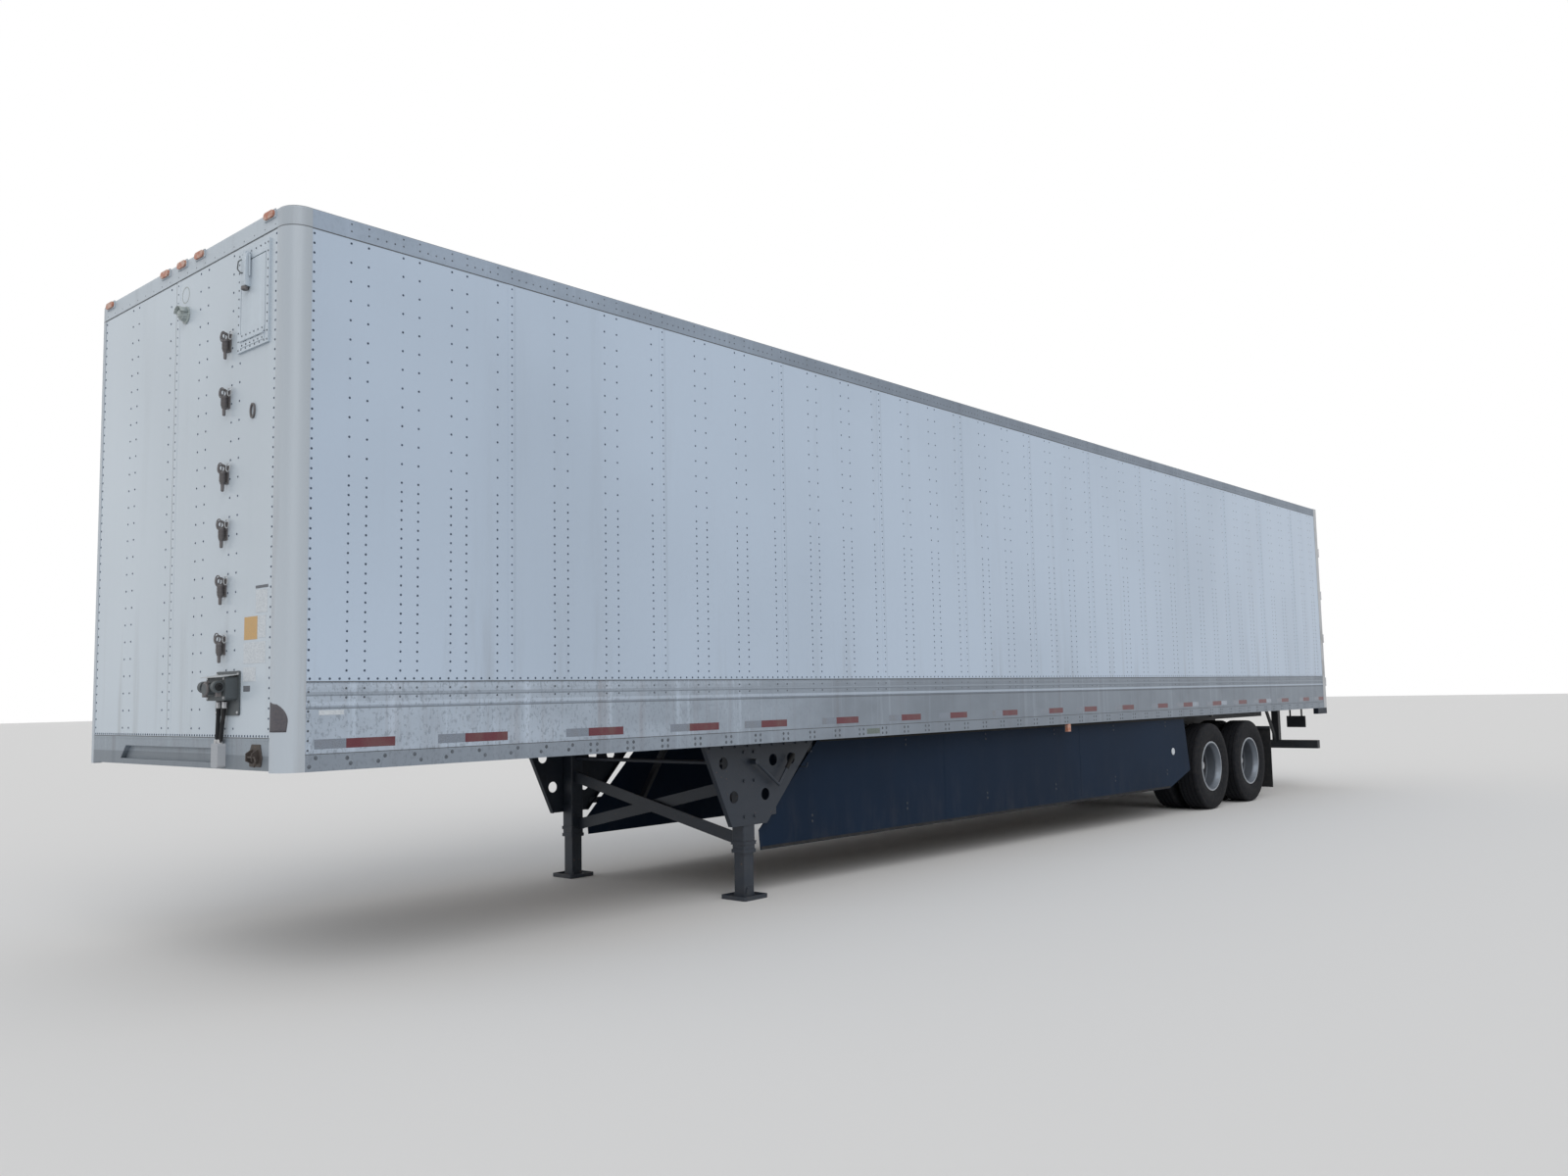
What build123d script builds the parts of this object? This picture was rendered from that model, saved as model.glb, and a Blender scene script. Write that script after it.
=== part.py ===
from build123d import *
from math import atan2, cos, radians, sin, tan
import os

os.makedirs("parts", exist_ok=True)

# A 53 ft dry van semi trailer, parked on its landing gear.
# +X points to the nose, +Y to the trailer's left, +Z up; the origin is on the ground
# below the middle. Lengths along the trailer are given as s, the distance back from the nose.

# Overall size
LENGTH = 16154.0  # nose face to the hinge knuckles at the tail
WIDTH = 2591.0
HEIGHT = 4115.0
NOSE_REACH = 130.0  # the connection box stands this far ahead of the nose face

# Body shell
RAIL_BOTTOM = 1141.0
RAIL_TOP = 1601.0
TOP_RAIL_HEIGHT = 107.0
TOP_RAIL_ROUND = 15.0
WALL_THICKNESS = 50.0
SKIN_INSET = 3.0  # side sheets sit this far inside the trailer's full width
RIVET_ROOM = 1.5  # riveted rail faces sit this far inside it, for the rivets' heads
RAIL_WEB = 8.0
RAIL_SHELF_WIDTH = 50.0
RAIL_SHELF_HEIGHT = 12.0
CORNER_SEAM = 127.0  # the corner post reaches this far round each side
CORNER_RADIUS = 112.0
FLOOR_THICKNESS = 35.0
BEAM_HEIGHT = 102.0
BEAM_FLANGE_WIDTH = 57.0
BEAM_FLANGE = 6.0
BEAM_WEB = 5.0
BEAM_PITCH = 305.0
ROOF_SHEET = 4.0
BOW_HEIGHT = 43.0
BOW_WIDTH = 28.0
BOW_PITCH = 610.0

# Nose
APRON_BOTTOM = 1150.0
APRON_TOP = 1315.0
COUPLER_LENGTH = 1900.0
COUPLER_PLATE = 10.0
COUPLER_RIB = 8.0
KINGPIN_BACK = 914.0
KINGPIN_THROAT_RADIUS = 25.4
KINGPIN_COLLAR_RADIUS = 36.5
KINGPIN_FLANGE_RADIUS = 35.7
KINGPIN_COLLAR = 35.0
KINGPIN_THROAT = 31.0
KINGPIN_FLANGE = 17.0
KINGPIN_BASE_RADIUS = 75.0  # base flange that lies on top of the coupler plate
KINGPIN_BASE = 12.0
KINGPIN_CLEARANCE = 0.3

# Vent in the nose wall
VENT_WIDTH = 285.0
VENT_HEIGHT = 440.0
VENT_IN = 105.5  # from the nose panel's edge
VENT_DOWN = 103.0  # from the top of the wall
VENT_FRAME_SIDE = 34.0
VENT_FRAME_END = 62.0
VENT_FRAME_THICKNESS = 12.0
VENT_LEAF = 6.0
VENT_GAP = 6.0
VENT_WALL_LIP = 20.0  # the hole in the wall is this much smaller than the frame's opening
VENT_PIN_OFF = 18.0  # the vent's hinge pin stands this far ahead of the nose wall
VENT_KNUCKLE_RADIUS = 5.0
VENT_KNUCKLES = 7
VENT_KNUCKLE_GAP = 1.0
VENT_PIN_RADIUS = 2.2
VENT_PIN_CLEARANCE = 0.3

# Tail
FRAME_DEPTH = 110.0
FRAME_POST = 60.0
FRAME_HEADER = 130.0
DOOR_THICKNESS = 45.0
DOOR_GAP = 8.0
PIN_STANDOFF = 38.0  # hinge pins stand this far behind the doors' outer faces
PIN_INSET = 14.0  # and this far inside the trailer's side
KNUCKLE_RADIUS = 14.0
KNUCKLE_HEIGHT = 60.0
KNUCKLE_GAP = 2.0
HINGE_PIN_RADIUS = 7.0
HINGE_PIN_CLEARANCE = 0.3
STRAP_LENGTH = 300.0
STRAP_HEIGHT = 56.0
STRAP_THICKNESS = 8.0
HINGE_COUNT = 4
HINGE_LOW = 227.0  # lowest hinge above the door's foot
HINGE_HIGH = 520.0  # highest hinge below the door's top
LOCK_ROD_RADIUS = 13.5
LOCK_ROD_OFF = 28.0
LOCK_ROD_SIDE = 230.0
LOCK_GUIDE_COUNT = 5
LOCK_GUIDE_IN = 124.0  # first and last guide from the door's ends
HANDLE_UP = 262.0
HANDLE_LENGTH = 430.0
LOCK_REACH = 30.0  # lock rods run this far past the door's ends
CAM_WIDTH = 32.0
CAM_DEPTH = 33.0
KEEPER_GAP = 10.0  # each side of a cam
KEEPER_PLATE = 10.0
KEEPER_HEIGHT = 44.0
KEEPER_DEPTH = 48.0

# Landing gear
LEG_BACK = 3710.0
LEG_INSET = 307.5  # from the trailer's side to the leg's middle
LEG_WIDTH = 122.0
LEG_BOTTOM = 333.0
LEG_COLLAR = 6.0  # how far the collar at a leg's foot stands out
LEG_COLLAR_HEIGHT = 26.0
RAM_WIDTH = 104.0
FOOT_WIDTH = 250.0
FOOT_THICKNESS = 12.0
FOOT_RIM = 18.0  # height of the foot's turned-up rim
FOOT_RIM_THICKNESS = 8.0
GUSSET_THICKNESS = 6.0
GUSSET_HOLE_RADIUS = 45.0
GUSSET_EDGE = 34.0  # how far the wing plates' slanting edges are turned inwards

# Running gear
AXLE_BACKS = {"front": 11790.0, "rear": 13035.0}
TYRE_RADIUS = 520.0
TYRE_WIDTH = 279.0
DUAL_SPACING = 343.0
TYRE_INSET = 7.5  # the outer tyres stand this far inside the trailer's side
RIM_FLANGE_RADIUS = 297.0
RIM_WIDTH = 234.0
AXLE_RADIUS = 63.5
SPINDLE_RADIUS = 42.0
SPINDLE_CLEARANCE = 0.3
SPRING_SIDE = 483.0
SPRING_WIDTH = 76.0
LEAF = 16.0
SPRING_BEND = 2650.0
SEAT_LENGTH = 190.0
SEAT_HEIGHT = 103.0  # spring seats stand this far above the axle line
CHAMBER_SIDE = 250.0
CHAMBER_RADIUS = 78.0
BOGIE_RAIL_SIDE = 483.0
BOGIE_RAIL_WIDTH = 100.0
BOGIE_RAIL_HEIGHT = 210.0
SLIDER_RAIL_HEIGHT = 118.0
SLIDER_PLATE = 8.0
SLIDER_GAP = 2.0
SLIDER_START = 10950.0
SLIDER_END = 15500.0
TANK_RADIUS = 110.0
TANK_LENGTH = 780.0

# Skirts
SKIRT_FRONT_INSET = 295.5
SKIRT_REAR_INSET = 45.5
SKIRT_THICKNESS = 6.0
SKIRT_TOP = 1135.0
SKIRT_SEAT = 0.3
STRUT_WIDTH = 40.0

# What follows from the sizes above
NOSE_X = (LENGTH - NOSE_REACH) / 2
HALF_WIDTH = WIDTH / 2
SKIN = HALF_WIDTH - SKIN_INSET
RIVETED = HALF_WIDTH - RIVET_ROOM
LINING = SKIN - WALL_THICKNESS
REAR_FACE = LENGTH - PIN_STANDOFF - KNUCKLE_RADIUS
FRAME_FRONT = REAR_FACE - FRAME_DEPTH
WALL_TOP = HEIGHT - TOP_RAIL_HEIGHT
BEAM_BOTTOM = RAIL_BOTTOM + RAIL_SHELF_HEIGHT
FLOOR_BOTTOM = BEAM_BOTTOM + BEAM_HEIGHT
FLOOR_TOP = FLOOR_BOTTOM + FLOOR_THICKNESS
PANEL_EDGE = HALF_WIDTH - CORNER_SEAM - SKIN_INSET
AXLE_HEIGHT = TYRE_RADIUS
SPRING_FOOT = AXLE_HEIGHT + SEAT_HEIGHT
VENT_LEFT = PANEL_EDGE - VENT_IN
VENT_RIGHT = VENT_LEFT - VENT_WIDTH
VENT_TOP = WALL_TOP - VENT_DOWN
VENT_BOTTOM = VENT_TOP - VENT_HEIGHT
HALF_TRACK = HALF_WIDTH - TYRE_INSET - (TYRE_WIDTH + DUAL_SPACING) / 2
LEG_SIDE = HALF_WIDTH - LEG_INSET
SKIRT_FRONT_SIDE = HALF_WIDTH - SKIRT_FRONT_INSET
SKIRT_REAR_SIDE = HALF_WIDTH - SKIRT_REAR_INSET

pieces = {}


def back(s):
    """X of a place that lies s behind the nose face."""
    return NOSE_X - s


def side_plane(y):
    """Plane facing left, drawn in (s, z)."""
    return Plane(origin=(NOSE_X, y, 0), x_dir=(-1, 0, 0), z_dir=(0, 1, 0))


def cross_plane(s):
    """Plane facing the nose, drawn in (y, z)."""
    return Plane(origin=(back(s), 0, 0), x_dir=(0, 1, 0), z_dir=(1, 0, 0))


def keep(name, part):
    pieces[name] = part


def keep_pair(name, part):
    """Keep a left-hand piece and its mirror image on the right."""
    pieces[name + "_left"] = part
    pieces[name + "_right"] = mirror(part, about=Plane.XZ)


def keep_both(name, part):
    """Keep a left-hand piece and its mirror image together under one name."""
    pieces[name] = part + mirror(part, about=Plane.XZ)


def bar(start, end, width, depth):
    """Plain rectangular bar between two points, made on its own."""
    line = Vector(*end) - Vector(*start)
    with BuildPart() as made:
        with BuildSketch(Plane(origin=start, z_dir=line)):
            Rectangle(width, depth)
        extrude(amount=line.length)
    return made.part


def rod(start, end, radius):
    """Plain round bar between two points, made on its own."""
    line = Vector(*end) - Vector(*start)
    with BuildPart() as made:
        with BuildSketch(Plane(origin=start, z_dir=line)):
            Circle(radius)
        extrude(amount=line.length)
    return made.part


# Side walls: outer sheet, posts and lining as one thickness, stepped in behind the bottom rail
with BuildPart() as side_wall:
    with BuildSketch(cross_plane(CORNER_SEAM)):
        with BuildLine():
            Polyline(
                (SKIN, RAIL_TOP),
                (SKIN, WALL_TOP),
                (LINING, WALL_TOP),
                (LINING, FLOOR_BOTTOM),
                (HALF_WIDTH - SKIN_INSET - RAIL_WEB, FLOOR_BOTTOM),
                (HALF_WIDTH - SKIN_INSET - RAIL_WEB, RAIL_TOP),
                close=True,
            )
        make_face()
    extrude(amount=CORNER_SEAM - FRAME_FRONT)
keep_pair("side_wall", side_wall.part)

# Bottom rails: extrusions with a lap at the foot, a groove, a bead and a sloping top edge
RAIL_INNER = HALF_WIDTH - SKIN_INSET - RAIL_WEB
LAP_TOP = 1226.0
GROOVE = 1466.0
BEAD = 1537.0
BEAD_HALF = 8.0
SLOPE_FOOT = 1572.0
STEP = 3.0
with BuildPart() as bottom_rail:
    with BuildSketch(cross_plane(CORNER_SEAM)):
        with BuildLine():
            Polyline(
                (SKIN, BEAD - BEAD_HALF),
                (SKIN, GROOVE + 3 * STEP),
                (SKIN - STEP, GROOVE + 2 * STEP),
                (SKIN - STEP, GROOVE + STEP),
                (SKIN, GROOVE),
                (SKIN, LAP_TOP + SKIN_INSET - RIVET_ROOM),
                (RIVETED, LAP_TOP),
                (RIVETED, RAIL_BOTTOM),
                (RAIL_INNER - RAIL_SHELF_WIDTH, RAIL_BOTTOM),
                (RAIL_INNER - RAIL_SHELF_WIDTH, BEAM_BOTTOM),
                (RAIL_INNER, BEAM_BOTTOM),
                (RAIL_INNER, RAIL_TOP),
                (RAIL_INNER + RAIL_WEB / 2, RAIL_TOP),
                (SKIN, SLOPE_FOOT),
                (SKIN, BEAD + BEAD_HALF),
            )
            ThreePointArc((SKIN, BEAD + BEAD_HALF), (HALF_WIDTH, BEAD), (SKIN, BEAD - BEAD_HALF))
        make_face()
    extrude(amount=CORNER_SEAM - FRAME_FRONT)
keep_both("bottom_rails", bottom_rail.part)

# Top rails: they cap the walls and carry the roof's edge
with BuildPart() as top_rail:
    with BuildSketch(cross_plane(CORNER_SEAM)):
        with BuildLine():
            Polyline(
                (RIVETED - TOP_RAIL_ROUND, HEIGHT),
                (LINING, HEIGHT),
                (LINING, WALL_TOP),
                (RIVETED, WALL_TOP),
                (RIVETED, HEIGHT - TOP_RAIL_ROUND),
            )
            RadiusArc(
                (RIVETED, HEIGHT - TOP_RAIL_ROUND),
                (RIVETED - TOP_RAIL_ROUND, HEIGHT),
                -TOP_RAIL_ROUND,
            )
        make_face()
    extrude(amount=CORNER_SEAM - FRAME_FRONT)
keep_both("top_rails", top_rail.part)


def corner_outline(inner_turn):
    """Half of the nose's outline in plan, from the side seam round to the inner_turn line."""
    arc_mid = CORNER_RADIUS * (1 - cos(radians(45)))
    Line((back(CORNER_SEAM), HALF_WIDTH), (back(CORNER_RADIUS), HALF_WIDTH))
    ThreePointArc(
        (back(CORNER_RADIUS), HALF_WIDTH),
        (back(arc_mid), HALF_WIDTH - arc_mid),
        (back(0), HALF_WIDTH - CORNER_RADIUS),
    )
    Line((back(0), HALF_WIDTH - CORNER_RADIUS), (back(0), inner_turn))


# Rounded posts at the nose corners
with BuildPart() as nose_post:
    with BuildSketch(Plane.XY.offset(RAIL_BOTTOM)):
        with BuildLine():
            corner_outline(PANEL_EDGE)
            Polyline(
                (back(0), PANEL_EDGE),
                (back(WALL_THICKNESS), PANEL_EDGE),
                (back(WALL_THICKNESS), LINING),
                (back(CORNER_SEAM), LINING),
                (back(CORNER_SEAM), HALF_WIDTH),
            )
        make_face()
    extrude(amount=WALL_TOP - RAIL_BOTTOM)
keep_both("nose_posts", nose_post.part)

# Rail across the top of the nose, wrapped round both corners
with BuildPart() as nose_top_rail:
    with BuildSketch(Plane.XY.offset(WALL_TOP)):
        with BuildLine():
            corner_outline(0)
            Polyline(
                (back(0), 0),
                (back(WALL_THICKNESS), 0),
                (back(WALL_THICKNESS), LINING),
                (back(CORNER_SEAM), LINING),
                (back(CORNER_SEAM), HALF_WIDTH),
            )
        make_face()
        mirror(about=Plane.XZ)
    extrude(amount=TOP_RAIL_HEIGHT)
    outer_edges = [
        edge
        for edge in nose_top_rail.edges().group_by(Axis.Z)[-1]
        if edge.center().X > back(CORNER_RADIUS + 1)
        and (edge.center().X > back(WALL_THICKNESS - 1) or abs(edge.center().Y) > SKIN)
    ]
    fillet(outer_edges, TOP_RAIL_ROUND)
keep("nose_top_rail", nose_top_rail.part)

# Nose wall with the vent's hole
with BuildPart() as nose_wall:
    with BuildSketch(cross_plane(SKIN_INSET)) as nose_wall_face:
        with Locations((0, (APRON_TOP + WALL_TOP) / 2)):
            Rectangle(2 * PANEL_EDGE, WALL_TOP - APRON_TOP)
        with Locations(((VENT_LEFT + VENT_RIGHT) / 2, (VENT_BOTTOM + VENT_TOP) / 2)):
            Rectangle(
                VENT_WIDTH - 2 * VENT_WALL_LIP,
                VENT_HEIGHT - 2 * VENT_WALL_LIP,
                mode=Mode.SUBTRACT,
            )
    extrude(amount=SKIN_INSET - WALL_THICKNESS)
keep("nose_wall", nose_wall.part)

# Sill below the nose wall: a channel with a shallow tray let into its face
TRAY_TOP_HALF = 585.0
TRAY_FOOT_HALF = 660.0
TRAY_MIDDLE = -75.0
TRAY_BOTTOM = 1182.0
TRAY_TOP = 1260.0
TRAY_DEPTH = 30.0
with BuildPart() as nose_sill:
    with BuildSketch(side_plane(-PANEL_EDGE)):
        with BuildLine():
            Polyline(
                (0, APRON_BOTTOM),
                (0, APRON_TOP),
                (WALL_THICKNESS, APRON_TOP),
                (WALL_THICKNESS, APRON_BOTTOM),
                close=True,
            )
        make_face()
    extrude(amount=2 * PANEL_EDGE)
    with BuildSketch(cross_plane(0)):
        with BuildLine():
            Polyline(
                (TRAY_MIDDLE - TRAY_FOOT_HALF, TRAY_BOTTOM),
                (TRAY_MIDDLE + TRAY_FOOT_HALF, TRAY_BOTTOM),
                (TRAY_MIDDLE + TRAY_TOP_HALF, TRAY_TOP),
                (TRAY_MIDDLE - TRAY_TOP_HALF, TRAY_TOP),
                close=True,
            )
        make_face()
    extrude(amount=-TRAY_DEPTH, mode=Mode.SUBTRACT)
keep("nose_sill", nose_sill.part)

# Roof: one sheet on cross bows
with BuildPart() as roof:
    with BuildSketch(Plane.XY.offset(HEIGHT - ROOF_SHEET)):
        with Locations(((back(WALL_THICKNESS) + back(FRAME_FRONT)) / 2, 0)):
            Rectangle(FRAME_FRONT - WALL_THICKNESS, 2 * LINING)
    extrude(amount=ROOF_SHEET)
    bow_count = int((FRAME_FRONT - WALL_THICKNESS - BOW_PITCH) // BOW_PITCH) + 1
    with BuildSketch(Plane.XY.offset(HEIGHT - ROOF_SHEET - BOW_HEIGHT)):
        with Locations((back(WALL_THICKNESS + BOW_PITCH + (bow_count - 1) * BOW_PITCH / 2), 0)):
            with GridLocations(BOW_PITCH, 1, bow_count, 1):
                Rectangle(BOW_WIDTH, 2 * LINING)
    extrude(amount=BOW_HEIGHT)
keep("roof", roof.part)

# Floor
with BuildPart() as floor:
    with BuildSketch(Plane.XY.offset(FLOOR_BOTTOM)):
        with Locations(((back(WALL_THICKNESS) + back(FRAME_FRONT)) / 2, 0)):
            Rectangle(FRAME_FRONT - WALL_THICKNESS, 2 * LINING)
    extrude(amount=FLOOR_THICKNESS)
keep("floor", floor.part)

# Crossmembers: I beams that rest on the bottom rails' shelves
FIRST_BEAM = COUPLER_LENGTH + 130.0
beam_count = int((FRAME_FRONT - BEAM_FLANGE_WIDTH - FIRST_BEAM) // BEAM_PITCH) + 1
with BuildPart() as crossmembers:
    with BuildSketch(side_plane(-RAIL_INNER)):
        beam_middle = FIRST_BEAM + (beam_count - 1) * BEAM_PITCH / 2
        with Locations((beam_middle, BEAM_BOTTOM + BEAM_HEIGHT / 2)):
            with GridLocations(BEAM_PITCH, 1, beam_count, 1):
                Rectangle(BEAM_WEB, BEAM_HEIGHT)
        for flange_level in (BEAM_BOTTOM + BEAM_FLANGE / 2, FLOOR_BOTTOM - BEAM_FLANGE / 2):
            with Locations((beam_middle, flange_level)):
                with GridLocations(BEAM_PITCH, 1, beam_count, 1):
                    Rectangle(BEAM_FLANGE_WIDTH, BEAM_FLANGE)
    extrude(amount=2 * RAIL_INNER)
keep("crossmembers", crossmembers.part)

# Coupler: the plate that slides on a fifth wheel, with its ribs up to the floor
COUPLER_START = WALL_THICKNESS
RIB_BACKS = (250.0, 560.0, 1270.0, 1600.0)
COUPLER_RIB_SIDE = 420.0
COUPLER_HALF = RAIL_INNER - RAIL_SHELF_WIDTH - 5.0
with BuildPart() as coupler:
    with BuildSketch(Plane.XY.offset(APRON_BOTTOM)):
        with Locations(((back(COUPLER_START) + back(COUPLER_LENGTH)) / 2, 0)):
            Rectangle(COUPLER_LENGTH - COUPLER_START, 2 * COUPLER_HALF)
        with Locations((back(KINGPIN_BACK), 0)):
            Circle(KINGPIN_COLLAR_RADIUS + KINGPIN_CLEARANCE, mode=Mode.SUBTRACT)
    extrude(amount=COUPLER_PLATE)
    with BuildSketch(Plane.XY.offset(APRON_BOTTOM)):
        for rib_back in RIB_BACKS:
            with Locations((back(rib_back), 0)):
                Rectangle(COUPLER_RIB, 2 * COUPLER_HALF)
        for rib_side in (-COUPLER_RIB_SIDE, COUPLER_RIB_SIDE):
            with Locations((back((RIB_BACKS[0] + RIB_BACKS[-1]) / 2), rib_side)):
                Rectangle(RIB_BACKS[-1] - RIB_BACKS[0], COUPLER_RIB)
    extrude(amount=FLOOR_BOTTOM - APRON_BOTTOM)
keep("coupler", coupler.part)

# Kingpin: base flange, collar through the plate, throat and retaining flange, turned as one piece
with BuildPart() as kingpin:
    with BuildSketch(Plane(origin=(back(KINGPIN_BACK), 0, APRON_BOTTOM), x_dir=(1, 0, 0), z_dir=(0, -1, 0))):
        with BuildLine():
            throat_top = -KINGPIN_COLLAR
            throat_bottom = throat_top - KINGPIN_THROAT
            flange_bottom = throat_bottom - KINGPIN_FLANGE
            Polyline(
                (0, COUPLER_PLATE + KINGPIN_BASE),
                (KINGPIN_BASE_RADIUS, COUPLER_PLATE + KINGPIN_BASE),
                (KINGPIN_BASE_RADIUS, COUPLER_PLATE),
                (KINGPIN_COLLAR_RADIUS, COUPLER_PLATE),
                (KINGPIN_COLLAR_RADIUS, throat_top),
                (KINGPIN_THROAT_RADIUS, throat_top),
                (KINGPIN_THROAT_RADIUS, throat_bottom),
                (KINGPIN_FLANGE_RADIUS, throat_bottom),
                (KINGPIN_FLANGE_RADIUS, flange_bottom),
                (0, flange_bottom),
                close=True,
            )
        make_face()
    revolve(axis=Axis((back(KINGPIN_BACK), 0, 0), (0, 0, 1)))
keep("kingpin", kingpin.part)

# Vent frame and its half of the hinge
vent_middle = (VENT_LEFT + VENT_RIGHT) / 2
knuckle_pitch = (VENT_WIDTH - 2 * VENT_GAP) / VENT_KNUCKLES
knuckle_length = knuckle_pitch - VENT_KNUCKLE_GAP
VENT_PIN_HEIGHT = VENT_BOTTOM - 3.0
PIN_LINK = 8.0


def vent_knuckles(first, leaf_low, leaf_high, bore):
    """Every second knuckle of the vent's hinge, each with its link to the leaf, made on their own."""
    pin = (SKIN_INSET - VENT_PIN_OFF, VENT_PIN_HEIGHT)
    with BuildPart() as made:
        for index in range(first, VENT_KNUCKLES, 2):
            start = VENT_RIGHT + VENT_GAP + index * knuckle_pitch + VENT_KNUCKLE_GAP / 2
            with BuildSketch(side_plane(start)):
                with Locations(pin):
                    Circle(VENT_KNUCKLE_RADIUS)
                with Locations((pin[0] + VENT_KNUCKLE_RADIUS - 1.5, (leaf_low + leaf_high) / 2)):
                    Rectangle(3.0, leaf_high - leaf_low)
                if bore:
                    with Locations(pin):
                        Circle(bore, mode=Mode.SUBTRACT)
            extrude(amount=knuckle_length)
    return made.part


with BuildPart() as vent_frame:
    with BuildSketch(cross_plane(SKIN_INSET)):
        with Locations((vent_middle, (VENT_BOTTOM + VENT_TOP) / 2)):
            Rectangle(VENT_WIDTH + 2 * VENT_FRAME_SIDE, VENT_HEIGHT + 2 * VENT_FRAME_END)
            Rectangle(VENT_WIDTH, VENT_HEIGHT, mode=Mode.SUBTRACT)
    extrude(amount=VENT_FRAME_THICKNESS)
    with BuildSketch(cross_plane(SKIN_INSET - VENT_FRAME_THICKNESS)):
        with Locations((vent_middle, VENT_PIN_HEIGHT - PIN_LINK - 14.0)):
            Rectangle(VENT_WIDTH - 2 * VENT_GAP, 28.0)
    extrude(amount=3.0)
    add(vent_knuckles(0, VENT_PIN_HEIGHT - PIN_LINK - 1.0, VENT_PIN_HEIGHT, 0))
    vent_pin_back = SKIN_INSET - VENT_PIN_OFF
    add(
        rod(
            (back(vent_pin_back), VENT_RIGHT + VENT_GAP + VENT_KNUCKLE_GAP, VENT_PIN_HEIGHT),
            (back(vent_pin_back), VENT_LEFT - VENT_GAP - VENT_KNUCKLE_GAP, VENT_PIN_HEIGHT),
            VENT_PIN_RADIUS,
        )
    )
keep("vent_frame", vent_frame.part)

# Vent door with its latch
LATCH_IN = 85.0
LATCH_DOWN = 110.0
LATCH_RISE = 50.0
LATCH_BASE = 8.0
latch_side = VENT_RIGHT + LATCH_IN
with BuildPart() as vent_door:
    with BuildSketch(cross_plane(SKIN_INSET - VENT_FRAME_THICKNESS + VENT_LEAF)):
        with Locations((vent_middle, (VENT_BOTTOM + VENT_TOP) / 2)):
            Rectangle(VENT_WIDTH - 2 * VENT_GAP, VENT_HEIGHT - 2 * VENT_GAP)
    extrude(amount=VENT_LEAF)
    with BuildSketch(cross_plane(SKIN_INSET - VENT_FRAME_THICKNESS)):
        with Locations((vent_middle, VENT_PIN_HEIGHT + PIN_LINK + 14.0)):
            Rectangle(VENT_WIDTH - 2 * VENT_GAP, 28.0)
    extrude(amount=3.0)
    vent_bore = VENT_PIN_RADIUS + VENT_PIN_CLEARANCE
    add(vent_knuckles(1, VENT_PIN_HEIGHT, VENT_PIN_HEIGHT + PIN_LINK + 1.0, vent_bore))
    with BuildSketch(cross_plane(SKIN_INSET - VENT_FRAME_THICKNESS)):
        with Locations((latch_side, VENT_TOP - LATCH_DOWN)):
            Rectangle(46.0, 90.0)
    extrude(amount=LATCH_BASE)
    with BuildSketch(cross_plane(SKIN_INSET - VENT_FRAME_THICKNESS - LATCH_BASE)):
        with Locations((latch_side, VENT_TOP - LATCH_DOWN + LATCH_RISE)):
            Rectangle(24.0, 200.0)
    extrude(amount=2 * LATCH_BASE)
keep("vent_door", vent_door.part)

# Six line hangers and a tie ring on the nose wall
HANGER_SIDE = PANEL_EDGE - 540.5
HANGER_DOWNS = (520.0, 838.0, 1259.0, 1570.0, 1881.0, 2196.0)  # below the top of the wall
HANGER_STANDOFF = 22.0
HANGER_SPRING_RADIUS = 15.0
HANGER_RING_RADIUS = 24.0
HANGER_RING_WIRE = 10.0
RING_SIDE = PANEL_EDGE - 244.5
RING_HEIGHT = WALL_TOP - 948.0
RING_WIRE = 8.0
with BuildPart() as line_hangers:
    for down in HANGER_DOWNS:
        height = WALL_TOP - down
        with BuildSketch(cross_plane(SKIN_INSET)):
            with Locations((HANGER_SIDE, height)):
                Rectangle(46.0, 100.0)
        extrude(amount=6.0)
        with BuildSketch(Plane.XY.offset(height - 45.0)):
            with Locations((back(-HANGER_STANDOFF), HANGER_SIDE)):
                Circle(HANGER_SPRING_RADIUS)
        extrude(amount=62.0)
        with BuildSketch(side_plane(HANGER_SIDE - HANGER_RING_WIRE / 2)):
            with Locations((-HANGER_STANDOFF - 4.0, height + 34.0)):
                Circle(HANGER_RING_RADIUS)
                Circle(HANGER_RING_RADIUS - HANGER_RING_WIRE, mode=Mode.SUBTRACT)
        extrude(amount=HANGER_RING_WIRE)
    with BuildSketch(cross_plane(SKIN_INSET)):
        with Locations((RING_SIDE, RING_HEIGHT)):
            Ellipse(26.0, 42.0)
            Ellipse(26.0 - RING_WIRE, 42.0 - RING_WIRE, mode=Mode.SUBTRACT)
    extrude(amount=RING_WIRE + 2.0)
keep("line_hangers", line_hangers.part)

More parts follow.
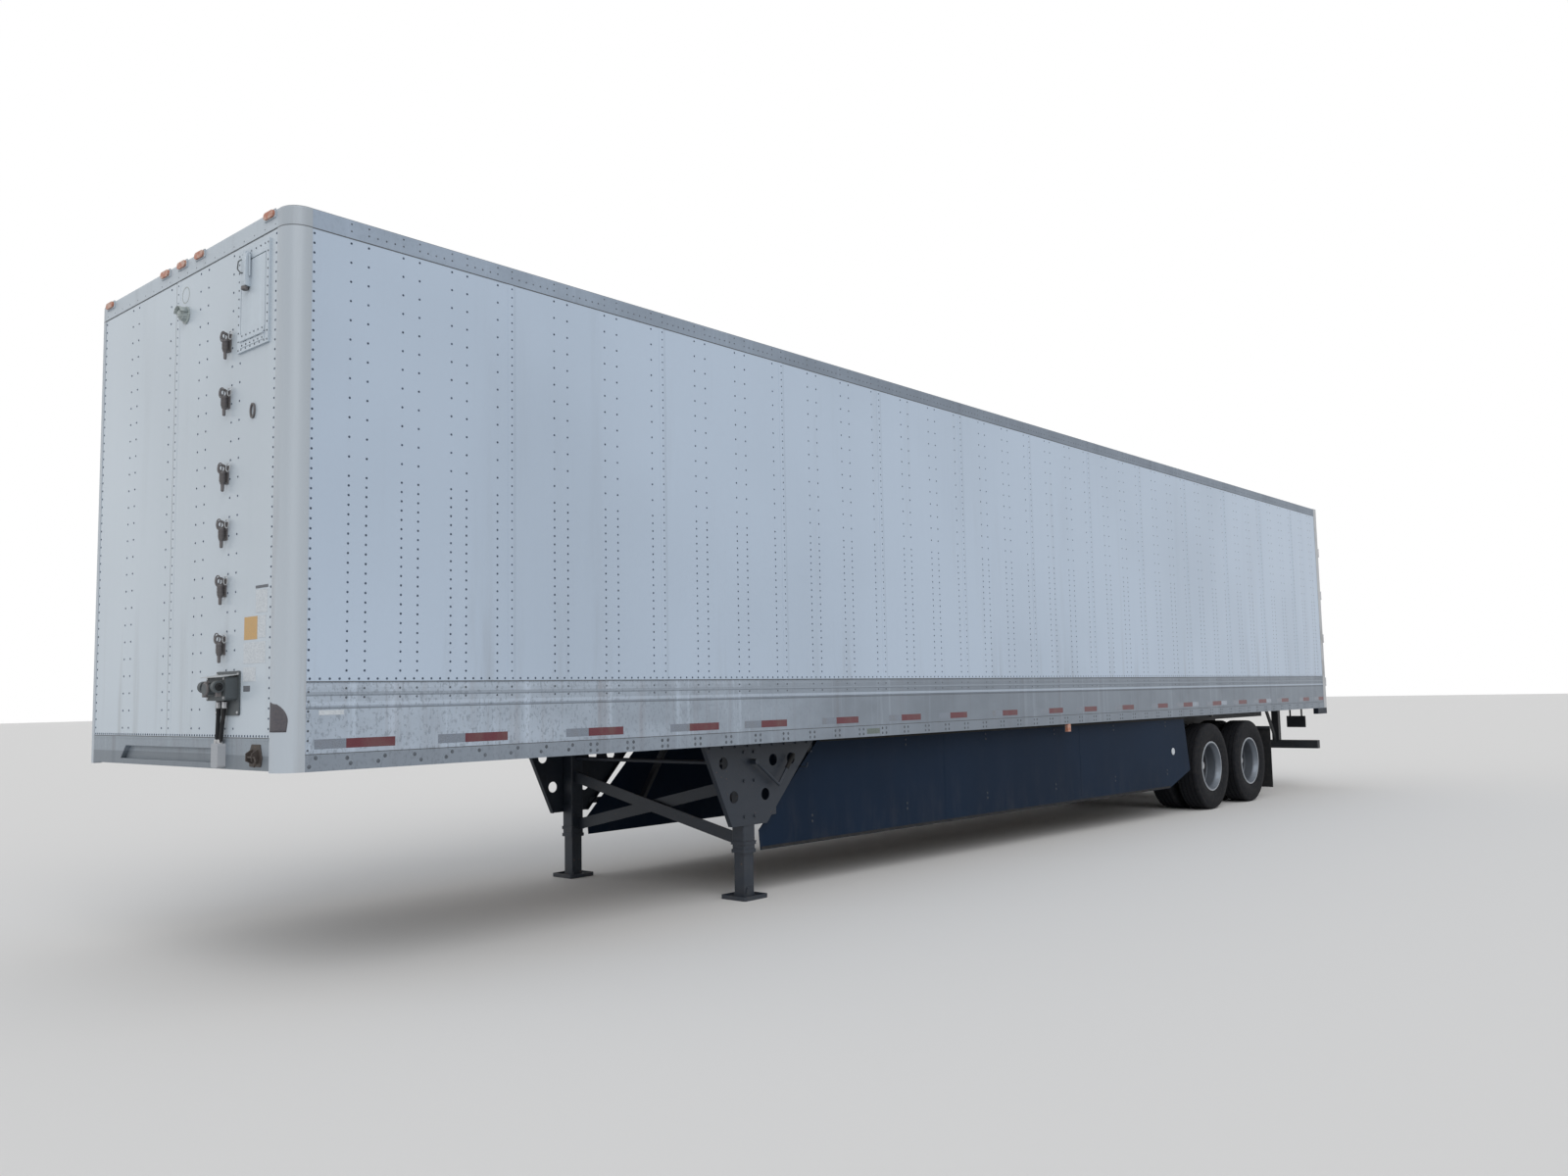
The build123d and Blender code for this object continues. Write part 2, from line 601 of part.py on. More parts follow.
# Connection box: back plate, round-cornered box, two glad hands and the plug socket
BOX_MIDDLE = PANEL_EDGE - 468.5
BOX_BOTTOM = APRON_TOP + 120.0
BOX_TOP = BOX_BOTTOM + 236.0
BOX_PLATE = 8.0
BOX_DEPTH = 62.0
BOX_HEIGHT = 130.0
BOX_CENTRE = BOX_BOTTOM + 145.0
HAND_SPREAD = 78.0  # each glad hand's distance from the box's middle
HAND_RADIUS = 31.0
HAND_THICKNESS = 32.0
SOCKET_RADIUS = 30.0
with BuildPart() as nose_box:
    with BuildSketch(cross_plane(SKIN_INSET)):
        with Locations((BOX_MIDDLE, (BOX_BOTTOM + BOX_TOP) / 2)):
            RectangleRounded(274.0, BOX_TOP - BOX_BOTTOM, 12.0)
    extrude(amount=BOX_PLATE)
    with BuildSketch(cross_plane(SKIN_INSET - BOX_PLATE)):
        with Locations((BOX_MIDDLE, BOX_CENTRE)):
            RectangleRounded(230.0, BOX_HEIGHT, 16.0)
    extrude(amount=BOX_DEPTH)
    box_face = SKIN_INSET - BOX_PLATE - BOX_DEPTH
    for hand_side in (BOX_MIDDLE - HAND_SPREAD, BOX_MIDDLE + HAND_SPREAD):
        with BuildSketch(side_plane(hand_side - HAND_THICKNESS / 2)):
            with Locations((box_face - HAND_RADIUS + 4.0, BOX_CENTRE + 8.0)):
                Circle(HAND_RADIUS)
        extrude(amount=HAND_THICKNESS)
    with BuildSketch(cross_plane(box_face)):
        with Locations((BOX_MIDDLE, BOX_CENTRE - 5.0)):
            Circle(SOCKET_RADIUS)
    extrude(amount=NOSE_REACH + box_face)
keep("nose_box", nose_box.part)

# Short fixed hoses from the box down into their conduit
HOSE_RADIUS = 11.0
HOSE_STANDOFF = 22.0
CONDUIT_TOP = APRON_TOP - 28.0
CONDUIT_FOOT = APRON_BOTTOM + 8.0
CONDUIT_MIDDLE = BOX_MIDDLE - 56.0
CONDUIT_WIDTH = 80.0
hose_top = BOX_CENTRE - BOX_HEIGHT / 2 - 3.0
HOSE_ENDS = ((-60.0, -19.0), (10.0, 19.0))  # top from the box's middle, foot from the conduit's
with BuildPart() as nose_hoses:
    for top_side, foot_side in HOSE_ENDS:
        add(
            rod(
                (back(-HOSE_STANDOFF), BOX_MIDDLE + top_side, hose_top),
                (back(-HOSE_STANDOFF), CONDUIT_MIDDLE + foot_side, CONDUIT_TOP - 10.0),
                HOSE_RADIUS,
            )
        )
    with BuildSketch(cross_plane(0)):
        with Locations((CONDUIT_MIDDLE, (CONDUIT_FOOT + CONDUIT_TOP) / 2)):
            RectangleRounded(CONDUIT_WIDTH, CONDUIT_TOP - CONDUIT_FOOT, 14.0)
    extrude(amount=2 * HOSE_STANDOFF)
keep("nose_hoses", nose_hoses.part)

# Rear frame: posts, header and sill round the doorway, with the fixed hinge lugs
DOOR_BOTTOM = FLOOR_TOP + DOOR_GAP
DOOR_TOP = HEIGHT - FRAME_HEADER - DOOR_GAP
PIN_SIDE = HALF_WIDTH - PIN_INSET
PIN_BACK = REAR_FACE + PIN_STANDOFF
lug_height = KNUCKLE_HEIGHT / 2


def spread(low, high, count):
    """Evenly spaced heights from low to high, both included."""
    return [low + (high - low) * index / (count - 1) for index in range(count)]


hinge_heights = spread(DOOR_BOTTOM + HINGE_LOW, DOOR_TOP - HINGE_HIGH, HINGE_COUNT)
lock_guide_heights = spread(DOOR_BOTTOM + LOCK_GUIDE_IN, DOOR_TOP - LOCK_GUIDE_IN, LOCK_GUIDE_COUNT)
handle_height = DOOR_BOTTOM + HANDLE_UP
SILL_FOOT_LENGTH = 380.0  # feet that hang below the sill's ends, along the trailer
SILL_FOOT_WIDTH = 70.0
SILL_FOOT_DROP = 85.0
with BuildPart() as rear_frame:
    with BuildSketch(cross_plane(FRAME_FRONT)):
        with Locations((0, (RAIL_BOTTOM + HEIGHT) / 2)):
            Rectangle(WIDTH, HEIGHT - RAIL_BOTTOM)
        with Locations((0, (FLOOR_TOP + HEIGHT - FRAME_HEADER) / 2)):
            Rectangle(WIDTH - 2 * FRAME_POST, HEIGHT - FRAME_HEADER - FLOOR_TOP, mode=Mode.SUBTRACT)
    extrude(amount=-FRAME_DEPTH)
    for height in hinge_heights:
        for hand in (-1, 1):
            for level in (-1, 1):
                lug_start = height + level * (KNUCKLE_HEIGHT / 2 + KNUCKLE_GAP) + min(level, 0) * lug_height
                with BuildSketch(Plane.XY.offset(lug_start)):
                    with Locations((back(PIN_BACK), hand * PIN_SIDE)):
                        Circle(KNUCKLE_RADIUS)
                    with Locations((back(REAR_FACE + PIN_STANDOFF / 2), hand * (PIN_SIDE - 4.0))):
                        Rectangle(PIN_STANDOFF, 20.0)
                extrude(amount=lug_height)
            pin_low = height - KNUCKLE_HEIGHT / 2 - KNUCKLE_GAP - lug_height
            add(
                rod(
                    (back(PIN_BACK), hand * PIN_SIDE, pin_low),
                    (back(PIN_BACK), hand * PIN_SIDE, 2 * height - pin_low),
                    HINGE_PIN_RADIUS,
                )
            )
    with BuildSketch(cross_plane(REAR_FACE)):
        keeper_side = (CAM_WIDTH + KEEPER_PLATE) / 2 + KEEPER_GAP
        for keeper_height in (DOOR_BOTTOM - LOCK_REACH - KEEPER_GAP, DOOR_TOP + LOCK_REACH + KEEPER_GAP / 2):
            for rod_side in (-LOCK_ROD_SIDE, LOCK_ROD_SIDE):
                for hand in (-1, 1):
                    with Locations((rod_side + hand * keeper_side, keeper_height)):
                        Rectangle(KEEPER_PLATE, KEEPER_HEIGHT)
    extrude(amount=-KEEPER_DEPTH)
    with BuildSketch(Plane.XY.offset(RAIL_BOTTOM)):
        for hand in (-1, 1):
            with Locations((back(REAR_FACE - SILL_FOOT_LENGTH / 2), hand * (RIVETED - SILL_FOOT_WIDTH / 2))):
                Rectangle(SILL_FOOT_LENGTH, SILL_FOOT_WIDTH)
    extrude(amount=-SILL_FOOT_DROP)
keep("rear_frame", rear_frame.part)

# Rear doors, as left-hand pieces: the leaf, then its straps, lock rod and handle
DOOR_EDGE = HALF_WIDTH - FRAME_POST - DOOR_GAP
with BuildPart() as rear_door:
    with BuildSketch(cross_plane(REAR_FACE - DOOR_THICKNESS)):
        with Locations(((DOOR_GAP + DOOR_EDGE) / 2, (DOOR_BOTTOM + DOOR_TOP) / 2)):
            Rectangle(DOOR_EDGE - DOOR_GAP, DOOR_TOP - DOOR_BOTTOM)
    extrude(amount=-DOOR_THICKNESS)
keep_pair("rear_door", rear_door.part)

with BuildPart() as door_gear:
    for height in hinge_heights:
        with BuildSketch(Plane.XY.offset(height - STRAP_HEIGHT / 2)):
            with BuildLine():
                Polyline(
                    (back(REAR_FACE), DOOR_EDGE - STRAP_LENGTH),
                    (back(REAR_FACE), DOOR_EDGE - 4.0),
                    (back(PIN_BACK - 3.0), PIN_SIDE - 12.0),
                    (back(PIN_BACK + 8.0), PIN_SIDE - 6.0),
                    (back(REAR_FACE + STRAP_THICKNESS), DOOR_EDGE - 12.0),
                    (back(REAR_FACE + STRAP_THICKNESS), DOOR_EDGE - STRAP_LENGTH),
                    close=True,
                )
            make_face()
            with Locations((back(PIN_BACK), PIN_SIDE)):
                Circle(KNUCKLE_RADIUS)
                Circle(HINGE_PIN_RADIUS + HINGE_PIN_CLEARANCE, mode=Mode.SUBTRACT)
        extrude(amount=STRAP_HEIGHT)
    rod_back = REAR_FACE + LOCK_ROD_OFF
    add(
        rod(
            (back(rod_back), LOCK_ROD_SIDE, DOOR_BOTTOM - LOCK_REACH),
            (back(rod_back), LOCK_ROD_SIDE, DOOR_TOP + LOCK_REACH),
            LOCK_ROD_RADIUS,
        )
    )
    for cam_foot in (DOOR_BOTTOM - LOCK_REACH, DOOR_TOP):
        with BuildSketch(Plane.XY.offset(cam_foot)):
            with Locations((back(rod_back + LOCK_ROD_RADIUS - CAM_DEPTH / 2 - 1.0), LOCK_ROD_SIDE)):
                RectangleRounded(CAM_DEPTH, CAM_WIDTH, 6.0)
        extrude(amount=LOCK_REACH)
    for height in lock_guide_heights:
        with BuildSketch(Plane.XY.offset(height - 30.0)):
            with Locations((back(REAR_FACE + (LOCK_ROD_OFF + LOCK_ROD_RADIUS + 4.0) / 2), LOCK_ROD_SIDE)):
                Rectangle(LOCK_ROD_OFF + LOCK_ROD_RADIUS + 4.0, 44.0)
        extrude(amount=60.0)
    add(
        bar(
            (back(rod_back), LOCK_ROD_SIDE, handle_height),
            (back(rod_back), LOCK_ROD_SIDE + HANDLE_LENGTH, handle_height),
            14.0,
            32.0,
        )
    )
    with BuildSketch(Plane.XY.offset(handle_height - 40.0)):
        with Locations((back(REAR_FACE + 11.0), LOCK_ROD_SIDE + HANDLE_LENGTH - 60.0)):
            Rectangle(22.0, 60.0)
    extrude(amount=80.0)
keep_pair("door_gear", door_gear.part)

# Lamps: amber at the nose and flanks, red at the tail
LAMP_RADIUS = 24.0
LAMP_DEPTH = 16.0
NOSE_LAMP_RADIUS = 19.0
NOSE_LAMP_HEIGHT = HEIGHT - NOSE_LAMP_RADIUS - 5.0
CORNER_LAMP_IN = 210.5
CENTRE_LAMP_PITCH = 236.0
FLANK_LAMP_BACK = 8187.0
FLANK_LAMP_IN = 33.5
SILL_MIDDLE = (RAIL_BOTTOM + FLOOR_TOP) / 2
TAIL_LAMP_IN = 165.5  # outermost tail lamp from the trailer's side
TAIL_LAMP_PITCH = 130.0
TAIL_LAMP_RADIUS = 50.0
TOP_LAMP_PITCH = 140.0
TOP_LAMP_IN = 115.5
with BuildPart() as amber_lamps:
    corner_lamp = HALF_WIDTH - CORNER_LAMP_IN
    for side in (-corner_lamp, -CENTRE_LAMP_PITCH, 0.0, CENTRE_LAMP_PITCH, corner_lamp):
        with BuildSketch(cross_plane(0)):
            with Locations((side, NOSE_LAMP_HEIGHT)):
                SlotOverall(110.0, 2 * NOSE_LAMP_RADIUS)
        extrude(amount=LAMP_DEPTH)
    for hand in (-1, 1):
        with BuildSketch(side_plane(hand * (HALF_WIDTH - FLANK_LAMP_IN))):
            with Locations((FLANK_LAMP_BACK, RAIL_BOTTOM - 38.0)):
                Rectangle(60.0, 76.0)
        extrude(amount=hand * 30.0)
keep("amber_lamps", amber_lamps.part)

with BuildPart() as red_lamps:
    for hand in (-1, 1):
        for number in range(3):
            with BuildSketch(cross_plane(REAR_FACE)):
                with Locations((hand * (HALF_WIDTH - TAIL_LAMP_IN - number * TAIL_LAMP_PITCH), SILL_MIDDLE)):
                    Circle(TAIL_LAMP_RADIUS)
            extrude(amount=-LAMP_DEPTH)
    top_lamp = HALF_WIDTH - TOP_LAMP_IN
    for side in (-top_lamp, -TOP_LAMP_PITCH, 0.0, TOP_LAMP_PITCH, top_lamp):
        with BuildSketch(cross_plane(REAR_FACE)):
            with Locations((side, HEIGHT - FRAME_HEADER / 2)):
                SlotOverall(100.0, 2 * LAMP_RADIUS)
        extrude(amount=-LAMP_DEPTH)
keep("red_lamps", red_lamps.part)

# Underride guard across the tail
GUARD_BOTTOM = 540.0
GUARD_TOP = 660.0
GUARD_HALF = HALF_WIDTH - 125.5
GUARD_DEPTH = 100.0
GUARD_IN = 10.0  # the beam's rear face ahead of the frame's
POST_SIDE = 560.0
POST_WIDTH = 100.0
POST_DEPTH = 98.0
STAY_REACH = 360.0  # how far ahead of the rear frame the stays run
STAY_WIDTH = 60.0
STAY_DEPTH = 24.0
with BuildPart() as rear_guard:
    with BuildSketch(side_plane(-GUARD_HALF)):
        guard_front = REAR_FACE - GUARD_IN - GUARD_DEPTH
        with Locations((guard_front + GUARD_DEPTH / 2, (GUARD_BOTTOM + GUARD_TOP) / 2)):
            Rectangle(GUARD_DEPTH, GUARD_TOP - GUARD_BOTTOM)
    extrude(amount=2 * GUARD_HALF)
    for side in (-POST_SIDE, POST_SIDE):
        with BuildSketch(side_plane(side - POST_WIDTH / 2)):
            with Locations((guard_front + POST_DEPTH / 2, (GUARD_TOP + RAIL_BOTTOM) / 2)):
                Rectangle(POST_DEPTH, RAIL_BOTTOM - GUARD_TOP)
        extrude(amount=POST_WIDTH)
        stay_top = (back(FRAME_FRONT - STAY_REACH), side, BEAM_BOTTOM - STAY_DEPTH / 2)
        stay_foot = (back(guard_front + 35.0), side, GUARD_TOP - 30.0)
        add(bar(stay_top, stay_foot, STAY_WIDTH, STAY_DEPTH))
keep("rear_guard", rear_guard.part)

# Holder for a licence plate, left blank
HOLDER_SIDE = HALF_WIDTH - 441.5
HOLDER_DOWN = 206.0
HOLDER_HEIGHT = 170.0
HOLDER_STRAP = 84.0
with BuildPart() as plate_holder:
    with BuildSketch(cross_plane(REAR_FACE - 40.0)):
        with Locations((HOLDER_SIDE, RAIL_BOTTOM - HOLDER_DOWN)):
            RectangleRounded(278.0, HOLDER_HEIGHT, 8.0)
        strap_foot = RAIL_BOTTOM - HOLDER_DOWN + HOLDER_HEIGHT / 2 - 4.0
        for side in (HOLDER_SIDE - HOLDER_STRAP, HOLDER_SIDE + HOLDER_STRAP):
            with Locations((side, (strap_foot + RAIL_BOTTOM) / 2)):
                Rectangle(24.0, RAIL_BOTTOM - strap_foot)
    extrude(amount=5.0)
keep("plate_holder", plate_holder.part)

# Wheels, as left-hand pairs about their own axle line
OUTER_CENTRE = HALF_TRACK + DUAL_SPACING / 2
INNER_CENTRE = HALF_TRACK - DUAL_SPACING / 2
BEAD_RADIUS = 286.0
RIM_WALL = 9.0
WELL_RADIUS = 262.0
DISC = 11.0
BOLT_FACE_RADIUS = 168.0
HUB_RADIUS = 84.0
HUB_END = HALF_TRACK + 175.0
DRUM_RADIUS = 226.0
DRUM_INNER_RADIUS = 209.0
DRUM_START = HALF_TRACK - 265.0
SIDEWALL_DROP = 108.0  # from the tread down to where the tyre is widest
TYRE_SEAT = 0.3
PILOT_CLEARANCE = 0.3  # between the hub and the bore of the wheels it centres
WHEEL_GAP = 0.2  # each wheel's bolt face lies this far from the pair's middle
FLANGE_FACE = HALF_TRACK - WHEEL_GAP - DISC
HAND_HOLES = 5
HAND_HOLE_RADIUS = 30.0
HAND_HOLE_CIRCLE = 208.0
HAND_HOLE_REACH = 80.0  # each way from the pair's middle, to pass both discs


def wheel_section(s):
    """Plane for a wheel's half section, drawn in (y, radius)."""
    return Plane(origin=(back(s), 0, AXLE_HEIGHT), x_dir=(0, 1, 0), z_dir=(1, 0, 0))


def rim_profile(centre):
    """Rim of one wheel, open to the tyre's beads and plain where the tyre hides it."""
    half = RIM_WIDTH / 2
    Polyline(
        (centre + half, RIM_FLANGE_RADIUS),
        (centre + half, BEAD_RADIUS - RIM_WALL),
        (centre + 55.0, WELL_RADIUS - RIM_WALL),
        (centre - 55.0, WELL_RADIUS - RIM_WALL),
        (centre - half, BEAD_RADIUS - RIM_WALL),
        (centre - half, RIM_FLANGE_RADIUS),
        (centre - half + RIM_WALL, RIM_FLANGE_RADIUS),
        (centre - half + RIM_WALL, BEAD_RADIUS),
        (centre + half - RIM_WALL, BEAD_RADIUS),
        (centre + half - RIM_WALL, RIM_FLANGE_RADIUS),
        close=True,
    )


for place, axle_back in AXLE_BACKS.items():
    axle_line = Axis((back(axle_back), 0, AXLE_HEIGHT), (0, 1, 0))
    with BuildPart() as tyres:
        with BuildSketch(wheel_section(axle_back)):
            for centre in (OUTER_CENTRE, INNER_CENTRE):
                with BuildLine():
                    half = TYRE_WIDTH / 2
                    foot = RIM_WIDTH / 2 - RIM_WALL - TYRE_SEAT
                    tread = half - 24.0
                    Polyline(
                        (centre - foot, BEAD_RADIUS + TYRE_SEAT),
                        (centre - foot, RIM_FLANGE_RADIUS + 2.0),
                        (centre - half, TYRE_RADIUS - SIDEWALL_DROP),
                        (centre - tread, TYRE_RADIUS - 8.0),
                        (centre - tread + 40.0, TYRE_RADIUS),
                        (centre + tread - 40.0, TYRE_RADIUS),
                        (centre + tread, TYRE_RADIUS - 8.0),
                        (centre + half, TYRE_RADIUS - SIDEWALL_DROP),
                        (centre + foot, RIM_FLANGE_RADIUS + 2.0),
                        (centre + foot, BEAD_RADIUS + TYRE_SEAT),
                        close=True,
                    )
                make_face()
        revolve(axis=axle_line)
    keep_pair(f"tyres_{place}", tyres.part)

    with BuildPart() as wheels:
        with BuildSketch(wheel_section(axle_back)):
            for centre, out in ((OUTER_CENTRE, 1), (INNER_CENTRE, -1)):
                with BuildLine():
                    rim_profile(centre)
                make_face()
                bolt_face = HALF_TRACK + out * WHEEL_GAP
                with BuildLine():
                    Polyline(
                        (bolt_face, HUB_RADIUS),
                        (bolt_face + out * DISC, HUB_RADIUS),
                        (bolt_face + out * DISC, BOLT_FACE_RADIUS),
                        (bolt_face + out * 132.0, WELL_RADIUS - RIM_WALL / 2),
                        (bolt_face + out * 118.0, WELL_RADIUS - RIM_WALL / 2),
                        (bolt_face, BOLT_FACE_RADIUS + 4.0),
                        close=True,
                    )
                make_face()
        revolve(axis=axle_line)
        with BuildSketch(side_plane(HALF_TRACK - HAND_HOLE_REACH)):
            with Locations((axle_back, AXLE_HEIGHT)):
                with PolarLocations(HAND_HOLE_CIRCLE, HAND_HOLES):
                    Circle(HAND_HOLE_RADIUS)
        extrude(amount=2 * HAND_HOLE_REACH, mode=Mode.SUBTRACT)
    keep_pair(f"wheels_{place}", wheels.part)

    # Hub with its cap, and the brake drum behind the flange that the wheels bolt to
    with BuildPart() as hub:
        with BuildSketch(wheel_section(axle_back)):
            bore = SPINDLE_RADIUS + SPINDLE_CLEARANCE
            pilot = HUB_RADIUS - PILOT_CLEARANCE
            with BuildLine():
                Polyline(
                    (HALF_TRACK - 150.0, bore),
                    (HUB_END - 20.0, bore),
                    (HUB_END - 20.0, 0),
                    (HUB_END, 0),
                    (HUB_END - 6.0, 52.0),
                    (HUB_END - 44.0, 66.0),
                    (HALF_TRACK + DISC + WHEEL_GAP, pilot),
                    (FLANGE_FACE, pilot),
                    (FLANGE_FACE, 150.0),
                    (HALF_TRACK - 40.0, BOLT_FACE_RADIUS),
                    (HALF_TRACK - 108.0, DRUM_RADIUS),
                    (DRUM_START, DRUM_RADIUS),
                    (DRUM_START, DRUM_INNER_RADIUS),
                    (HALF_TRACK - 112.0, DRUM_INNER_RADIUS),
                    (HALF_TRACK - 60.0, 120.0),
                    (HALF_TRACK - 150.0, 95.0),
                    close=True,
                )
            make_face()
        revolve(axis=axle_line)
    keep_pair(f"hub_{place}", hub.part)

    # Axle: tube, spindles, spring seats and brake chambers
    tube_end = DRUM_START + 40.0
    spindle_end = HUB_END - 30.0
    with BuildPart() as axle:
        for end, radius in ((tube_end, AXLE_RADIUS), (spindle_end, SPINDLE_RADIUS)):
            add(rod((back(axle_back), -end, AXLE_HEIGHT), (back(axle_back), end, AXLE_HEIGHT), radius))
        for hand in (-1, 1):
            with BuildSketch(Plane.XY.offset(AXLE_HEIGHT)):
                with Locations((back(axle_back), hand * SPRING_SIDE)):
                    Rectangle(SEAT_LENGTH, SPRING_WIDTH + 20.0)
            extrude(amount=SPRING_FOOT - AXLE_HEIGHT)
            chamber = hand * CHAMBER_SIDE
            add(
                rod(
                    (back(axle_back + 95.0), chamber, AXLE_HEIGHT + 70.0),
                    (back(axle_back + 330.0), chamber, AXLE_HEIGHT + 110.0),
                    CHAMBER_RADIUS,
                )
            )
            add(
                bar(
                    (back(axle_back), chamber, AXLE_HEIGHT + 30.0),
                    (back(axle_back + 120.0), chamber, AXLE_HEIGHT + 74.0),
                    90.0,
                    30.0,
                )
            )
    keep(f"axle_{place}", axle.part)

# Leaf springs: three leaves in a pack over each axle end, as arcs about one centre
LEAF_TABLE = ((0, 540.0), (1, 430.0), (2, 320.0))  # leaf number from the top, half length
spring_hub = SPRING_FOOT + SPRING_BEND
with BuildPart() as springs:
    for axle_back in AXLE_BACKS.values():
        for hand in (-1, 1):
            with BuildSketch(side_plane(hand * SPRING_SIDE - SPRING_WIDTH / 2)):
                for number, reach in LEAF_TABLE:
                    ends = []
                    with BuildLine():
                        for radius in (SPRING_BEND - (2 - number) * LEAF, SPRING_BEND - (3 - number) * LEAF):
                            turn = reach / SPRING_BEND
                            across = radius * sin(turn)
                            level = spring_hub - radius * cos(turn)
                            first = (axle_back - across, level)
                            last = (axle_back + across, level)
                            ThreePointArc(first, (axle_back, spring_hub - radius), last)
                            ends.append((first, last))
                        Line(ends[0][0], ends[1][0])
                        Line(ends[0][1], ends[1][1])
                    make_face()
            extrude(amount=SPRING_WIDTH)
keep("leaf_springs", springs.part)

# Sliding bogie: box side rails, cross tubes, spring hangers and the mud flaps' arms
front_axle, rear_axle = AXLE_BACKS["front"], AXLE_BACKS["rear"]
SPRING_REACH = LEAF_TABLE[0][1]
HANGER_BACKS = (front_axle - SPRING_REACH, (front_axle + rear_axle) / 2, rear_axle + SPRING_REACH)
BOGIE_TOP = BEAM_BOTTOM - SLIDER_PLATE
BOGIE_UNDER = BOGIE_TOP - BOGIE_RAIL_HEIGHT
BOGIE_START = HANGER_BACKS[0] - 120.0
BOGIE_END = HANGER_BACKS[-1] + 205.0
FLAP_TOP = 905.0
FLAP_BOTTOM = 130.0
FLAP_WIDTH = 593.0
FLAP_OUTER = HALF_WIDTH - 12.5
FLAP_INNER = FLAP_OUTER - FLAP_WIDTH
FLAP_THICKNESS = 8.0
ARM = 36.0
leaf_top = spring_hub - (SPRING_BEND - 3 * LEAF) * cos((SPRING_REACH - 60.0) / SPRING_BEND)
with BuildPart() as bogie_frame:
    for hand in (-1, 1):
        with BuildSketch(side_plane(hand * BOGIE_RAIL_SIDE - BOGIE_RAIL_WIDTH / 2)):
            with Locations(((BOGIE_START + BOGIE_END) / 2, (BOGIE_TOP + BOGIE_UNDER) / 2)):
                Rectangle(BOGIE_END - BOGIE_START, BOGIE_RAIL_HEIGHT)
        extrude(amount=BOGIE_RAIL_WIDTH)
        for hanger_back in HANGER_BACKS:
            for cheek in (-1, 1):
                cheek_side = hand * SPRING_SIDE + cheek * (SPRING_WIDTH / 2 + 6.0) - 4.0
                with BuildSketch(side_plane(cheek_side)):
                    with BuildLine():
                        Polyline(
                            (hanger_back - 120.0, BOGIE_UNDER),
                            (hanger_back + 120.0, BOGIE_UNDER),
                            (hanger_back + 70.0, leaf_top - 60.0),
                            (hanger_back - 70.0, leaf_top - 60.0),
                            close=True,
                        )
                    make_face()
                extrude(amount=8.0)
            with BuildSketch(side_plane(hand * SPRING_SIDE - SPRING_WIDTH / 2 - 2.0)):
                with Locations((hanger_back, leaf_top + 35.0)):
                    Rectangle(110.0, 46.0)
            extrude(amount=SPRING_WIDTH + 4.0)
        arm_side = hand * (BOGIE_RAIL_SIDE + 20.0)
        with BuildSketch(Plane.XY.offset(FLAP_TOP)):
            with Locations((back(BOGIE_END - ARM / 2), arm_side)):
                Rectangle(ARM, ARM)
        extrude(amount=BOGIE_UNDER - FLAP_TOP)
        with BuildSketch(side_plane(hand * (BOGIE_RAIL_SIDE + 2.0))):
            with Locations((BOGIE_END - ARM / 2, FLAP_TOP + ARM / 2)):
                Rectangle(ARM, ARM)
        extrude(amount=hand * (FLAP_OUTER - BOGIE_RAIL_SIDE - 2.0))
    with BuildSketch(side_plane(-BOGIE_RAIL_SIDE)):
        for tube_back in HANGER_BACKS:
            with Locations((tube_back, BOGIE_TOP - BOGIE_RAIL_HEIGHT / 2)):
                Rectangle(90.0, 80.0)
                Rectangle(78.0, 68.0, mode=Mode.SUBTRACT)
    extrude(amount=2 * BOGIE_RAIL_SIDE)
keep("bogie_frame", bogie_frame.part)

# Mud flaps, hung behind the rear tyres
with BuildPart() as mud_flap:
    with BuildSketch(cross_plane(BOGIE_END - ARM / 2 + FLAP_THICKNESS / 2)):
        with Locations(((FLAP_INNER + FLAP_OUTER) / 2, (FLAP_TOP + FLAP_BOTTOM) / 2)):
            Rectangle(FLAP_OUTER - FLAP_INNER, FLAP_TOP - FLAP_BOTTOM)
    extrude(amount=FLAP_THICKNESS)
keep_both("mud_flaps", mud_flap.part)

# Slider rails under the crossmembers: angles whose webs hold the bogie from outside
SLIDER_WEB = BOGIE_RAIL_SIDE + BOGIE_RAIL_WIDTH / 2 + SLIDER_GAP
SLIDER_FOOT = BEAM_BOTTOM - SLIDER_RAIL_HEIGHT
with BuildPart() as slider_rail:
    with BuildSketch(cross_plane(SLIDER_START)):
        with BuildLine():
            Polyline(
                (SLIDER_WEB - BOGIE_RAIL_WIDTH, BEAM_BOTTOM),
                (SLIDER_WEB + SLIDER_PLATE, BEAM_BOTTOM),
                (SLIDER_WEB + SLIDER_PLATE, SLIDER_FOOT),
                (SLIDER_WEB, SLIDER_FOOT),
                (SLIDER_WEB, BOGIE_TOP),
                (SLIDER_WEB - BOGIE_RAIL_WIDTH, BOGIE_TOP),
                close=True,
            )
        make_face()
    extrude(amount=SLIDER_START - SLIDER_END)
keep_both("slider_rails", slider_rail.part)

# Air tanks ahead of the bogie, each hung in two straps
TANK_BACK = 10250.0
TANK_SIDE = 240.0
TANK_HEIGHT = BEAM_BOTTOM - TANK_RADIUS - 20.0
with BuildPart() as air_tanks:
    for side in (-TANK_SIDE, TANK_SIDE):
        add(
            rod(
                (back(TANK_BACK), side, TANK_HEIGHT),
                (back(TANK_BACK + TANK_LENGTH), side, TANK_HEIGHT),
                TANK_RADIUS,
            )
        )
        for strap in (0.2, 0.8):
            with BuildSketch(Plane.XY.offset(TANK_HEIGHT)):
                with Locations((back(TANK_BACK + strap * TANK_LENGTH), side)):
                    Rectangle(40.0, 150.0)
            extrude(amount=BEAM_BOTTOM - TANK_HEIGHT)
keep("air_tanks", air_tanks.part)

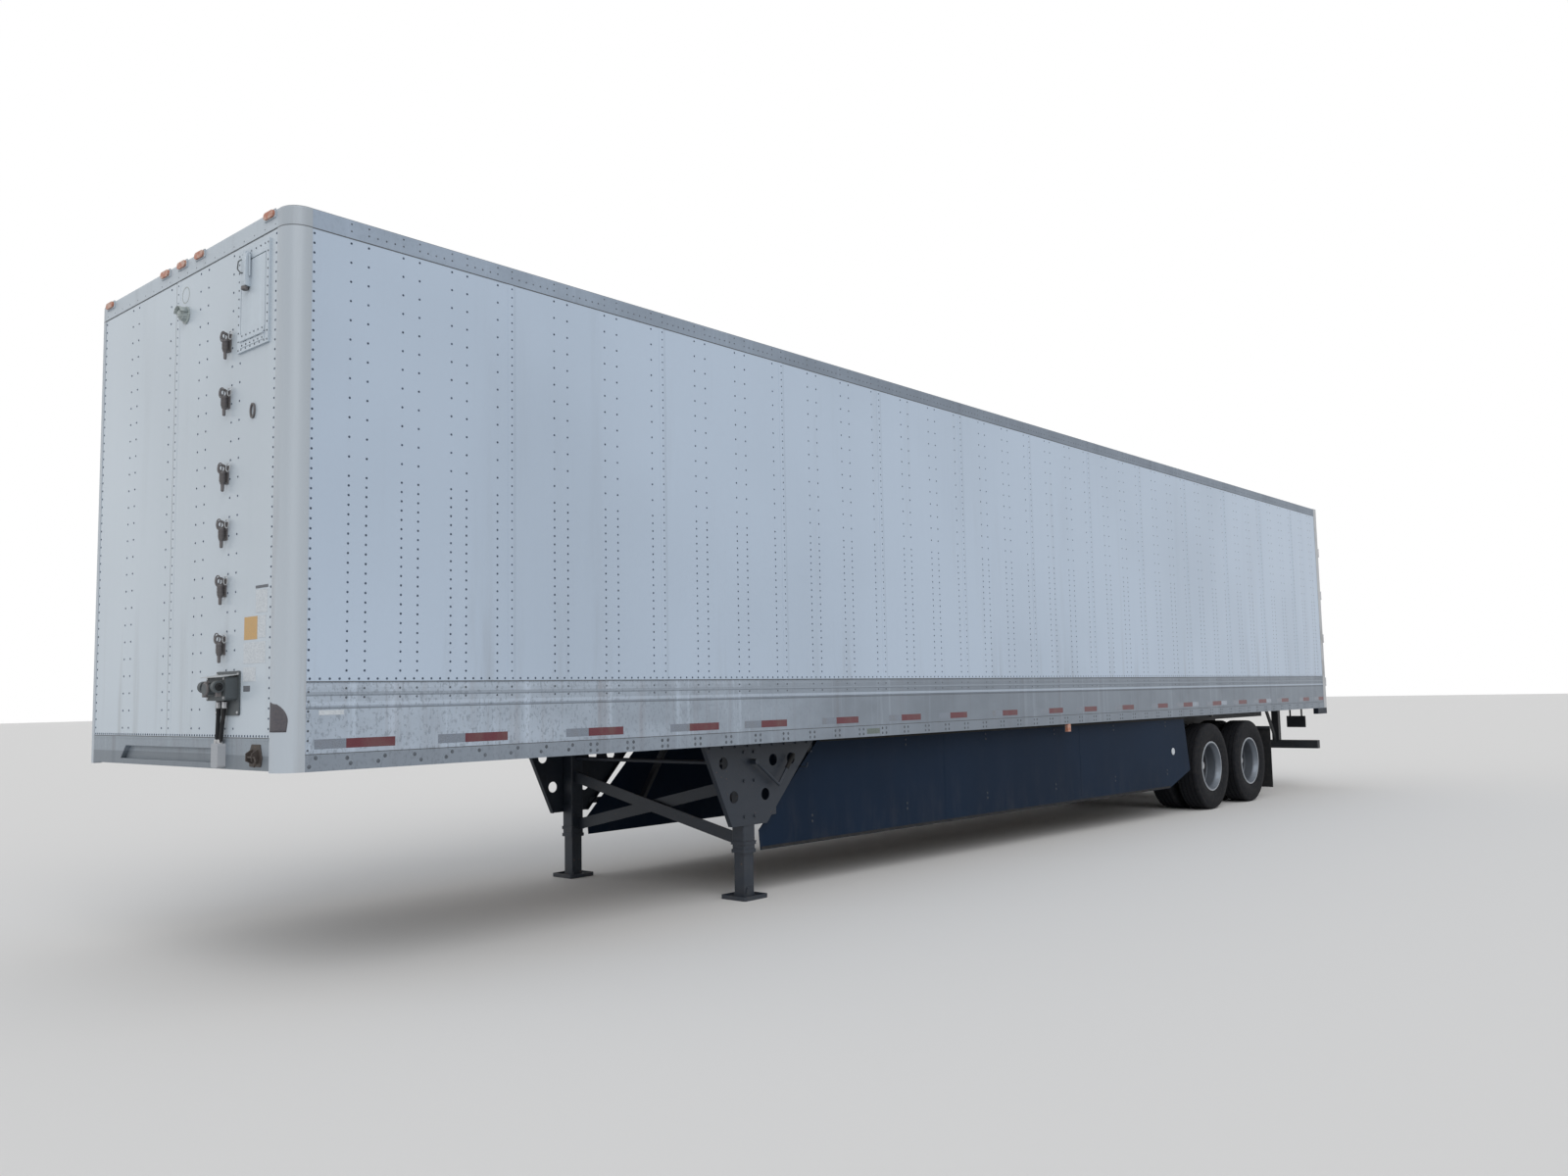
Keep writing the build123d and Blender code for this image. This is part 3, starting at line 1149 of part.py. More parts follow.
# Side skirts: flat panels that run outwards to the rear, hung below the body on struts
SKIRT_FRONT = 3884.0
SKIRT_REAR = 11045.0
SKIRT_BOTTOM = 331.0
SKIRT_SIDE_OUTLINE = (  # distance back from the nose, height
    (SKIRT_FRONT, SKIRT_BOTTOM),
    (SKIRT_FRONT - 16.0, 480.0),
    (SKIRT_FRONT + 676.0, SKIRT_TOP),
    (SKIRT_REAR, SKIRT_TOP),
    (SKIRT_REAR + 120.0, 510.0),
    (SKIRT_REAR - 425.0, SKIRT_BOTTOM),
)
skirt_turn = atan2(SKIRT_REAR_SIDE - SKIRT_FRONT_SIDE, SKIRT_REAR - SKIRT_FRONT)
skirt_plane = Plane(
    origin=(back(SKIRT_FRONT), SKIRT_FRONT_SIDE, 0),
    x_dir=(-cos(skirt_turn), sin(skirt_turn), 0),
    z_dir=(sin(skirt_turn), cos(skirt_turn), 0),
)
with BuildPart() as skirt:
    with BuildSketch(skirt_plane):
        with BuildLine():
            Polyline(*[((s - SKIRT_FRONT) / cos(skirt_turn), z) for s, z in SKIRT_SIDE_OUTLINE], close=True)
        make_face()
    extrude(amount=-SKIRT_THICKNESS)
keep_both("skirts", skirt.part)

STRUT_BEAMS = (8, 12, 16, 20, 24, 28)  # crossmembers that carry a strut, counted from the front
with BuildPart() as skirt_struts:
    for number in STRUT_BEAMS:
        strut_back = FIRST_BEAM + number * BEAM_PITCH
        strut_front = strut_back - STRUT_WIDTH / 2
        skirt_inner = SKIRT_FRONT_SIDE - SKIRT_THICKNESS / cos(skirt_turn)
        strut_side = skirt_inner + (strut_front - SKIRT_FRONT) * tan(skirt_turn) - SKIRT_SEAT
        for hand in (-1, 1):
            with BuildSketch(cross_plane(strut_back + STRUT_WIDTH / 2)):
                with BuildLine():
                    Polyline(
                        (hand * strut_side, 470.0),
                        (hand * strut_side, 560.0),
                        (hand * (strut_side - 400.0), BEAM_BOTTOM),
                        (hand * (strut_side - 460.0), BEAM_BOTTOM),
                        close=True,
                    )
                make_face()
                with BuildLine():
                    Polyline(
                        (hand * strut_side, SKIRT_TOP - 120.0),
                        (hand * strut_side, SKIRT_TOP),
                        (hand * (strut_side - 60.0), BEAM_BOTTOM),
                        (hand * (strut_side - 100.0), BEAM_BOTTOM),
                        close=True,
                    )
                make_face()
            extrude(amount=STRUT_WIDTH)
keep("skirt_struts", skirt_struts.part)

# Landing gear: outer legs, inner rams with their feet, wing plates, braces and crank
GEAR_HEIGHT = 985.0
RAM_CLEARANCE = 0.3
RAM_OVERLAP = 300.0  # how far the ram reaches up inside its leg
EAR_THICKNESS = 8.0  # ears that hold the ram in its foot
EAR_FOOT = 50.0
EAR_HEAD = 30.0
EAR_TOP = 85.0
with BuildPart() as landing_leg:
    with BuildSketch(Plane.XY.offset(LEG_BOTTOM)):
        with Locations((back(LEG_BACK), LEG_SIDE)):
            RectangleRounded(LEG_WIDTH, LEG_WIDTH, 10.0)
            leg_bore = RAM_WIDTH + 2 * RAM_CLEARANCE
            RectangleRounded(leg_bore, leg_bore, 6.0, mode=Mode.SUBTRACT)
    extrude(amount=BEAM_BOTTOM - LEG_BOTTOM)
    with BuildSketch(Plane.XY.offset(LEG_BOTTOM)):
        with Locations((back(LEG_BACK), LEG_SIDE)):
            collar_width = LEG_WIDTH + 2 * LEG_COLLAR
            RectangleRounded(collar_width, collar_width, 10.0)
            RectangleRounded(leg_bore, leg_bore, 6.0, mode=Mode.SUBTRACT)
    extrude(amount=LEG_COLLAR_HEIGHT)
keep_both("landing_legs", landing_leg.part)

with BuildPart() as landing_ram:
    with BuildSketch():
        with Locations((back(LEG_BACK), LEG_SIDE)):
            RectangleRounded(FOOT_WIDTH, FOOT_WIDTH, 20.0)
    extrude(amount=FOOT_THICKNESS)
    with BuildSketch(Plane.XY.offset(FOOT_THICKNESS)):
        with Locations((back(LEG_BACK), LEG_SIDE)):
            RectangleRounded(RAM_WIDTH, RAM_WIDTH, 6.0)
    extrude(amount=LEG_BOTTOM + RAM_OVERLAP)
    with BuildSketch(Plane.XY.offset(FOOT_THICKNESS)):
        with Locations((back(LEG_BACK), LEG_SIDE)):
            RectangleRounded(FOOT_WIDTH, FOOT_WIDTH, 20.0)
            foot_inner = FOOT_WIDTH - 2 * FOOT_RIM_THICKNESS
            RectangleRounded(foot_inner, foot_inner, 12.0, mode=Mode.SUBTRACT)
    extrude(amount=FOOT_RIM)
    for ear_side in (-1, 1):
        with BuildSketch(side_plane(LEG_SIDE + ear_side * (RAM_WIDTH + EAR_THICKNESS) / 2 - EAR_THICKNESS / 2)):
            with BuildLine():
                Polyline(
                    (LEG_BACK - EAR_FOOT, FOOT_THICKNESS),
                    (LEG_BACK + EAR_FOOT, FOOT_THICKNESS),
                    (LEG_BACK + EAR_HEAD, EAR_TOP),
                    (LEG_BACK - EAR_HEAD, EAR_TOP),
                    close=True,
                )
            make_face()
        extrude(amount=EAR_THICKNESS)
keep_both("landing_rams", landing_ram.part)

GUSSET_OUTLINE = ((3523.0, 535.0), (3900.0, 535.0), (4484.0, BEAM_BOTTOM), (3233.0, BEAM_BOTTOM))
GUSSET_HOLES = ((3440.0, 1000.0), (3980.0, 1000.0), (4184.0, 1000.0), (3545.0, 750.0), (3887.0, 750.0))
BRACKET_LEVEL = 612.0  # of the bracket from the wing plate's foot to the skirt's front edge
BRACKET_HEIGHT = 50.0
BRACKET_THICKNESS = 6.0
BRACKET_LAP = 40.0  # how far a bracket laps the plate and the skirt
gusset_inner = LEG_SIDE + LEG_WIDTH / 2
(edge_foot, edge_low), (edge_head, edge_high) = GUSSET_OUTLINE[1:3]


def skirt_face(s):
    """Y of the left skirt's outer face at a distance back from the nose."""
    return SKIRT_FRONT_SIDE + (s - SKIRT_FRONT) * tan(skirt_turn)


with BuildPart() as wing_plate:
    with BuildSketch(side_plane(LEG_SIDE + LEG_WIDTH / 2)):
        with BuildLine():
            Polyline(*GUSSET_OUTLINE, close=True)
        make_face()
        with Locations(*GUSSET_HOLES):
            Circle(GUSSET_HOLE_RADIUS, mode=Mode.SUBTRACT)
    extrude(amount=GUSSET_THICKNESS)
    for foot, head, inwards in ((GUSSET_OUTLINE[0], GUSSET_OUTLINE[3], 1), (GUSSET_OUTLINE[1], GUSSET_OUTLINE[2], -1)):
        with BuildSketch(side_plane(gusset_inner - GUSSET_EDGE)):
            with BuildLine():
                Polyline(
                    foot,
                    head,
                    (head[0] + inwards * GUSSET_THICKNESS, head[1]),
                    (foot[0] + inwards * GUSSET_THICKNESS, foot[1]),
                    close=True,
                )
            make_face()
        extrude(amount=GUSSET_EDGE)
    edge_back = edge_foot + (edge_head - edge_foot) * (BRACKET_LEVEL - edge_low) / (edge_high - edge_low)
    lap_end = edge_back + 2 * BRACKET_LAP
    with BuildSketch(Plane.XY.offset(BRACKET_LEVEL - BRACKET_HEIGHT / 2)):
        with BuildLine():
            Polyline(
                (back(edge_back - BRACKET_LAP), gusset_inner),
                (back(edge_back - BRACKET_LAP), gusset_inner - BRACKET_THICKNESS),
                (back(lap_end), skirt_face(lap_end) + SKIRT_SEAT),
                (back(lap_end), skirt_face(lap_end) + SKIRT_SEAT + BRACKET_THICKNESS),
                close=True,
            )
        make_face()
    extrude(amount=BRACKET_HEIGHT)
keep_both("wing_plates", wing_plate.part)

BRACE_LOW = 435.0
BRACE_HIGH = 830.0
GEARBOX_HALF = 75.0
GEARBOX_DOWN = 85.0
GEARBOX_UP = 90.0
GEARBOX_DEPTH = 75.0
GEARBOX_COVER = 12.0
brace_end = LEG_SIDE - LEG_WIDTH / 2
with BuildPart() as leg_braces:
    for hand in (-1, 1):
        with BuildSketch(cross_plane(LEG_BACK - hand * 12.0)):
            with BuildLine():
                Polyline(
                    (-hand * brace_end, BRACE_HIGH - 45.0),
                    (-hand * brace_end, BRACE_HIGH + 45.0),
                    (hand * brace_end, BRACE_LOW + 45.0),
                    (hand * brace_end, BRACE_LOW - 45.0),
                    close=True,
                )
            make_face()
        extrude(amount=hand * 12.0)
    add(rod((back(LEG_BACK), -brace_end, GEAR_HEIGHT), (back(LEG_BACK), brace_end, GEAR_HEIGHT), 16.0))
    for inset, thickness in ((0.0, GEARBOX_DEPTH), (GEARBOX_COVER, GEARBOX_DEPTH + GEARBOX_COVER)):
        with BuildSketch(side_plane(brace_end - thickness)):
            with BuildLine():
                Polyline(
                    (LEG_BACK + GEARBOX_HALF - inset, GEAR_HEIGHT - GEARBOX_DOWN + inset),
                    (LEG_BACK - GEARBOX_HALF + 25.0, GEAR_HEIGHT - GEARBOX_DOWN + inset),
                    (LEG_BACK - GEARBOX_HALF + inset, GEAR_HEIGHT - GEARBOX_DOWN + 30.0),
                    (LEG_BACK - GEARBOX_HALF + inset, GEAR_HEIGHT + GEARBOX_UP - 35.0),
                    (LEG_BACK - GEARBOX_HALF + 30.0, GEAR_HEIGHT + GEARBOX_UP - inset),
                    (LEG_BACK + GEARBOX_HALF - inset, GEAR_HEIGHT + GEARBOX_UP - inset),
                    close=True,
                )
            make_face()
        extrude(amount=thickness)
keep("leg_braces", leg_braces.part)

# Landing gear crank, folded back and hung on its hook
CRANK_RADIUS = 12.0
CRANK_SIDE = LEG_SIDE + LEG_WIDTH / 2 + GUSSET_THICKNESS
CRANK_POINTS = ((3735.0, 1000.0), (3985.0, 815.0), (4160.0, 1035.0))  # distance back, height
with BuildPart() as crank:
    add(rod((back(3735.0), CRANK_SIDE, 1000.0), (back(3735.0), CRANK_SIDE + 62.0, 1000.0), 20.0))
    for first, last in zip(CRANK_POINTS, CRANK_POINTS[1:]):
        add(
            rod(
                (back(first[0]), CRANK_SIDE + 50.0, first[1]),
                (back(last[0]), CRANK_SIDE + 50.0, last[1]),
                CRANK_RADIUS,
            )
        )
    with Locations((back(CRANK_POINTS[1][0]), CRANK_SIDE + 50.0, CRANK_POINTS[1][1])):
        Sphere(CRANK_RADIUS)
keep("landing_crank", crank.part)

for name, piece in pieces.items():
    piece.label = name
    export_step(piece, f"parts/{name}.step")
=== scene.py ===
"""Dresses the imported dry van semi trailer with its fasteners, fittings, tyres, finishes and stage."""

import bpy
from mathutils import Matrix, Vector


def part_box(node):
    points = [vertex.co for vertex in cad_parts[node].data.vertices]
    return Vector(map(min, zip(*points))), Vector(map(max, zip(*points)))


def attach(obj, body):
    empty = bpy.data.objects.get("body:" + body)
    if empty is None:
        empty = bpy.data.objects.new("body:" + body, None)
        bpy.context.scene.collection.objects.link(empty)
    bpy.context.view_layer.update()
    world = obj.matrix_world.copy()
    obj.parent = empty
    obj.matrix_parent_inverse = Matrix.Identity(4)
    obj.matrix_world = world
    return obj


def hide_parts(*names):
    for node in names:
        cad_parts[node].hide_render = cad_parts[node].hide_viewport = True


bl_info = {
    "name": "Semi Trailer Dressing",
    "version": (1, 0, 0),
    "blender": (4, 5, 0),
    "location": "View3D > Sidebar > Trailer",
    "description": "Adds the fittings, fasteners and finishes of a dry van semi trailer to its packed model",
    "category": "Object",
}

from math import atan2, cos, pi, radians, sin, tau

import bmesh
import bpy
from bpy.props import FloatProperty, FloatVectorProperty, IntProperty, PointerProperty
from mathutils import Matrix, Vector

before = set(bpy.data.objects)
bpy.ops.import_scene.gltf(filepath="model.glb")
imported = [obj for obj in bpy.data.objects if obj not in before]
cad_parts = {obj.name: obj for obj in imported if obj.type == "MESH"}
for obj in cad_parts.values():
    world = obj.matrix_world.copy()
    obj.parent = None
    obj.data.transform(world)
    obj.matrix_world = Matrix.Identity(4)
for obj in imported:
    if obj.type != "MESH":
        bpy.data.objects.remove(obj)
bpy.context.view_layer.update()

# Places on the trailer, in metres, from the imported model. A distance back is counted from the nose.
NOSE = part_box("nose_sill")[1].x
HALF_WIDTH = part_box("rear_frame")[1].y
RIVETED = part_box("top_rails")[1].y
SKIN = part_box("side_wall_left")[1].y
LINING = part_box("side_wall_left")[0].y
RAIL_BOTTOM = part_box("bottom_rails")[0].z
RAIL_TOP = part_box("bottom_rails")[1].z
WALL_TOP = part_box("side_wall_left")[1].z
ROOF_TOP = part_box("top_rails")[1].z
WALL_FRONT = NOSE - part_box("side_wall_left")[1].x
WALL_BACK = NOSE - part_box("side_wall_left")[0].x
PANEL_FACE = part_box("nose_wall")[1].x
PANEL_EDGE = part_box("nose_wall")[1].y
APRON_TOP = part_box("nose_wall")[0].z
DOOR_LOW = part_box("rear_door_left")[0]
TAIL = DOOR_LOW.x
FLOOR_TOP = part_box("floor")[1].z
LAP_TOP = RAIL_BOTTOM + 0.085
TYRE_LOW, TYRE_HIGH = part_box("tyres_front_left")
TYRE_RADIUS = (TYRE_HIGH.z - TYRE_LOW.z) / 2
AXLE_HEIGHT = (TYRE_HIGH.z + TYRE_LOW.z) / 2
HALF_TRACK = (TYRE_HIGH.y + TYRE_LOW.y) / 2
AXLES = {
    place: NOSE - sum(corner.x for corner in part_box(f"tyres_{place}_left")) / 2
    for place in ("front", "rear")
}

FIRST_BEAM, LAST_BEAM, BEAM_PITCH = 2.030, 15.755, 0.305  # the crossmembers, counted back
SPRING_SIDE = 0.483  # middle of a leaf spring
LEG_BACK, LEG_SIDE, LEG_HALF = 3.710, 0.988, 0.061  # landing legs

HANDS = ((1, "left"), (-1, "right"))
FORWARD, REARWARD = (1, 0, 0), (-1, 0, 0)
UP, DOWN = (0, 0, 1), (0, 0, -1)
SUNK = 0.0002  # how far a thin flat piece reaches into what it lies on


def colour(name, description, red, green, blue):
    """Colour property whose default is given as 0 to 255 screen values."""
    linear = []
    for value in (red, green, blue):
        share = value / 255
        linear.append(share / 12.92 if share <= 0.04045 else ((share + 0.055) / 1.055) ** 2.4)
    choices = {"subtype": "COLOR", "min": 0, "max": 1, "default": linear}
    return FloatVectorProperty(name=name, description=description, **choices)


def length(name, description, default):
    """Length property in metres."""
    choices = {"default": default, "min": 0, "unit": "LENGTH", "precision": 4}
    return FloatProperty(name=name, description=description, **choices)


def whole(name, description, default, lowest, highest):
    """Whole number property between two limits."""
    return IntProperty(name=name, description=description, default=default, min=lowest, max=highest)


def strength(name, description, default):
    """Strength property of a light."""
    return FloatProperty(name=name, description=description, default=default, min=0)


class TrailerColours(bpy.types.PropertyGroup):
    """Colours of the trailer's surfaces"""

    # The side sheet's colour is the white paint toned blue-grey and a little darker than the nose: painted
    # shade of the side in the open shade.
    sheet: colour("Side Sheet", "White paint of the side sheets", 178, 193, 211)
    # The nose sheet's colour is the white paint toned blue-grey: painted shade from the open sky.
    nose: colour("Nose Sheet", "White paint of the nose wall", 184, 195, 205)
    lining: colour("Lining", "Panels inside the load space", 205, 203, 196)
    rail: colour("Bottom Rail", "Weathered aluminium of the bottom rails", 146, 157, 170)
    post: colour("Corner Post", "Weathered aluminium of the nose corners", 174, 183, 192)
    top_rail: colour("Top Rail", "Dull aluminium of the top rails", 140, 153, 169)
    sill: colour("Nose Sill", "Grey sill below the nose wall", 138, 148, 158)
    chassis: colour("Chassis Paint", "Black paint of the steel below the floor", 27, 32, 39)
    gear: colour("Landing Gear Paint", "Dark paint of the wing plates", 30, 39, 51)
    skirt: colour("Skirt", "Navy composite of the side skirts", 14, 33, 54)
    tyre: colour("Tyre", "Worn black rubber", 11, 16, 24)
    dust: colour("Road Dust", "Dust that lies on everything low down", 112, 106, 98)
    rust: colour("Rust", "Brown streaks on posts and springs", 110, 82, 62)
    tape_red: colour("Red Tape", "Reflective red tape", 94, 25, 42)
    tape_white: colour("White Tape", "Reflective white tape, dulled", 148, 160, 176)
    tape_dull: colour("Dull Tape", "White tape on the rails, greyed by dirt", 122, 132, 146)
    # The rivets' tone is darker than the sheet: partly dirt and partly painted shade round each head.
    rivet: colour("Rivet", "Rivet heads in the side sheets", 70, 84, 104)


class ShellSizes(bpy.types.PropertyGroup):
    """Sizes of what is fastened to the body's shell"""

    rivet_radius: length("Rivet Radius", "Radius of a rivet head in the sheets", 0.0068)
    rivet_height: length("Rivet Height", "How far a rivet head stands proud", 0.0018)
    rivet_pitch: length("Rivet Pitch", "Spacing in a seam and in the lower part of each post", 0.0525)
    post_pitch: length("Post Pitch", "Spacing of the wall posts along the side", 0.411)
    post_pair: length("Post Pair", "Spacing of the two rivet columns on a post", 0.104)
    lap_width: length("Lap Width", "Width of the strip where two sheets overlap", 0.06)
    lap_height: length("Lap Height", "Thickness of that strip", 0.0009)
    tape_height: length("Tape Height", "Height of the reflective tape", 0.05)
    tape_thickness: length("Tape Thickness", "Thickness of the reflective tape", 0.0006)


class RunningSizes(bpy.types.PropertyGroup):
    """Sizes of tyres and wheel fittings"""

    tread_depth: length("Tread Depth", "Depth of the tyres' grooves", 0.011)
    groove_width: length("Groove Width", "Width of each groove round the tyre", 0.009)
    tyre_steps: whole("Tyre Steps", "Divisions round a tyre", 96, 24, 256)
    nut_radius: length("Nut Radius", "Radius of a wheel nut over its corners", 0.0195)
    nut_height: length("Nut Height", "Height of a wheel nut", 0.022)
    nut_circle: length("Nut Circle", "Radius of the circle of wheel nuts", 0.1429)
    nuts: whole("Wheel Nuts", "Number of nuts on a wheel", 10, 4, 24)


class StageSizes(bpy.types.PropertyGroup):
    """Camera, floor and light"""

    lens: FloatProperty(name="Lens", description="Focal length on a 36 mm wide frame", default=28.11, min=5)
    floor_size: length("Floor Size", "Half the floor's width", 140.0)
    sky: strength("Sky", "Strength of the even light from all round", 0.62)
    key: strength("Key", "Strength of the broad key lamp", 1.15)
    fill: strength("Fill", "Strength of the opposite fill lamp", 0.35)


def at(back):
    """X of a place this far behind the nose face."""
    return NOSE - back


def steps(low, high, pitch):
    """Evenly spaced values from low to high, both included, about pitch apart."""
    count = max(1, round((high - low) / pitch))
    return [low + (high - low) * index / count for index in range(count + 1)]


def shade(tone, share):
    """The tone, darker where share is under 1 and brighter above it."""
    return tuple(min(1, share * part) for part in tone)


def add_node(tree, kind, choices=None, sockets=None):
    """Adds a node, sets its choices, then the values or links of its inputs, and gives its outputs."""
    made = tree.nodes.new(kind)
    for name, value in (choices or {}).items():
        setattr(made, name, value)
    for key, value in (sockets or {}).items():
        if isinstance(value, bpy.types.NodeSocket):
            tree.links.new(value, made.inputs[key])
        else:
            made.inputs[key].default_value = value
    return made.outputs


# Finishes: shader maths as plain expressions


class Signal:
    """A shader socket that can be used in expressions: each operator adds the Math node it names."""

    def __init__(self, finish, socket):
        self.finish = finish
        self.socket = socket

    def maths(self, operation, *others):
        """Math node on this signal and the values after it."""
        return self.finish.node("ShaderNodeMath", {"operation": operation}, dict(enumerate((self, *others))))

    def __add__(self, other):
        return self.maths("ADD", other)

    __radd__ = __add__

    def __sub__(self, other):
        return self.maths("SUBTRACT", other)

    def __rsub__(self, other):
        return self.finish.node("ShaderNodeMath", {"operation": "SUBTRACT"}, {0: other, 1: self})

    def __mul__(self, other):
        return self.maths("MULTIPLY", other)

    __rmul__ = __mul__

    def __truediv__(self, other):
        return self.maths("DIVIDE", other)

    def __abs__(self):
        return self.maths("ABSOLUTE")


class Finish:
    """One material: a Principled shader, with constants on its own sockets and nodes for what varies."""

    def __init__(self, name, constants):
        if name in bpy.data.materials:
            raise ValueError(f"there is already a finish called {name}")
        self.tints = bpy.context.scene.trailer_colours
        self.material = bpy.data.materials.new(name)
        self.material.use_nodes = True
        self.tree = self.material.node_tree
        self.shader = self.tree.nodes["Principled BSDF"]
        for socket, value in constants.items():
            self.shader.inputs[socket].default_value = value

    def node(self, kind, choices=None, sockets=None, output=0):
        """Adds a node to the material and gives its output."""
        plain = {}
        for key, value in (sockets or {}).items():
            plain[key] = value.socket if isinstance(value, Signal) else value
        return Signal(self, add_node(self.tree, kind, choices, plain)[output])

    def spot(self, stretch=(1, 1, 1), space="Object"):
        """Coordinates of the point, stretched."""
        point = self.node("ShaderNodeTexCoord", output=space)
        return self.node("ShaderNodeMapping", None, {"Vector": point, "Scale": stretch})

    def axes(self, space="Object"):
        """The point's x, y and z, or u and v."""
        outputs = add_node(self.tree, "ShaderNodeSeparateXYZ", None, {0: self.spot(space=space).socket})
        return [Signal(self, output) for output in outputs]

    def noise(self, scale, stretch=(1, 1, 1), detail=3.0, roughness=0.5):
        sockets = {"Vector": self.spot(stretch), "Scale": scale, "Detail": detail, "Roughness": roughness}
        return self.node("ShaderNodeTexNoise", None, sockets)

    def cells(self, scale):
        return self.node("ShaderNodeTexVoronoi", None, {"Vector": self.spot(), "Scale": scale})

    def fade(self, value, low, high):
        """0 below low and 1 above high, or the other way round where low is the higher."""
        choices = {"interpolation_type": "SMOOTHSTEP"} if low < high else {}
        return self.node("ShaderNodeMapRange", choices, {"Value": value, "From Min": low, "From Max": high})

    def band(self, value, low, high):
        """1 between low and high, with soft edges a millimetre wide."""
        return self.fade(value, low - 0.001, low) * self.fade(value, high + 0.001, high)

    def upward(self):
        """How far the surface faces up, from -1 to 1."""
        normal = self.node("ShaderNodeNewGeometry", output="Normal")
        return self.node("ShaderNodeSeparateXYZ", None, {0: normal}, output=2)

    def mix(self, first, second, share):
        """The first colour where share is 0 and the second where it is 1."""
        sockets = {0: share}
        for key, value in ((6, first), (7, second)):
            sockets[key] = value if isinstance(value, Signal) else (*value[:3], 1)
        return self.node("ShaderNodeMix", {"data_type": "RGBA"}, sockets, output=2)

    def feed(self, socket, value):
        self.tree.links.new(value.socket, self.shader.inputs[socket])

    def surface(self, tone, roughness=None, relief=None, depth=0.0):
        """Feeds the colour, the roughness and a relief of this depth, where they are given."""
        self.feed("Base Color", tone)
        if roughness:
            self.feed("Roughness", roughness)
        if relief:
            sockets = {"Height": relief, "Distance": depth, "Strength": 1.0}
            self.feed("Normal", self.node("ShaderNodeBump", None, sockets))


def painted_sheet(name, tone, outer_axis, outer_limit):
    """Glossy white sheet, dull towards the rail, with the lining on its inner side."""
    finish = Finish(name, {"Coat Roughness": 0.18, "Specular IOR Level": 0.28})
    axes = finish.axes()
    outside = finish.fade(abs(axes[outer_axis]), outer_limit - 0.02, outer_limit - 0.015)
    streaks = finish.noise(5.0, (1, 1, 0.07), 5.0, 0.6)
    clouds = finish.noise(0.55, (1, 1, 0.8), 2.0)
    low = finish.fade(axes[2], 2.2, 1.55)
    grime = finish.fade(streaks, 0.52, 0.8) * (0.10 + 0.35 * low)
    worn = finish.mix(tone, finish.tints.dust, grime)
    shaded = finish.mix(worn, shade(tone, 0.80), finish.fade(clouds, 0.35, 0.75) * 0.5)
    panel = finish.noise(1.5, (1.4, 1.4, 0.16), 1.5)
    quilt = finish.noise(6.5, (1, 1, 0.05), 2.0)
    dents = finish.noise(7.0, (1, 1, 0.5), 2.0)
    relief = panel + 0.14 * quilt + 0.05 * dents
    lined = finish.mix(finish.tints.lining, shaded, outside)
    finish.surface(lined, 0.36 + 0.35 * grime + 0.15 * (1 - outside), relief, 0.010)
    finish.feed("Coat Weight", outside * 0.12)


# Heights of the lines painted along the bottom rail: painted shade in the groove, a painted highlight above
# it, and painted shade that dims the bead's highlight
GROOVE = (1.461, 1.468)
HIGHLIGHT_BAND = (1.480, 1.498)
BEAD = (1.528, 1.548)


def weathered_rail(name, tone, streak_share, metallic, front_wear=1.0, paler=1.0, duller=1.0):
    """Aluminium extrusion: runs of dirt and bright scrapes down it, paler and speckled towards the nose, with
    a painted highlight and painted shade along its lines and painted shadow under the roof's edge.
    """
    finish = Finish(name, {"Metallic": metallic})
    x, _, z = finish.axes()
    near = finish.fade(x, NOSE - 6.0, NOSE - 0.8)
    front = near * front_wear
    runs = finish.fade(finish.noise(9.0, (1, 1, 0.04), 5.0, 0.65), 0.50, 0.76)
    scrapes = finish.fade(finish.noise(15.0, (1, 1, 0.05), 4.0, 0.6), 0.54, 0.70)
    clouds = finish.noise(1.6, (1, 1, 1.5), 4.0, 0.6)
    speckle = finish.fade(finish.noise(70.0, (1, 1, 0.6), 3.0, 0.6), 0.52, 0.64)
    patches = finish.fade(clouds, 0.35, 0.70) * 0.6 * (1 - 0.5 * near)
    layers = (
        (shade(tone, paler), near),
        (shade(tone, 0.80 * duller), patches),
        (finish.tints.rust, runs * (0.35 + 0.65 * front) * streak_share),
        (shade(tone, 1.45 * paler), scrapes * (0.08 + 0.27 * front)),
        # Painted highlight along the slope above the groove
        (shade(tone, 1.5 * paler), finish.band(z, *HIGHLIGHT_BAND) * (0.40 - 0.20 * near)),
        # Painted shade on the bead, dimming its highlight
        (shade(tone, 0.80), finish.band(z, *BEAD) * 0.8),
        # Painted shade in the groove
        (shade(tone, 0.30), finish.band(z, *GROOVE) * 0.7),
        (shade(tone, 0.62), finish.fade(z, LAP_TOP + 0.001, LAP_TOP) * near * 0.8),
        # Painted shadow of the roof's edge along the top rail's top
        (shade(tone, 0.25), finish.fade(z, ROOF_TOP - 0.010, ROOF_TOP - 0.006) * 0.7),
        (shade(tone, 0.50), speckle * front * 0.45),
    )
    worn = shade(tone, duller)
    for layer, share in layers:
        worn = finish.mix(worn, layer, share)
    relief = finish.noise(160.0, (0.06, 0.06, 1), 2.0) + 0.4 * scrapes
    finish.surface(worn, 0.44 + 0.10 * clouds + 0.12 * runs, relief, 0.0004)


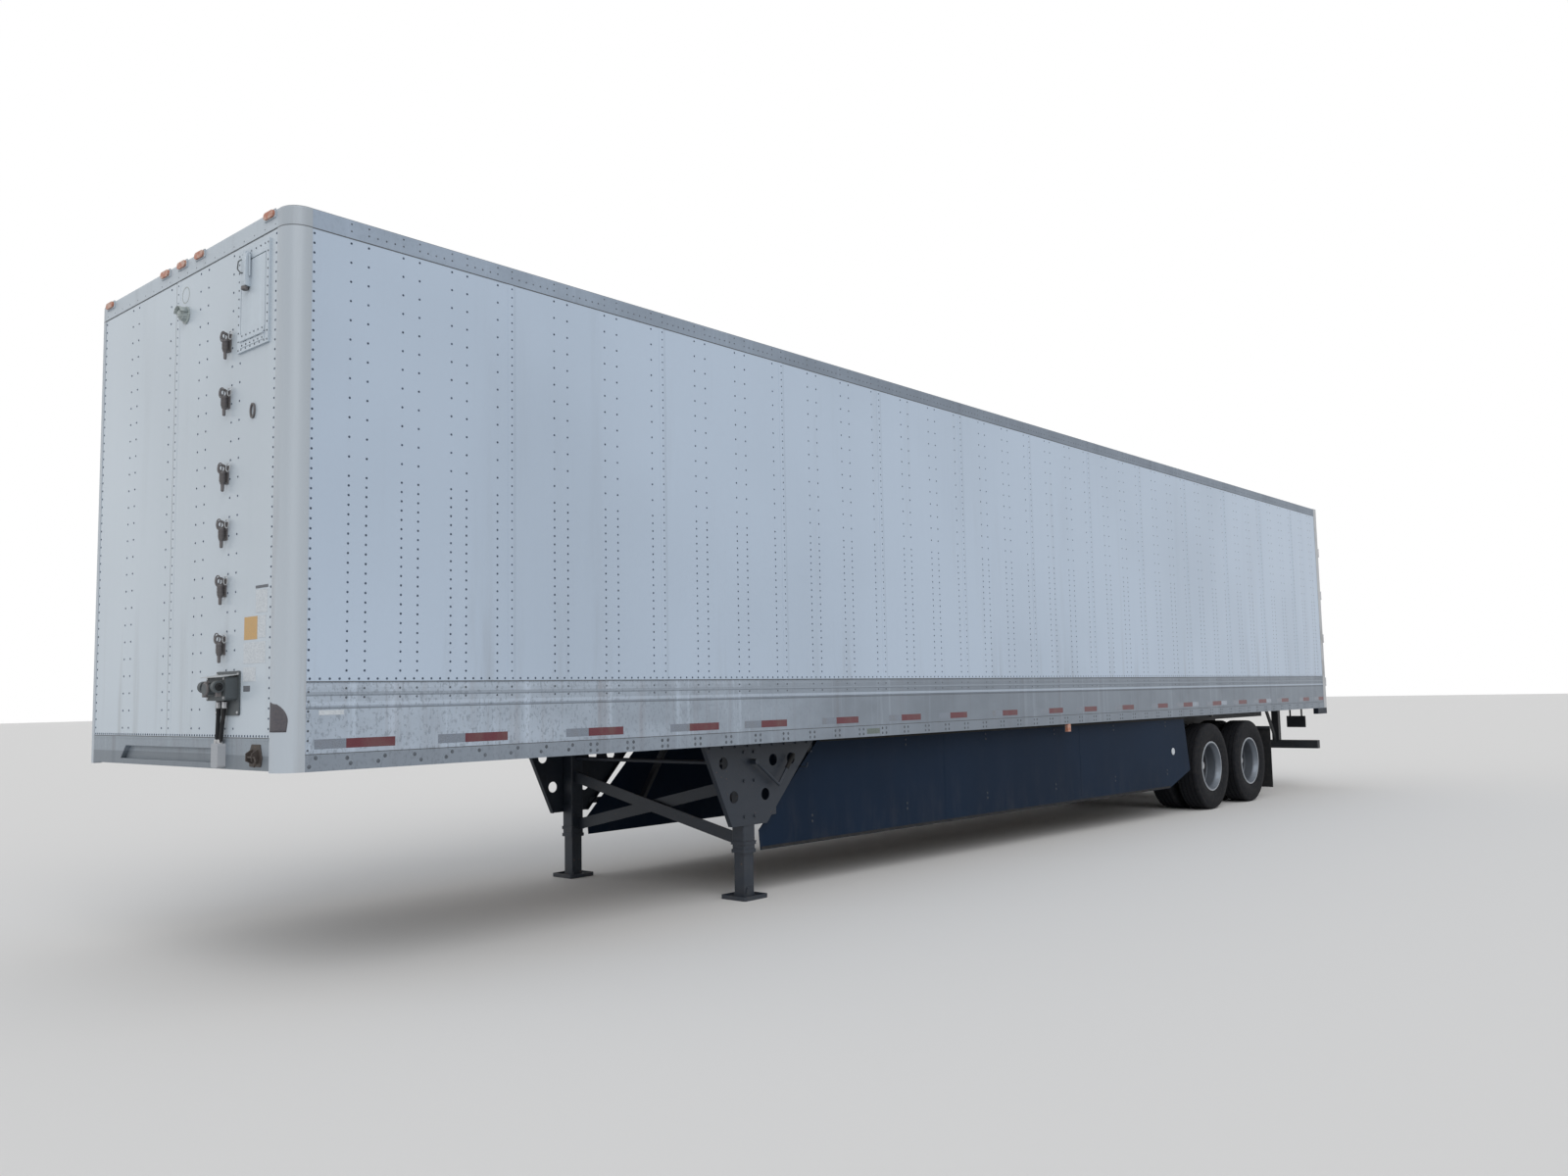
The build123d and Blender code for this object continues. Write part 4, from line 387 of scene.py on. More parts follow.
def nose_rail():
    """Rail over the nose wall: pale across the front, the posts' tone round its corners, with painted shadow
    of the roof's edge along its top.
    """
    finish = Finish("nose_top_rail", {"Metallic": 0.15})
    nose, post = finish.tints.nose, finish.tints.post
    _, y, z = finish.axes()
    runs = finish.fade(finish.noise(10.0, (1, 1, 0.05), 4.0, 0.6), 0.50, 0.76)
    corner = finish.fade(abs(y), PANEL_EDGE - 0.03, PANEL_EDGE + 0.05)
    tone = finish.mix(shade(nose, 0.84), shade(post, 0.80), corner)
    stained = finish.mix(tone, finish.tints.rust, runs * 0.12)
    # Painted shadow of the roof's edge, as a dark line along the very top
    dark_line = finish.fade(z, ROOF_TOP - 0.009, ROOF_TOP - 0.005) * 0.6
    relief = finish.noise(4.0, (1, 1, 0.3), 2.0)
    finish.surface(finish.mix(stained, shade(post, 0.25), dark_line), 0.44 + 0.14 * runs, relief, 0.002)


# Tone of the dark lines of painted shade in the gaps along the sheets' edges and under the top rail
GAP_SHADE_TONE = (0.085, 0.095, 0.105)


def corner_sheet():
    """Smooth rounded corner: darker upwards, with faint brown runs low down and a dark line at its top,
    painted shade under the top rail.
    """
    finish = Finish("corner_post", {"Metallic": 0.15})
    post = finish.tints.post
    z = finish.axes()[2]
    low = finish.fade(z, 3.4, 1.4)
    runs = finish.fade(finish.noise(11.0, (1, 1, 0.05), 4.0, 0.6), 0.46, 0.76)
    tone = finish.mix(shade(post, 0.88), post, low)
    stained = finish.mix(tone, finish.tints.rust, runs * (0.05 + 0.20 * low))
    # Painted shade: a dark line at the very top, under the top rail
    dark_line = finish.fade(z, WALL_TOP - 0.007, WALL_TOP - 0.006) * 0.85
    relief = finish.noise(2.5, (1, 1, 0.3), 2.0)
    finish.surface(finish.mix(stained, GAP_SHADE_TONE, dark_line), 0.42 + 0.15 * runs, relief, 0.003)


def lamp_housing():
    """Grey housing and lens, dulled by the weather."""
    finish = Finish("lamp_grey", {"Coat Weight": 0.2})
    mottle = finish.noise(60.0)
    ribs = (finish.axes()[2] * 500.0).maths("SINE")
    tone = finish.mix((0.36, 0.41, 0.41), (0.25, 0.29, 0.29), mottle)
    finish.surface(tone, 0.4 + 0.2 * mottle, ribs, 0.0008)


def wheel_metal():
    """Wheel: a thin bright lip, a dark barrel and a near-black, dusty disc, told apart by their radius; the
    dark barrel and disc are painted shade inside the deep dish.
    """
    finish = Finish("wheel_alloy", {"Specular IOR Level": 0.22})
    dust = finish.tints.dust
    x, _, z = finish.axes()
    middle = NOSE - (AXLES["front"] + AXLES["rear"]) / 2
    across = abs(abs(x - middle) - (AXLES["rear"] - AXLES["front"]) / 2)
    up = z - AXLE_HEIGHT
    radius = (across * across + up * up).maths("SQRT")
    lip = finish.fade(radius, 0.284, 0.290)
    disc = finish.fade(radius, 0.262, 0.240)
    marks = finish.noise(20.0, detail=5.0, roughness=0.65)
    film = finish.fade(marks, 0.40, 0.72)
    # The barrel's dark tone and the disc's near-black one are painted shade inside the deep dish; the film
    # over them is dust
    barrel = finish.mix((0.180, 0.205, 0.240), dust, film * 0.15)
    inner = finish.mix(barrel, finish.mix((0.018, 0.022, 0.029), dust, film * 0.12), disc)
    tone = finish.mix(inner, (0.42, 0.45, 0.49), lip)
    finish.surface(tone, 0.36 + 0.24 * disc + 0.2 * film, marks, 0.0005)
    finish.feed("Metallic", 0.55 * (1 - disc) - 0.25 * lip)


def dusty_paint(name, tone, roughness=0.5, dust_share=0.5):
    """Dark paint with dust where it faces up and low down, and a fine orange-peel."""
    finish = Finish(name, {})
    z = finish.axes()[2]
    patches = finish.noise(6.0, detail=6.0, roughness=0.65)
    settled = finish.fade(finish.upward(), 0.35, 0.9) * 0.75 + finish.fade(z, 0.55, 0.0) * 0.35
    dusty = finish.fade(patches, 0.40, 0.72) * (settled + 0.10) * dust_share
    chips = finish.fade(finish.noise(38.0, detail=2.0), 0.70, 0.74)
    chipped = finish.mix(finish.mix(tone, finish.tints.dust, dusty), finish.tints.rust, chips * 0.45)
    relief = finish.noise(90.0, detail=2.0) + 0.6 * patches
    finish.surface(chipped, roughness + 0.35 * dusty + 0.12 * patches, relief, 0.0008)


def bare_metal(name, tone, roughness, metallic, painted_below=None):
    """Uncoated metal with handling marks and a film of dust, painted dark below a height."""
    finish = Finish(name, {"Metallic": metallic})
    marks = finish.noise(22.0, detail=4.0, roughness=0.6)
    film = finish.fade(finish.noise(3.5, detail=5.0), 0.42, 0.75) * 0.4
    metal = finish.mix(tone, finish.tints.dust, film)
    if painted_below:
        painted = finish.fade(finish.axes()[2], painted_below + 0.001, painted_below)
        metal = finish.mix(metal, finish.tints.gear, painted)
    finish.surface(metal, roughness + 0.25 * marks + 0.3 * film, marks, 0.0004)


def skirt_composite():
    """Navy composite panel with a faint pebble, scuffed and dusty towards its foot."""
    finish = Finish("skirt_composite", {"Specular IOR Level": 0.12})
    navy = finish.tints.skirt
    z = finish.axes()[2]
    splash = finish.fade(finish.noise(7.0, (1, 1, 0.25), 6.0, 0.65), 0.42, 0.78)
    dusty = splash * (0.015 + 0.09 * finish.fade(z, 0.75, 0.33))
    clouds = finish.fade(finish.noise(0.9, detail=2.0), 0.35, 0.7) * 0.45
    tone = finish.mix(finish.mix(navy, shade(navy, 0.62), clouds), finish.tints.dust, dusty)
    relief = finish.cells(260.0) + 14.0 * finish.noise(1.2, (1, 1, 0.3), 1.0)
    finish.surface(tone, 0.60 + 0.3 * dusty, relief, 0.0006)


def tyre_rubber():
    """Worn tread and ribbed sidewall. U runs round the tyre and V from bead to bead, both in metres."""
    finish = Finish("worn_tread", {"Specular IOR Level": 0.16})
    rubber = finish.tints.tyre
    u, v, _ = finish.axes("UV")
    on_tread = finish.fade(abs(v), 0.128, 0.122)
    sipe = finish.fade(abs(u.maths("PINGPONG", 0.011)), 0.0022, 0.0008) * on_tread
    flutes = (v * 900.0).maths("SINE") * (1 - on_tread)
    mottle = finish.noise(24.0, detail=5.0, roughness=0.6)
    dusty = 0.03 + finish.fade(mottle, 0.35, 0.80) * (0.06 + 0.04 * (1 - on_tread))
    # The sipes are darker than the tread: painted shade in each cut.
    tone = finish.mix(finish.mix(rubber, finish.tints.dust, dusty), shade(rubber, 0.35), sipe * 0.8)
    relief = 0.15 * flutes - 1.6 * sipe + 0.4 * finish.noise(140.0, detail=2.0)
    finish.surface(tone, 0.72 + 0.2 * mottle, relief, 0.0012)


def black_rubber(name, metal_below=0.0):
    """Matt rubber with a film of dust, and zinc-plated metal below a height."""
    finish = Finish(name, {"Specular IOR Level": 0.3})
    mottle = finish.noise(14.0, detail=5.0)
    rubber = finish.mix((0.012, 0.013, 0.015), finish.tints.dust, finish.fade(mottle, 0.42, 0.8) * 0.12)
    plated = finish.fade(finish.axes()[2], metal_below + 0.001, metal_below)
    tone = finish.mix(rubber, (0.36, 0.38, 0.41), plated)
    finish.surface(tone, 0.65 + 0.2 * mottle, finish.noise(220.0, detail=1.0), 0.0003)


def hub_iron():
    """Iron drum with brake dust, and a silver cap outboard of the wheels."""
    finish = Finish("drum_and_cap", {})
    cap = finish.fade(abs(finish.axes()[1]), 1.005, 1.010)
    mottle = finish.noise(18.0, detail=5.0)
    iron = finish.mix((0.055, 0.052, 0.050), finish.tints.rust, finish.fade(mottle, 0.40, 0.75) * 0.6)
    tone = finish.mix(iron, (0.50, 0.51, 0.53), cap)
    finish.surface(tone, 0.75 - 0.4 * cap + 0.1 * mottle, mottle * (1.2 - cap), 0.001)
    finish.feed("Metallic", cap * 0.8)


BOARD = 0.03  # width of a strip in the floor


def floor_boards():
    """Laminated hardwood: narrow strips along the trailer, each its own tone, with grain."""
    finish = Finish("laminated_boards", {})
    y = finish.axes()[1]
    board = (y / BOARD).maths("FLOOR")
    tone = finish.node("ShaderNodeTexWhiteNoise", {"noise_dimensions": "1D"}, {"W": board})
    grain = finish.noise(30.0, (0.05, 1, 1), 4.0, 0.6)
    wood = finish.mix((0.30, 0.17, 0.075), (0.13, 0.070, 0.032), tone * 0.55 + grain * 0.35)
    joints = finish.fade(abs(y.maths("PINGPONG", BOARD / 2)), 0.0, 0.0012)
    finish.surface(wood, 0.5 + 0.25 * grain, joints + 0.2 * grain, 0.001)


def roof_sheet():
    """White roof with a faint ridge over each bow, and water marks."""
    finish = Finish("roof_skin", {})
    ridge = finish.fade(finish.axes()[0].maths("PINGPONG", BEAM_PITCH), 0.03, 0.0)
    marks = finish.noise(4.5, (0.6, 1, 1), 6.0, 0.65)
    tone = finish.mix(finish.tints.nose, finish.tints.dust, finish.fade(marks, 0.40, 0.80) * 0.22)
    finish.surface(tone, 0.4 + 0.3 * marks, ridge + 0.6 * finish.noise(1.2, detail=1.0), 0.006)


def lens(name, tone, bleached):
    """Lamp lens with fine prisms behind the gloss, bleached by the sun in patches."""
    gloss = {"Roughness": 0.4, "Specular IOR Level": 0.3, "Coat Weight": 0.1, "Coat Roughness": 0.1}
    finish = Finish(name, gloss)
    _, y, z = finish.axes()
    prisms, rows = (y * 900.0).maths("SINE"), (z * 900.0).maths("SINE")
    faded = finish.mix(tone, bleached, finish.fade(finish.noise(28.0, detail=2.0), 0.35, 0.65))
    glass = finish.mix(faded, shade(tone, 0.55), 0.25 + 0.25 * prisms * rows)
    finish.surface(glass, None, prisms + rows, 0.0003)


def reflective_tape(name, tone):
    """Tape with its honeycomb, dulled by dirt."""
    finish = Finish(name, {"Coat Weight": 0.25, "Coat Roughness": 0.2})
    honeycomb = finish.cells(210.0)
    dirt = finish.fade(finish.noise(8.0, (1, 1, 0.4), 5.0, 0.65), 0.42, 0.8) * 0.35
    cells = finish.mix(tone, shade(tone, 0.78), finish.fade(honeycomb, 0.35, 0.6))
    finish.surface(finish.mix(cells, finish.tints.dust, dirt), 0.38 + 0.3 * dirt, honeycomb, 0.0002)


def plain_label(name, tone, faded):
    """Blank label, plate or line of sealant, sun-bleached in patches."""
    finish = Finish(name, {"Specular IOR Level": 0.35})
    bleach = finish.noise(70.0, (1, 1, 1.6), 3.0, 0.55)
    mottled = finish.mix(tone, faded, finish.fade(bleach, 0.30, 0.75) * 0.6)
    finish.surface(mottled, 0.5 + 0.2 * bleach, bleach, 0.0003)


def rivet_heads(name, tone):
    """Small heads whose tone varies a little from one to the next; their dark tone is partly dirt and partly
    painted shade round each head.
    """
    finish = Finish(name, {"Metallic": 0.35})
    speckle = finish.noise(33.0, detail=2.0)
    finish.surface(finish.mix(tone, shade(tone, 0.55), finish.fade(speckle, 0.3, 0.7)), 0.4 + 0.25 * speckle)


# Shapes


class Shape:
    """A mesh in the making. Outlines are drawn in the two axes that the piece isn't pulled along."""

    def __init__(self):
        self.mesh = bmesh.new()
        self.uv = self.mesh.loops.layers.uv.new("UVMap")

    def bridge(self, first, second, around):
        """Faces between two like rows of corners, closed into a ring or open."""
        count = len(first)
        for index in range(count if around else count - 1):
            after = (index + 1) % count
            self.mesh.faces.new((first[index], first[after], second[after], second[index]))

    def block(self, start, end):
        """Closed block between two like outlines of points."""
        rings = [[self.mesh.verts.new(point) for point in outline] for outline in (start, end)]
        self.mesh.faces.new(rings[0])
        self.mesh.faces.new(rings[1][::-1])
        self.bridge(*rings, True)

    def slab(self, low, high):
        """Block between two corners."""
        low, high = Vector(map(min, low, high)), Vector(map(max, low, high))
        outline = [(low.y, low.z), (high.y, low.z), (high.y, high.z), (low.y, high.z)]
        self.prism(outline, "x", low.x, high.x)

    def prism(self, outline, axis, start, end):
        """Outline pulled along an axis from start to end."""
        order = {"x": (2, 0, 1), "y": (0, 2, 1), "z": (0, 1, 2)}[axis]
        ends = [[[(*spot, depth)[index] for index in order] for spot in outline] for depth in (start, end)]
        self.block(*ends)

    def turned(self, profile, centre, axis, sides=32, closed=False):
        """Profile of (distance along the axis, radius), turned round it. A closed profile is a ring."""
        centre, axis = Vector(centre), Vector(axis).normalized()
        across = axis.orthogonal().normalized()
        other = axis.cross(across)
        rings = []
        for index in range(sides):
            angle = tau * index / sides
            out = across * cos(angle) + other * sin(angle)
            spots = [centre + axis * along + out * radius for along, radius in profile]
            rings.append([self.mesh.verts.new(spot) for spot in spots])
        travel = [0.0]
        for (along, radius), (next_along, next_radius) in zip(profile, profile[1:]):
            travel.append(travel[-1] + ((next_along - along) ** 2 + (next_radius - radius) ** 2) ** 0.5)
        widest = max(radius for _, radius in profile)
        middle = travel[-1] / 2
        last = len(profile) if closed else len(profile) - 1
        for index in range(sides):
            near, far = rings[index], rings[(index + 1) % sides]
            for spot in range(last):
                after = (spot + 1) % len(profile)
                face = self.mesh.faces.new((near[spot], near[after], far[after], far[spot]))
                start, end = (place * tau / sides * widest for place in (index, index + 1))
                foot, head = travel[spot] - middle, travel[after] - middle
                for loop, corner in zip(face.loops, ((start, foot), (start, head), (end, head), (end, foot))):
                    loop[self.uv].uv = corner
        if not closed:
            for spot in (0, len(profile) - 1):
                if profile[spot][1] > 0:
                    self.mesh.faces.new([ring[spot] for ring in rings])

    def grid(self, rows):
        """Sheet of faces through rows of points."""
        made = [[self.mesh.verts.new(point) for point in row] for row in rows]
        for first, second in zip(made, made[1:]):
            self.bridge(first, second, False)

    def made(self, name, finish_name, body="trailer", slot=None, bevel=0.0, thickness=0.0, smooth=False):
        """Closes the mesh into a piece that rides on a body."""
        bmesh.ops.remove_doubles(self.mesh, verts=self.mesh.verts, dist=1e-6)
        bmesh.ops.recalc_face_normals(self.mesh, faces=self.mesh.faces)
        data = bpy.data.meshes.new(name)
        self.mesh.to_mesh(data)
        self.mesh.free()
        piece = bpy.data.objects.new(name, data)
        if thickness:
            solid = piece.modifiers.new("Thickness", "SOLIDIFY")
            solid.thickness = thickness
            solid.offset = -1
        if bevel:
            edge = piece.modifiers.new("Edges", "BEVEL")
            edge.width = bevel
            edge.segments = 2
            edge.limit_method = "ANGLE"
            edge.angle_limit = radians(35)
        return placed(piece, finish_name, body, slot, smooth)


def by_name(rows):
    """Dictionary from rows of (names, value)."""
    return {name: value for names, value in rows for name in names.split()}


USUAL_SLOTS = by_name((
    ("side_sheet nose_sheet lap_edge side_rivets", "white_sheet"),
    ("white_tape dull_tape white_label orange_label dark_label", "white_sheet"),
    ("rail_rivets rail_plate nose_sill vent_metal", "rail_aluminium"),
    ("nose_top_rail", "top_rail_aluminium"),
    ("chassis_paint gear_paint hanger_paint spring_steel lamp_grey", "black_steel"),
    ("zinc_plate frame_zinc blank_plate", "galvanised_steel"),
    ("greased_steel", "bare_steel"),
    ("cap_aluminium", "wheel_aluminium"),
    ("black_rubber joint_seal dark_patch", "rubber"),
    ("worn_tread", "tyre_rubber"),
    ("skirt_composite", "skirt_panel"),
    ("red_tape", "red_lens"),
))


def placed(piece, finish_name, body, slot, smooth=False):
    """Links a piece into the scene with its finish and body. Its slot, or its finish's usual one, is worked
    out but not kept.
    """
    bpy.context.scene.collection.objects.link(piece)
    piece.data.materials.clear()
    piece.data.materials.append(bpy.data.materials[finish_name])
    if smooth:
        piece.data.shade_smooth()
        piece.data.set_sharp_from_angle(angle=radians(38))
    slot = slot or USUAL_SLOTS[finish_name]
    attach(piece, body)
    return piece


# Geometry Nodes: one tree sets a small turned head at each point, the other runs a pipe along each path


class NodeTree:
    """A Geometry Nodes tree with named inputs, built node by node."""

    def __init__(self, name, lengths):
        self.tree = bpy.data.node_groups.new(name, "GeometryNodeTree")
        inputs = [("Geometry", "Geometry"), *((label, "Float") for label in lengths)]
        self.names = {}
        for label, kind in (*inputs, ("Sides", "Int"), ("Finish", "Material")):
            socket = f"NodeSocket{kind}"
            made = self.tree.interface.new_socket(label, in_out="INPUT", socket_type=socket)
            self.names[label] = made.identifier
        self.tree.interface.new_socket("Geometry", in_out="OUTPUT", socket_type="NodeSocketGeometry")
        self.entry = self.tree.nodes.new("NodeGroupInput").outputs
        self.exit = self.tree.nodes.new("NodeGroupOutput").inputs

    def node(self, kind, choices=None, sockets=None):
        return add_node(self.tree, kind, choices, sockets)

    def end(self, geometry):
        """Realizes what was set out, gives it its finish, and closes the tree."""
        real = self.node("GeometryNodeRealizeInstances", None, {"Geometry": geometry})
        sockets = {"Geometry": real[0], "Material": self.entry["Finish"]}
        painted = self.node("GeometryNodeSetMaterial", None, sockets)
        self.tree.links.new(painted[0], self.exit[0])

    def run(self, data, name, values, finish_name, body, slot, smooth=False):
        """Runs the tree on a mesh and keeps the result as a plain mesh piece."""
        holder = bpy.data.objects.new(name + "_layout", data)
        bpy.context.scene.collection.objects.link(holder)
        modifier = holder.modifiers.new("Layout", "NODES")
        modifier.node_group = self.tree
        for label, value in {**values, "Finish": bpy.data.materials[finish_name]}.items():
            modifier[self.names[label]] = value
        graph = bpy.context.evaluated_depsgraph_get()
        result = bpy.data.meshes.new_from_object(holder.evaluated_get(graph), depsgraph=graph)
        bpy.data.objects.remove(holder)
        if not result.polygons:
            raise RuntimeError(f"{name}: the node tree made no faces")
        return placed(bpy.data.objects.new(name, result), finish_name, body, slot, smooth)


def head_tree():
    """Tree that stands a tapered head on each point, along the point's own facing."""
    tree = NodeTree("Heads On Points", ("Radius", "Crown", "Height"))
    entry = tree.entry
    shape = {"Vertices": entry["Sides"], "Radius Top": entry["Crown"], "Radius Bottom": entry["Radius"]}
    head = tree.node("GeometryNodeMeshCone", None, {**shape, "Depth": entry["Height"]})
    facing = tree.node("GeometryNodeInputNamedAttribute", {"data_type": "FLOAT_VECTOR"}, {"Name": "facing"})
    turn = tree.node("FunctionNodeAlignRotationToVector", {"axis": "Z"}, {"Vector": facing["Attribute"]})
    sockets = {"Points": entry["Geometry"], "Instance": head["Mesh"], "Rotation": turn["Rotation"]}
    tree.end(tree.node("GeometryNodeInstanceOnPoints", None, sockets)["Instances"])
    return tree


def pipe_tree():
    """Tree that rounds the corners of each path and runs a pipe along it."""
    tree = NodeTree("Pipes On Paths", ("Radius", "Bend"))
    entry = tree.entry
    path = tree.node("GeometryNodeMeshToCurve", None, {"Mesh": entry["Geometry"]})["Curve"]
    corner = {"Curve": path, "Radius": entry["Bend"], "Count": 5, "Limit Radius": True}
    rounded = tree.node("GeometryNodeFilletCurve", {"mode": "POLY"}, corner)["Curve"]
    section = {"Resolution": entry["Sides"], "Radius": entry["Radius"]}
    ring = tree.node("GeometryNodeCurvePrimitiveCircle", None, section)["Curve"]
    sockets = {"Curve": rounded, "Profile Curve": ring, "Fill Caps": True}
    tree.end(tree.node("GeometryNodeCurveToMesh", None, sockets)["Mesh"])
    return tree


TREES = {}


def heads(name, points, radius, height, finish_name, body="trailer", slot=None, crown=0.55, sides=8):
    """Rivets, bolts or nuts: points is a list of (place, facing)."""
    data = bpy.data.meshes.new(name + "_points")
    data.from_pydata([place for place, _ in points], [], [])
    facing = data.attributes.new("facing", "FLOAT_VECTOR", "POINT")
    for item, (_, direction) in zip(facing.data, points):
        item.vector = direction
    values = {"Radius": radius, "Crown": radius * crown, "Height": height, "Sides": sides}
    TREES["heads"].run(data, name, values, finish_name, body, slot)


def hex_heads(name, points, radius, height, finish_name, body="trailer", slot=None, crown=0.94):
    """Hexagon heads and nuts, as heads."""
    heads(name, points, radius, height, finish_name, body, slot, crown, 6)


def pipes(name, paths, radius, finish_name, body="trailer", slot=None, bend=0.0, sides=8, loops=False):
    """Pipes, rods, rings or coils: paths is a list of lists of points."""
    points, edges = [], []
    for path in paths:
        start = len(points)
        points.extend(path)
        edges.extend((start + index, start + index + 1) for index in range(len(path) - 1))
        if loops:
            edges.append((len(points) - 1, start))
    data = bpy.data.meshes.new(name + "_paths")
    data.from_pydata(points, edges, [])
    values = {"Radius": radius, "Bend": bend, "Sides": sides}
    TREES["pipes"].run(data, name, values, finish_name, body, slot, smooth=True)


def all_facing(direction, places):
    """Points for heads that all face one way."""
    return [(place, direction) for place in places]


def both_sides(places):
    """Points for heads on the left side, facing out, and their mirror images on the right."""
    return [((x, hand * y, z), (0, hand, 0)) for hand, _ in HANDS for x, y, z in places]


def ring_points(centre, radius, angles):
    """Points of an upright ring or arc that faces forward."""
    x, y, z = centre
    return [(x, y + radius * cos(angle), z + radius * sin(angle)) for angle in angles]


def wheel_circle(x, side, radius, angles):
    """Places round an axle at this radius."""
    return [(x + radius * cos(angle), side, AXLE_HEIGHT + radius * sin(angle)) for angle in angles]


# Layout of the side walls

POST_BACKS = (0.403, 0.720, 1.037, 1.356)  # the posts by the nose stand closer
FIRST_EVEN_POST = 1.779
SHEET_POSTS = 3  # posts to a side sheet
PLAIN_HEIGHT = 2.70  # above this the posts' rivets are twice as far apart


def post_backs():
    """Distance back of every wall post."""
    pitch = bpy.context.scene.shell_sizes.post_pitch
    backs = list(POST_BACKS)
    while FIRST_EVEN_POST + (len(backs) - 4) * pitch < WALL_BACK - 0.15:
        backs.append(FIRST_EVEN_POST + (len(backs) - 4) * pitch)
    return backs


def rivet_columns():
    """Distance back of every column of rivets, two to a post."""
    offset = bpy.context.scene.shell_sizes.post_pair / 2
    return [post + shift for post in post_backs() for shift in (-offset, offset)]


def seam_backs():
    """Distance back of every seam between side sheets: the rear column of every third post."""
    offset = bpy.context.scene.shell_sizes.post_pair / 2
    return [back + offset for back in post_backs()[3::SHEET_POSTS]]


# Operators: one for each piece or group of like pieces

NODE_FINISHES = by_name((
    ("side_wall_left side_wall_right", "side_sheet"),
    ("nose_wall", "nose_sheet"),
    ("bottom_rails", "bottom_rail"),
    ("nose_posts", "corner_post"),
    ("top_rails", "top_rail"),
    ("nose_top_rail", "nose_top_rail"),
    ("nose_sill", "nose_sill"),
    ("vent_frame vent_door", "vent_metal"),
    ("roof", "roof_skin"),
    ("floor", "laminated_boards"),
    ("crossmembers coupler slider_rails bogie_frame axle_front axle_rear", "chassis_paint"),
    ("air_tanks rear_guard plate_holder skirt_struts", "chassis_paint"),
    ("leaf_springs", "spring_steel"),
    ("kingpin", "greased_steel"),
    ("landing_legs landing_rams leg_braces landing_crank wing_plates", "gear_paint"),
    ("line_hangers", "hanger_paint"),
    ("nose_box", "box_paint"),
    ("nose_hoses", "hose_and_conduit"),
    ("mud_flaps", "black_rubber"),
    ("skirts", "skirt_composite"),
    ("rear_frame", "frame_zinc"),
    ("rear_door_left rear_door_right", "door_skin"),
    ("door_gear_left door_gear_right", "zinc_plate"),
    ("amber_lamps", "amber_glass"),
    ("red_lamps", "red_glass"),
    ("tyres_front_left tyres_front_right tyres_rear_left tyres_rear_right", "worn_tread"),
    ("wheels_front_left wheels_front_right wheels_rear_left wheels_rear_right", "wheel_alloy"),
    ("hub_front_left hub_front_right hub_rear_left hub_rear_right", "drum_and_cap"),
))
LABEL_FINISHES = (  # finish, tone, tone where it has faded
    ("white_label", (0.56, 0.60, 0.64), (0.36, 0.40, 0.44)),
    ("orange_label", (0.52, 0.33, 0.14), (0.44, 0.32, 0.18)),
    ("dark_label", (0.11, 0.12, 0.14), (0.16, 0.17, 0.19)),
    ("rail_plate", (0.115, 0.145, 0.135), (0.19, 0.22, 0.20)),
    ("blank_plate", (0.50, 0.53, 0.57), (0.44, 0.47, 0.51)),
    # This row is no label: the dark lines of painted shade in the gaps at the sheets' edges
    ("joint_seal", GAP_SHADE_TONE, (0.14, 0.15, 0.16)),
    ("dark_patch", (0.072, 0.070, 0.082), (0.115, 0.105, 0.112)),
)
CONDUIT_TOP = 0.129  # height of the conduit above the lowest point of the hoses


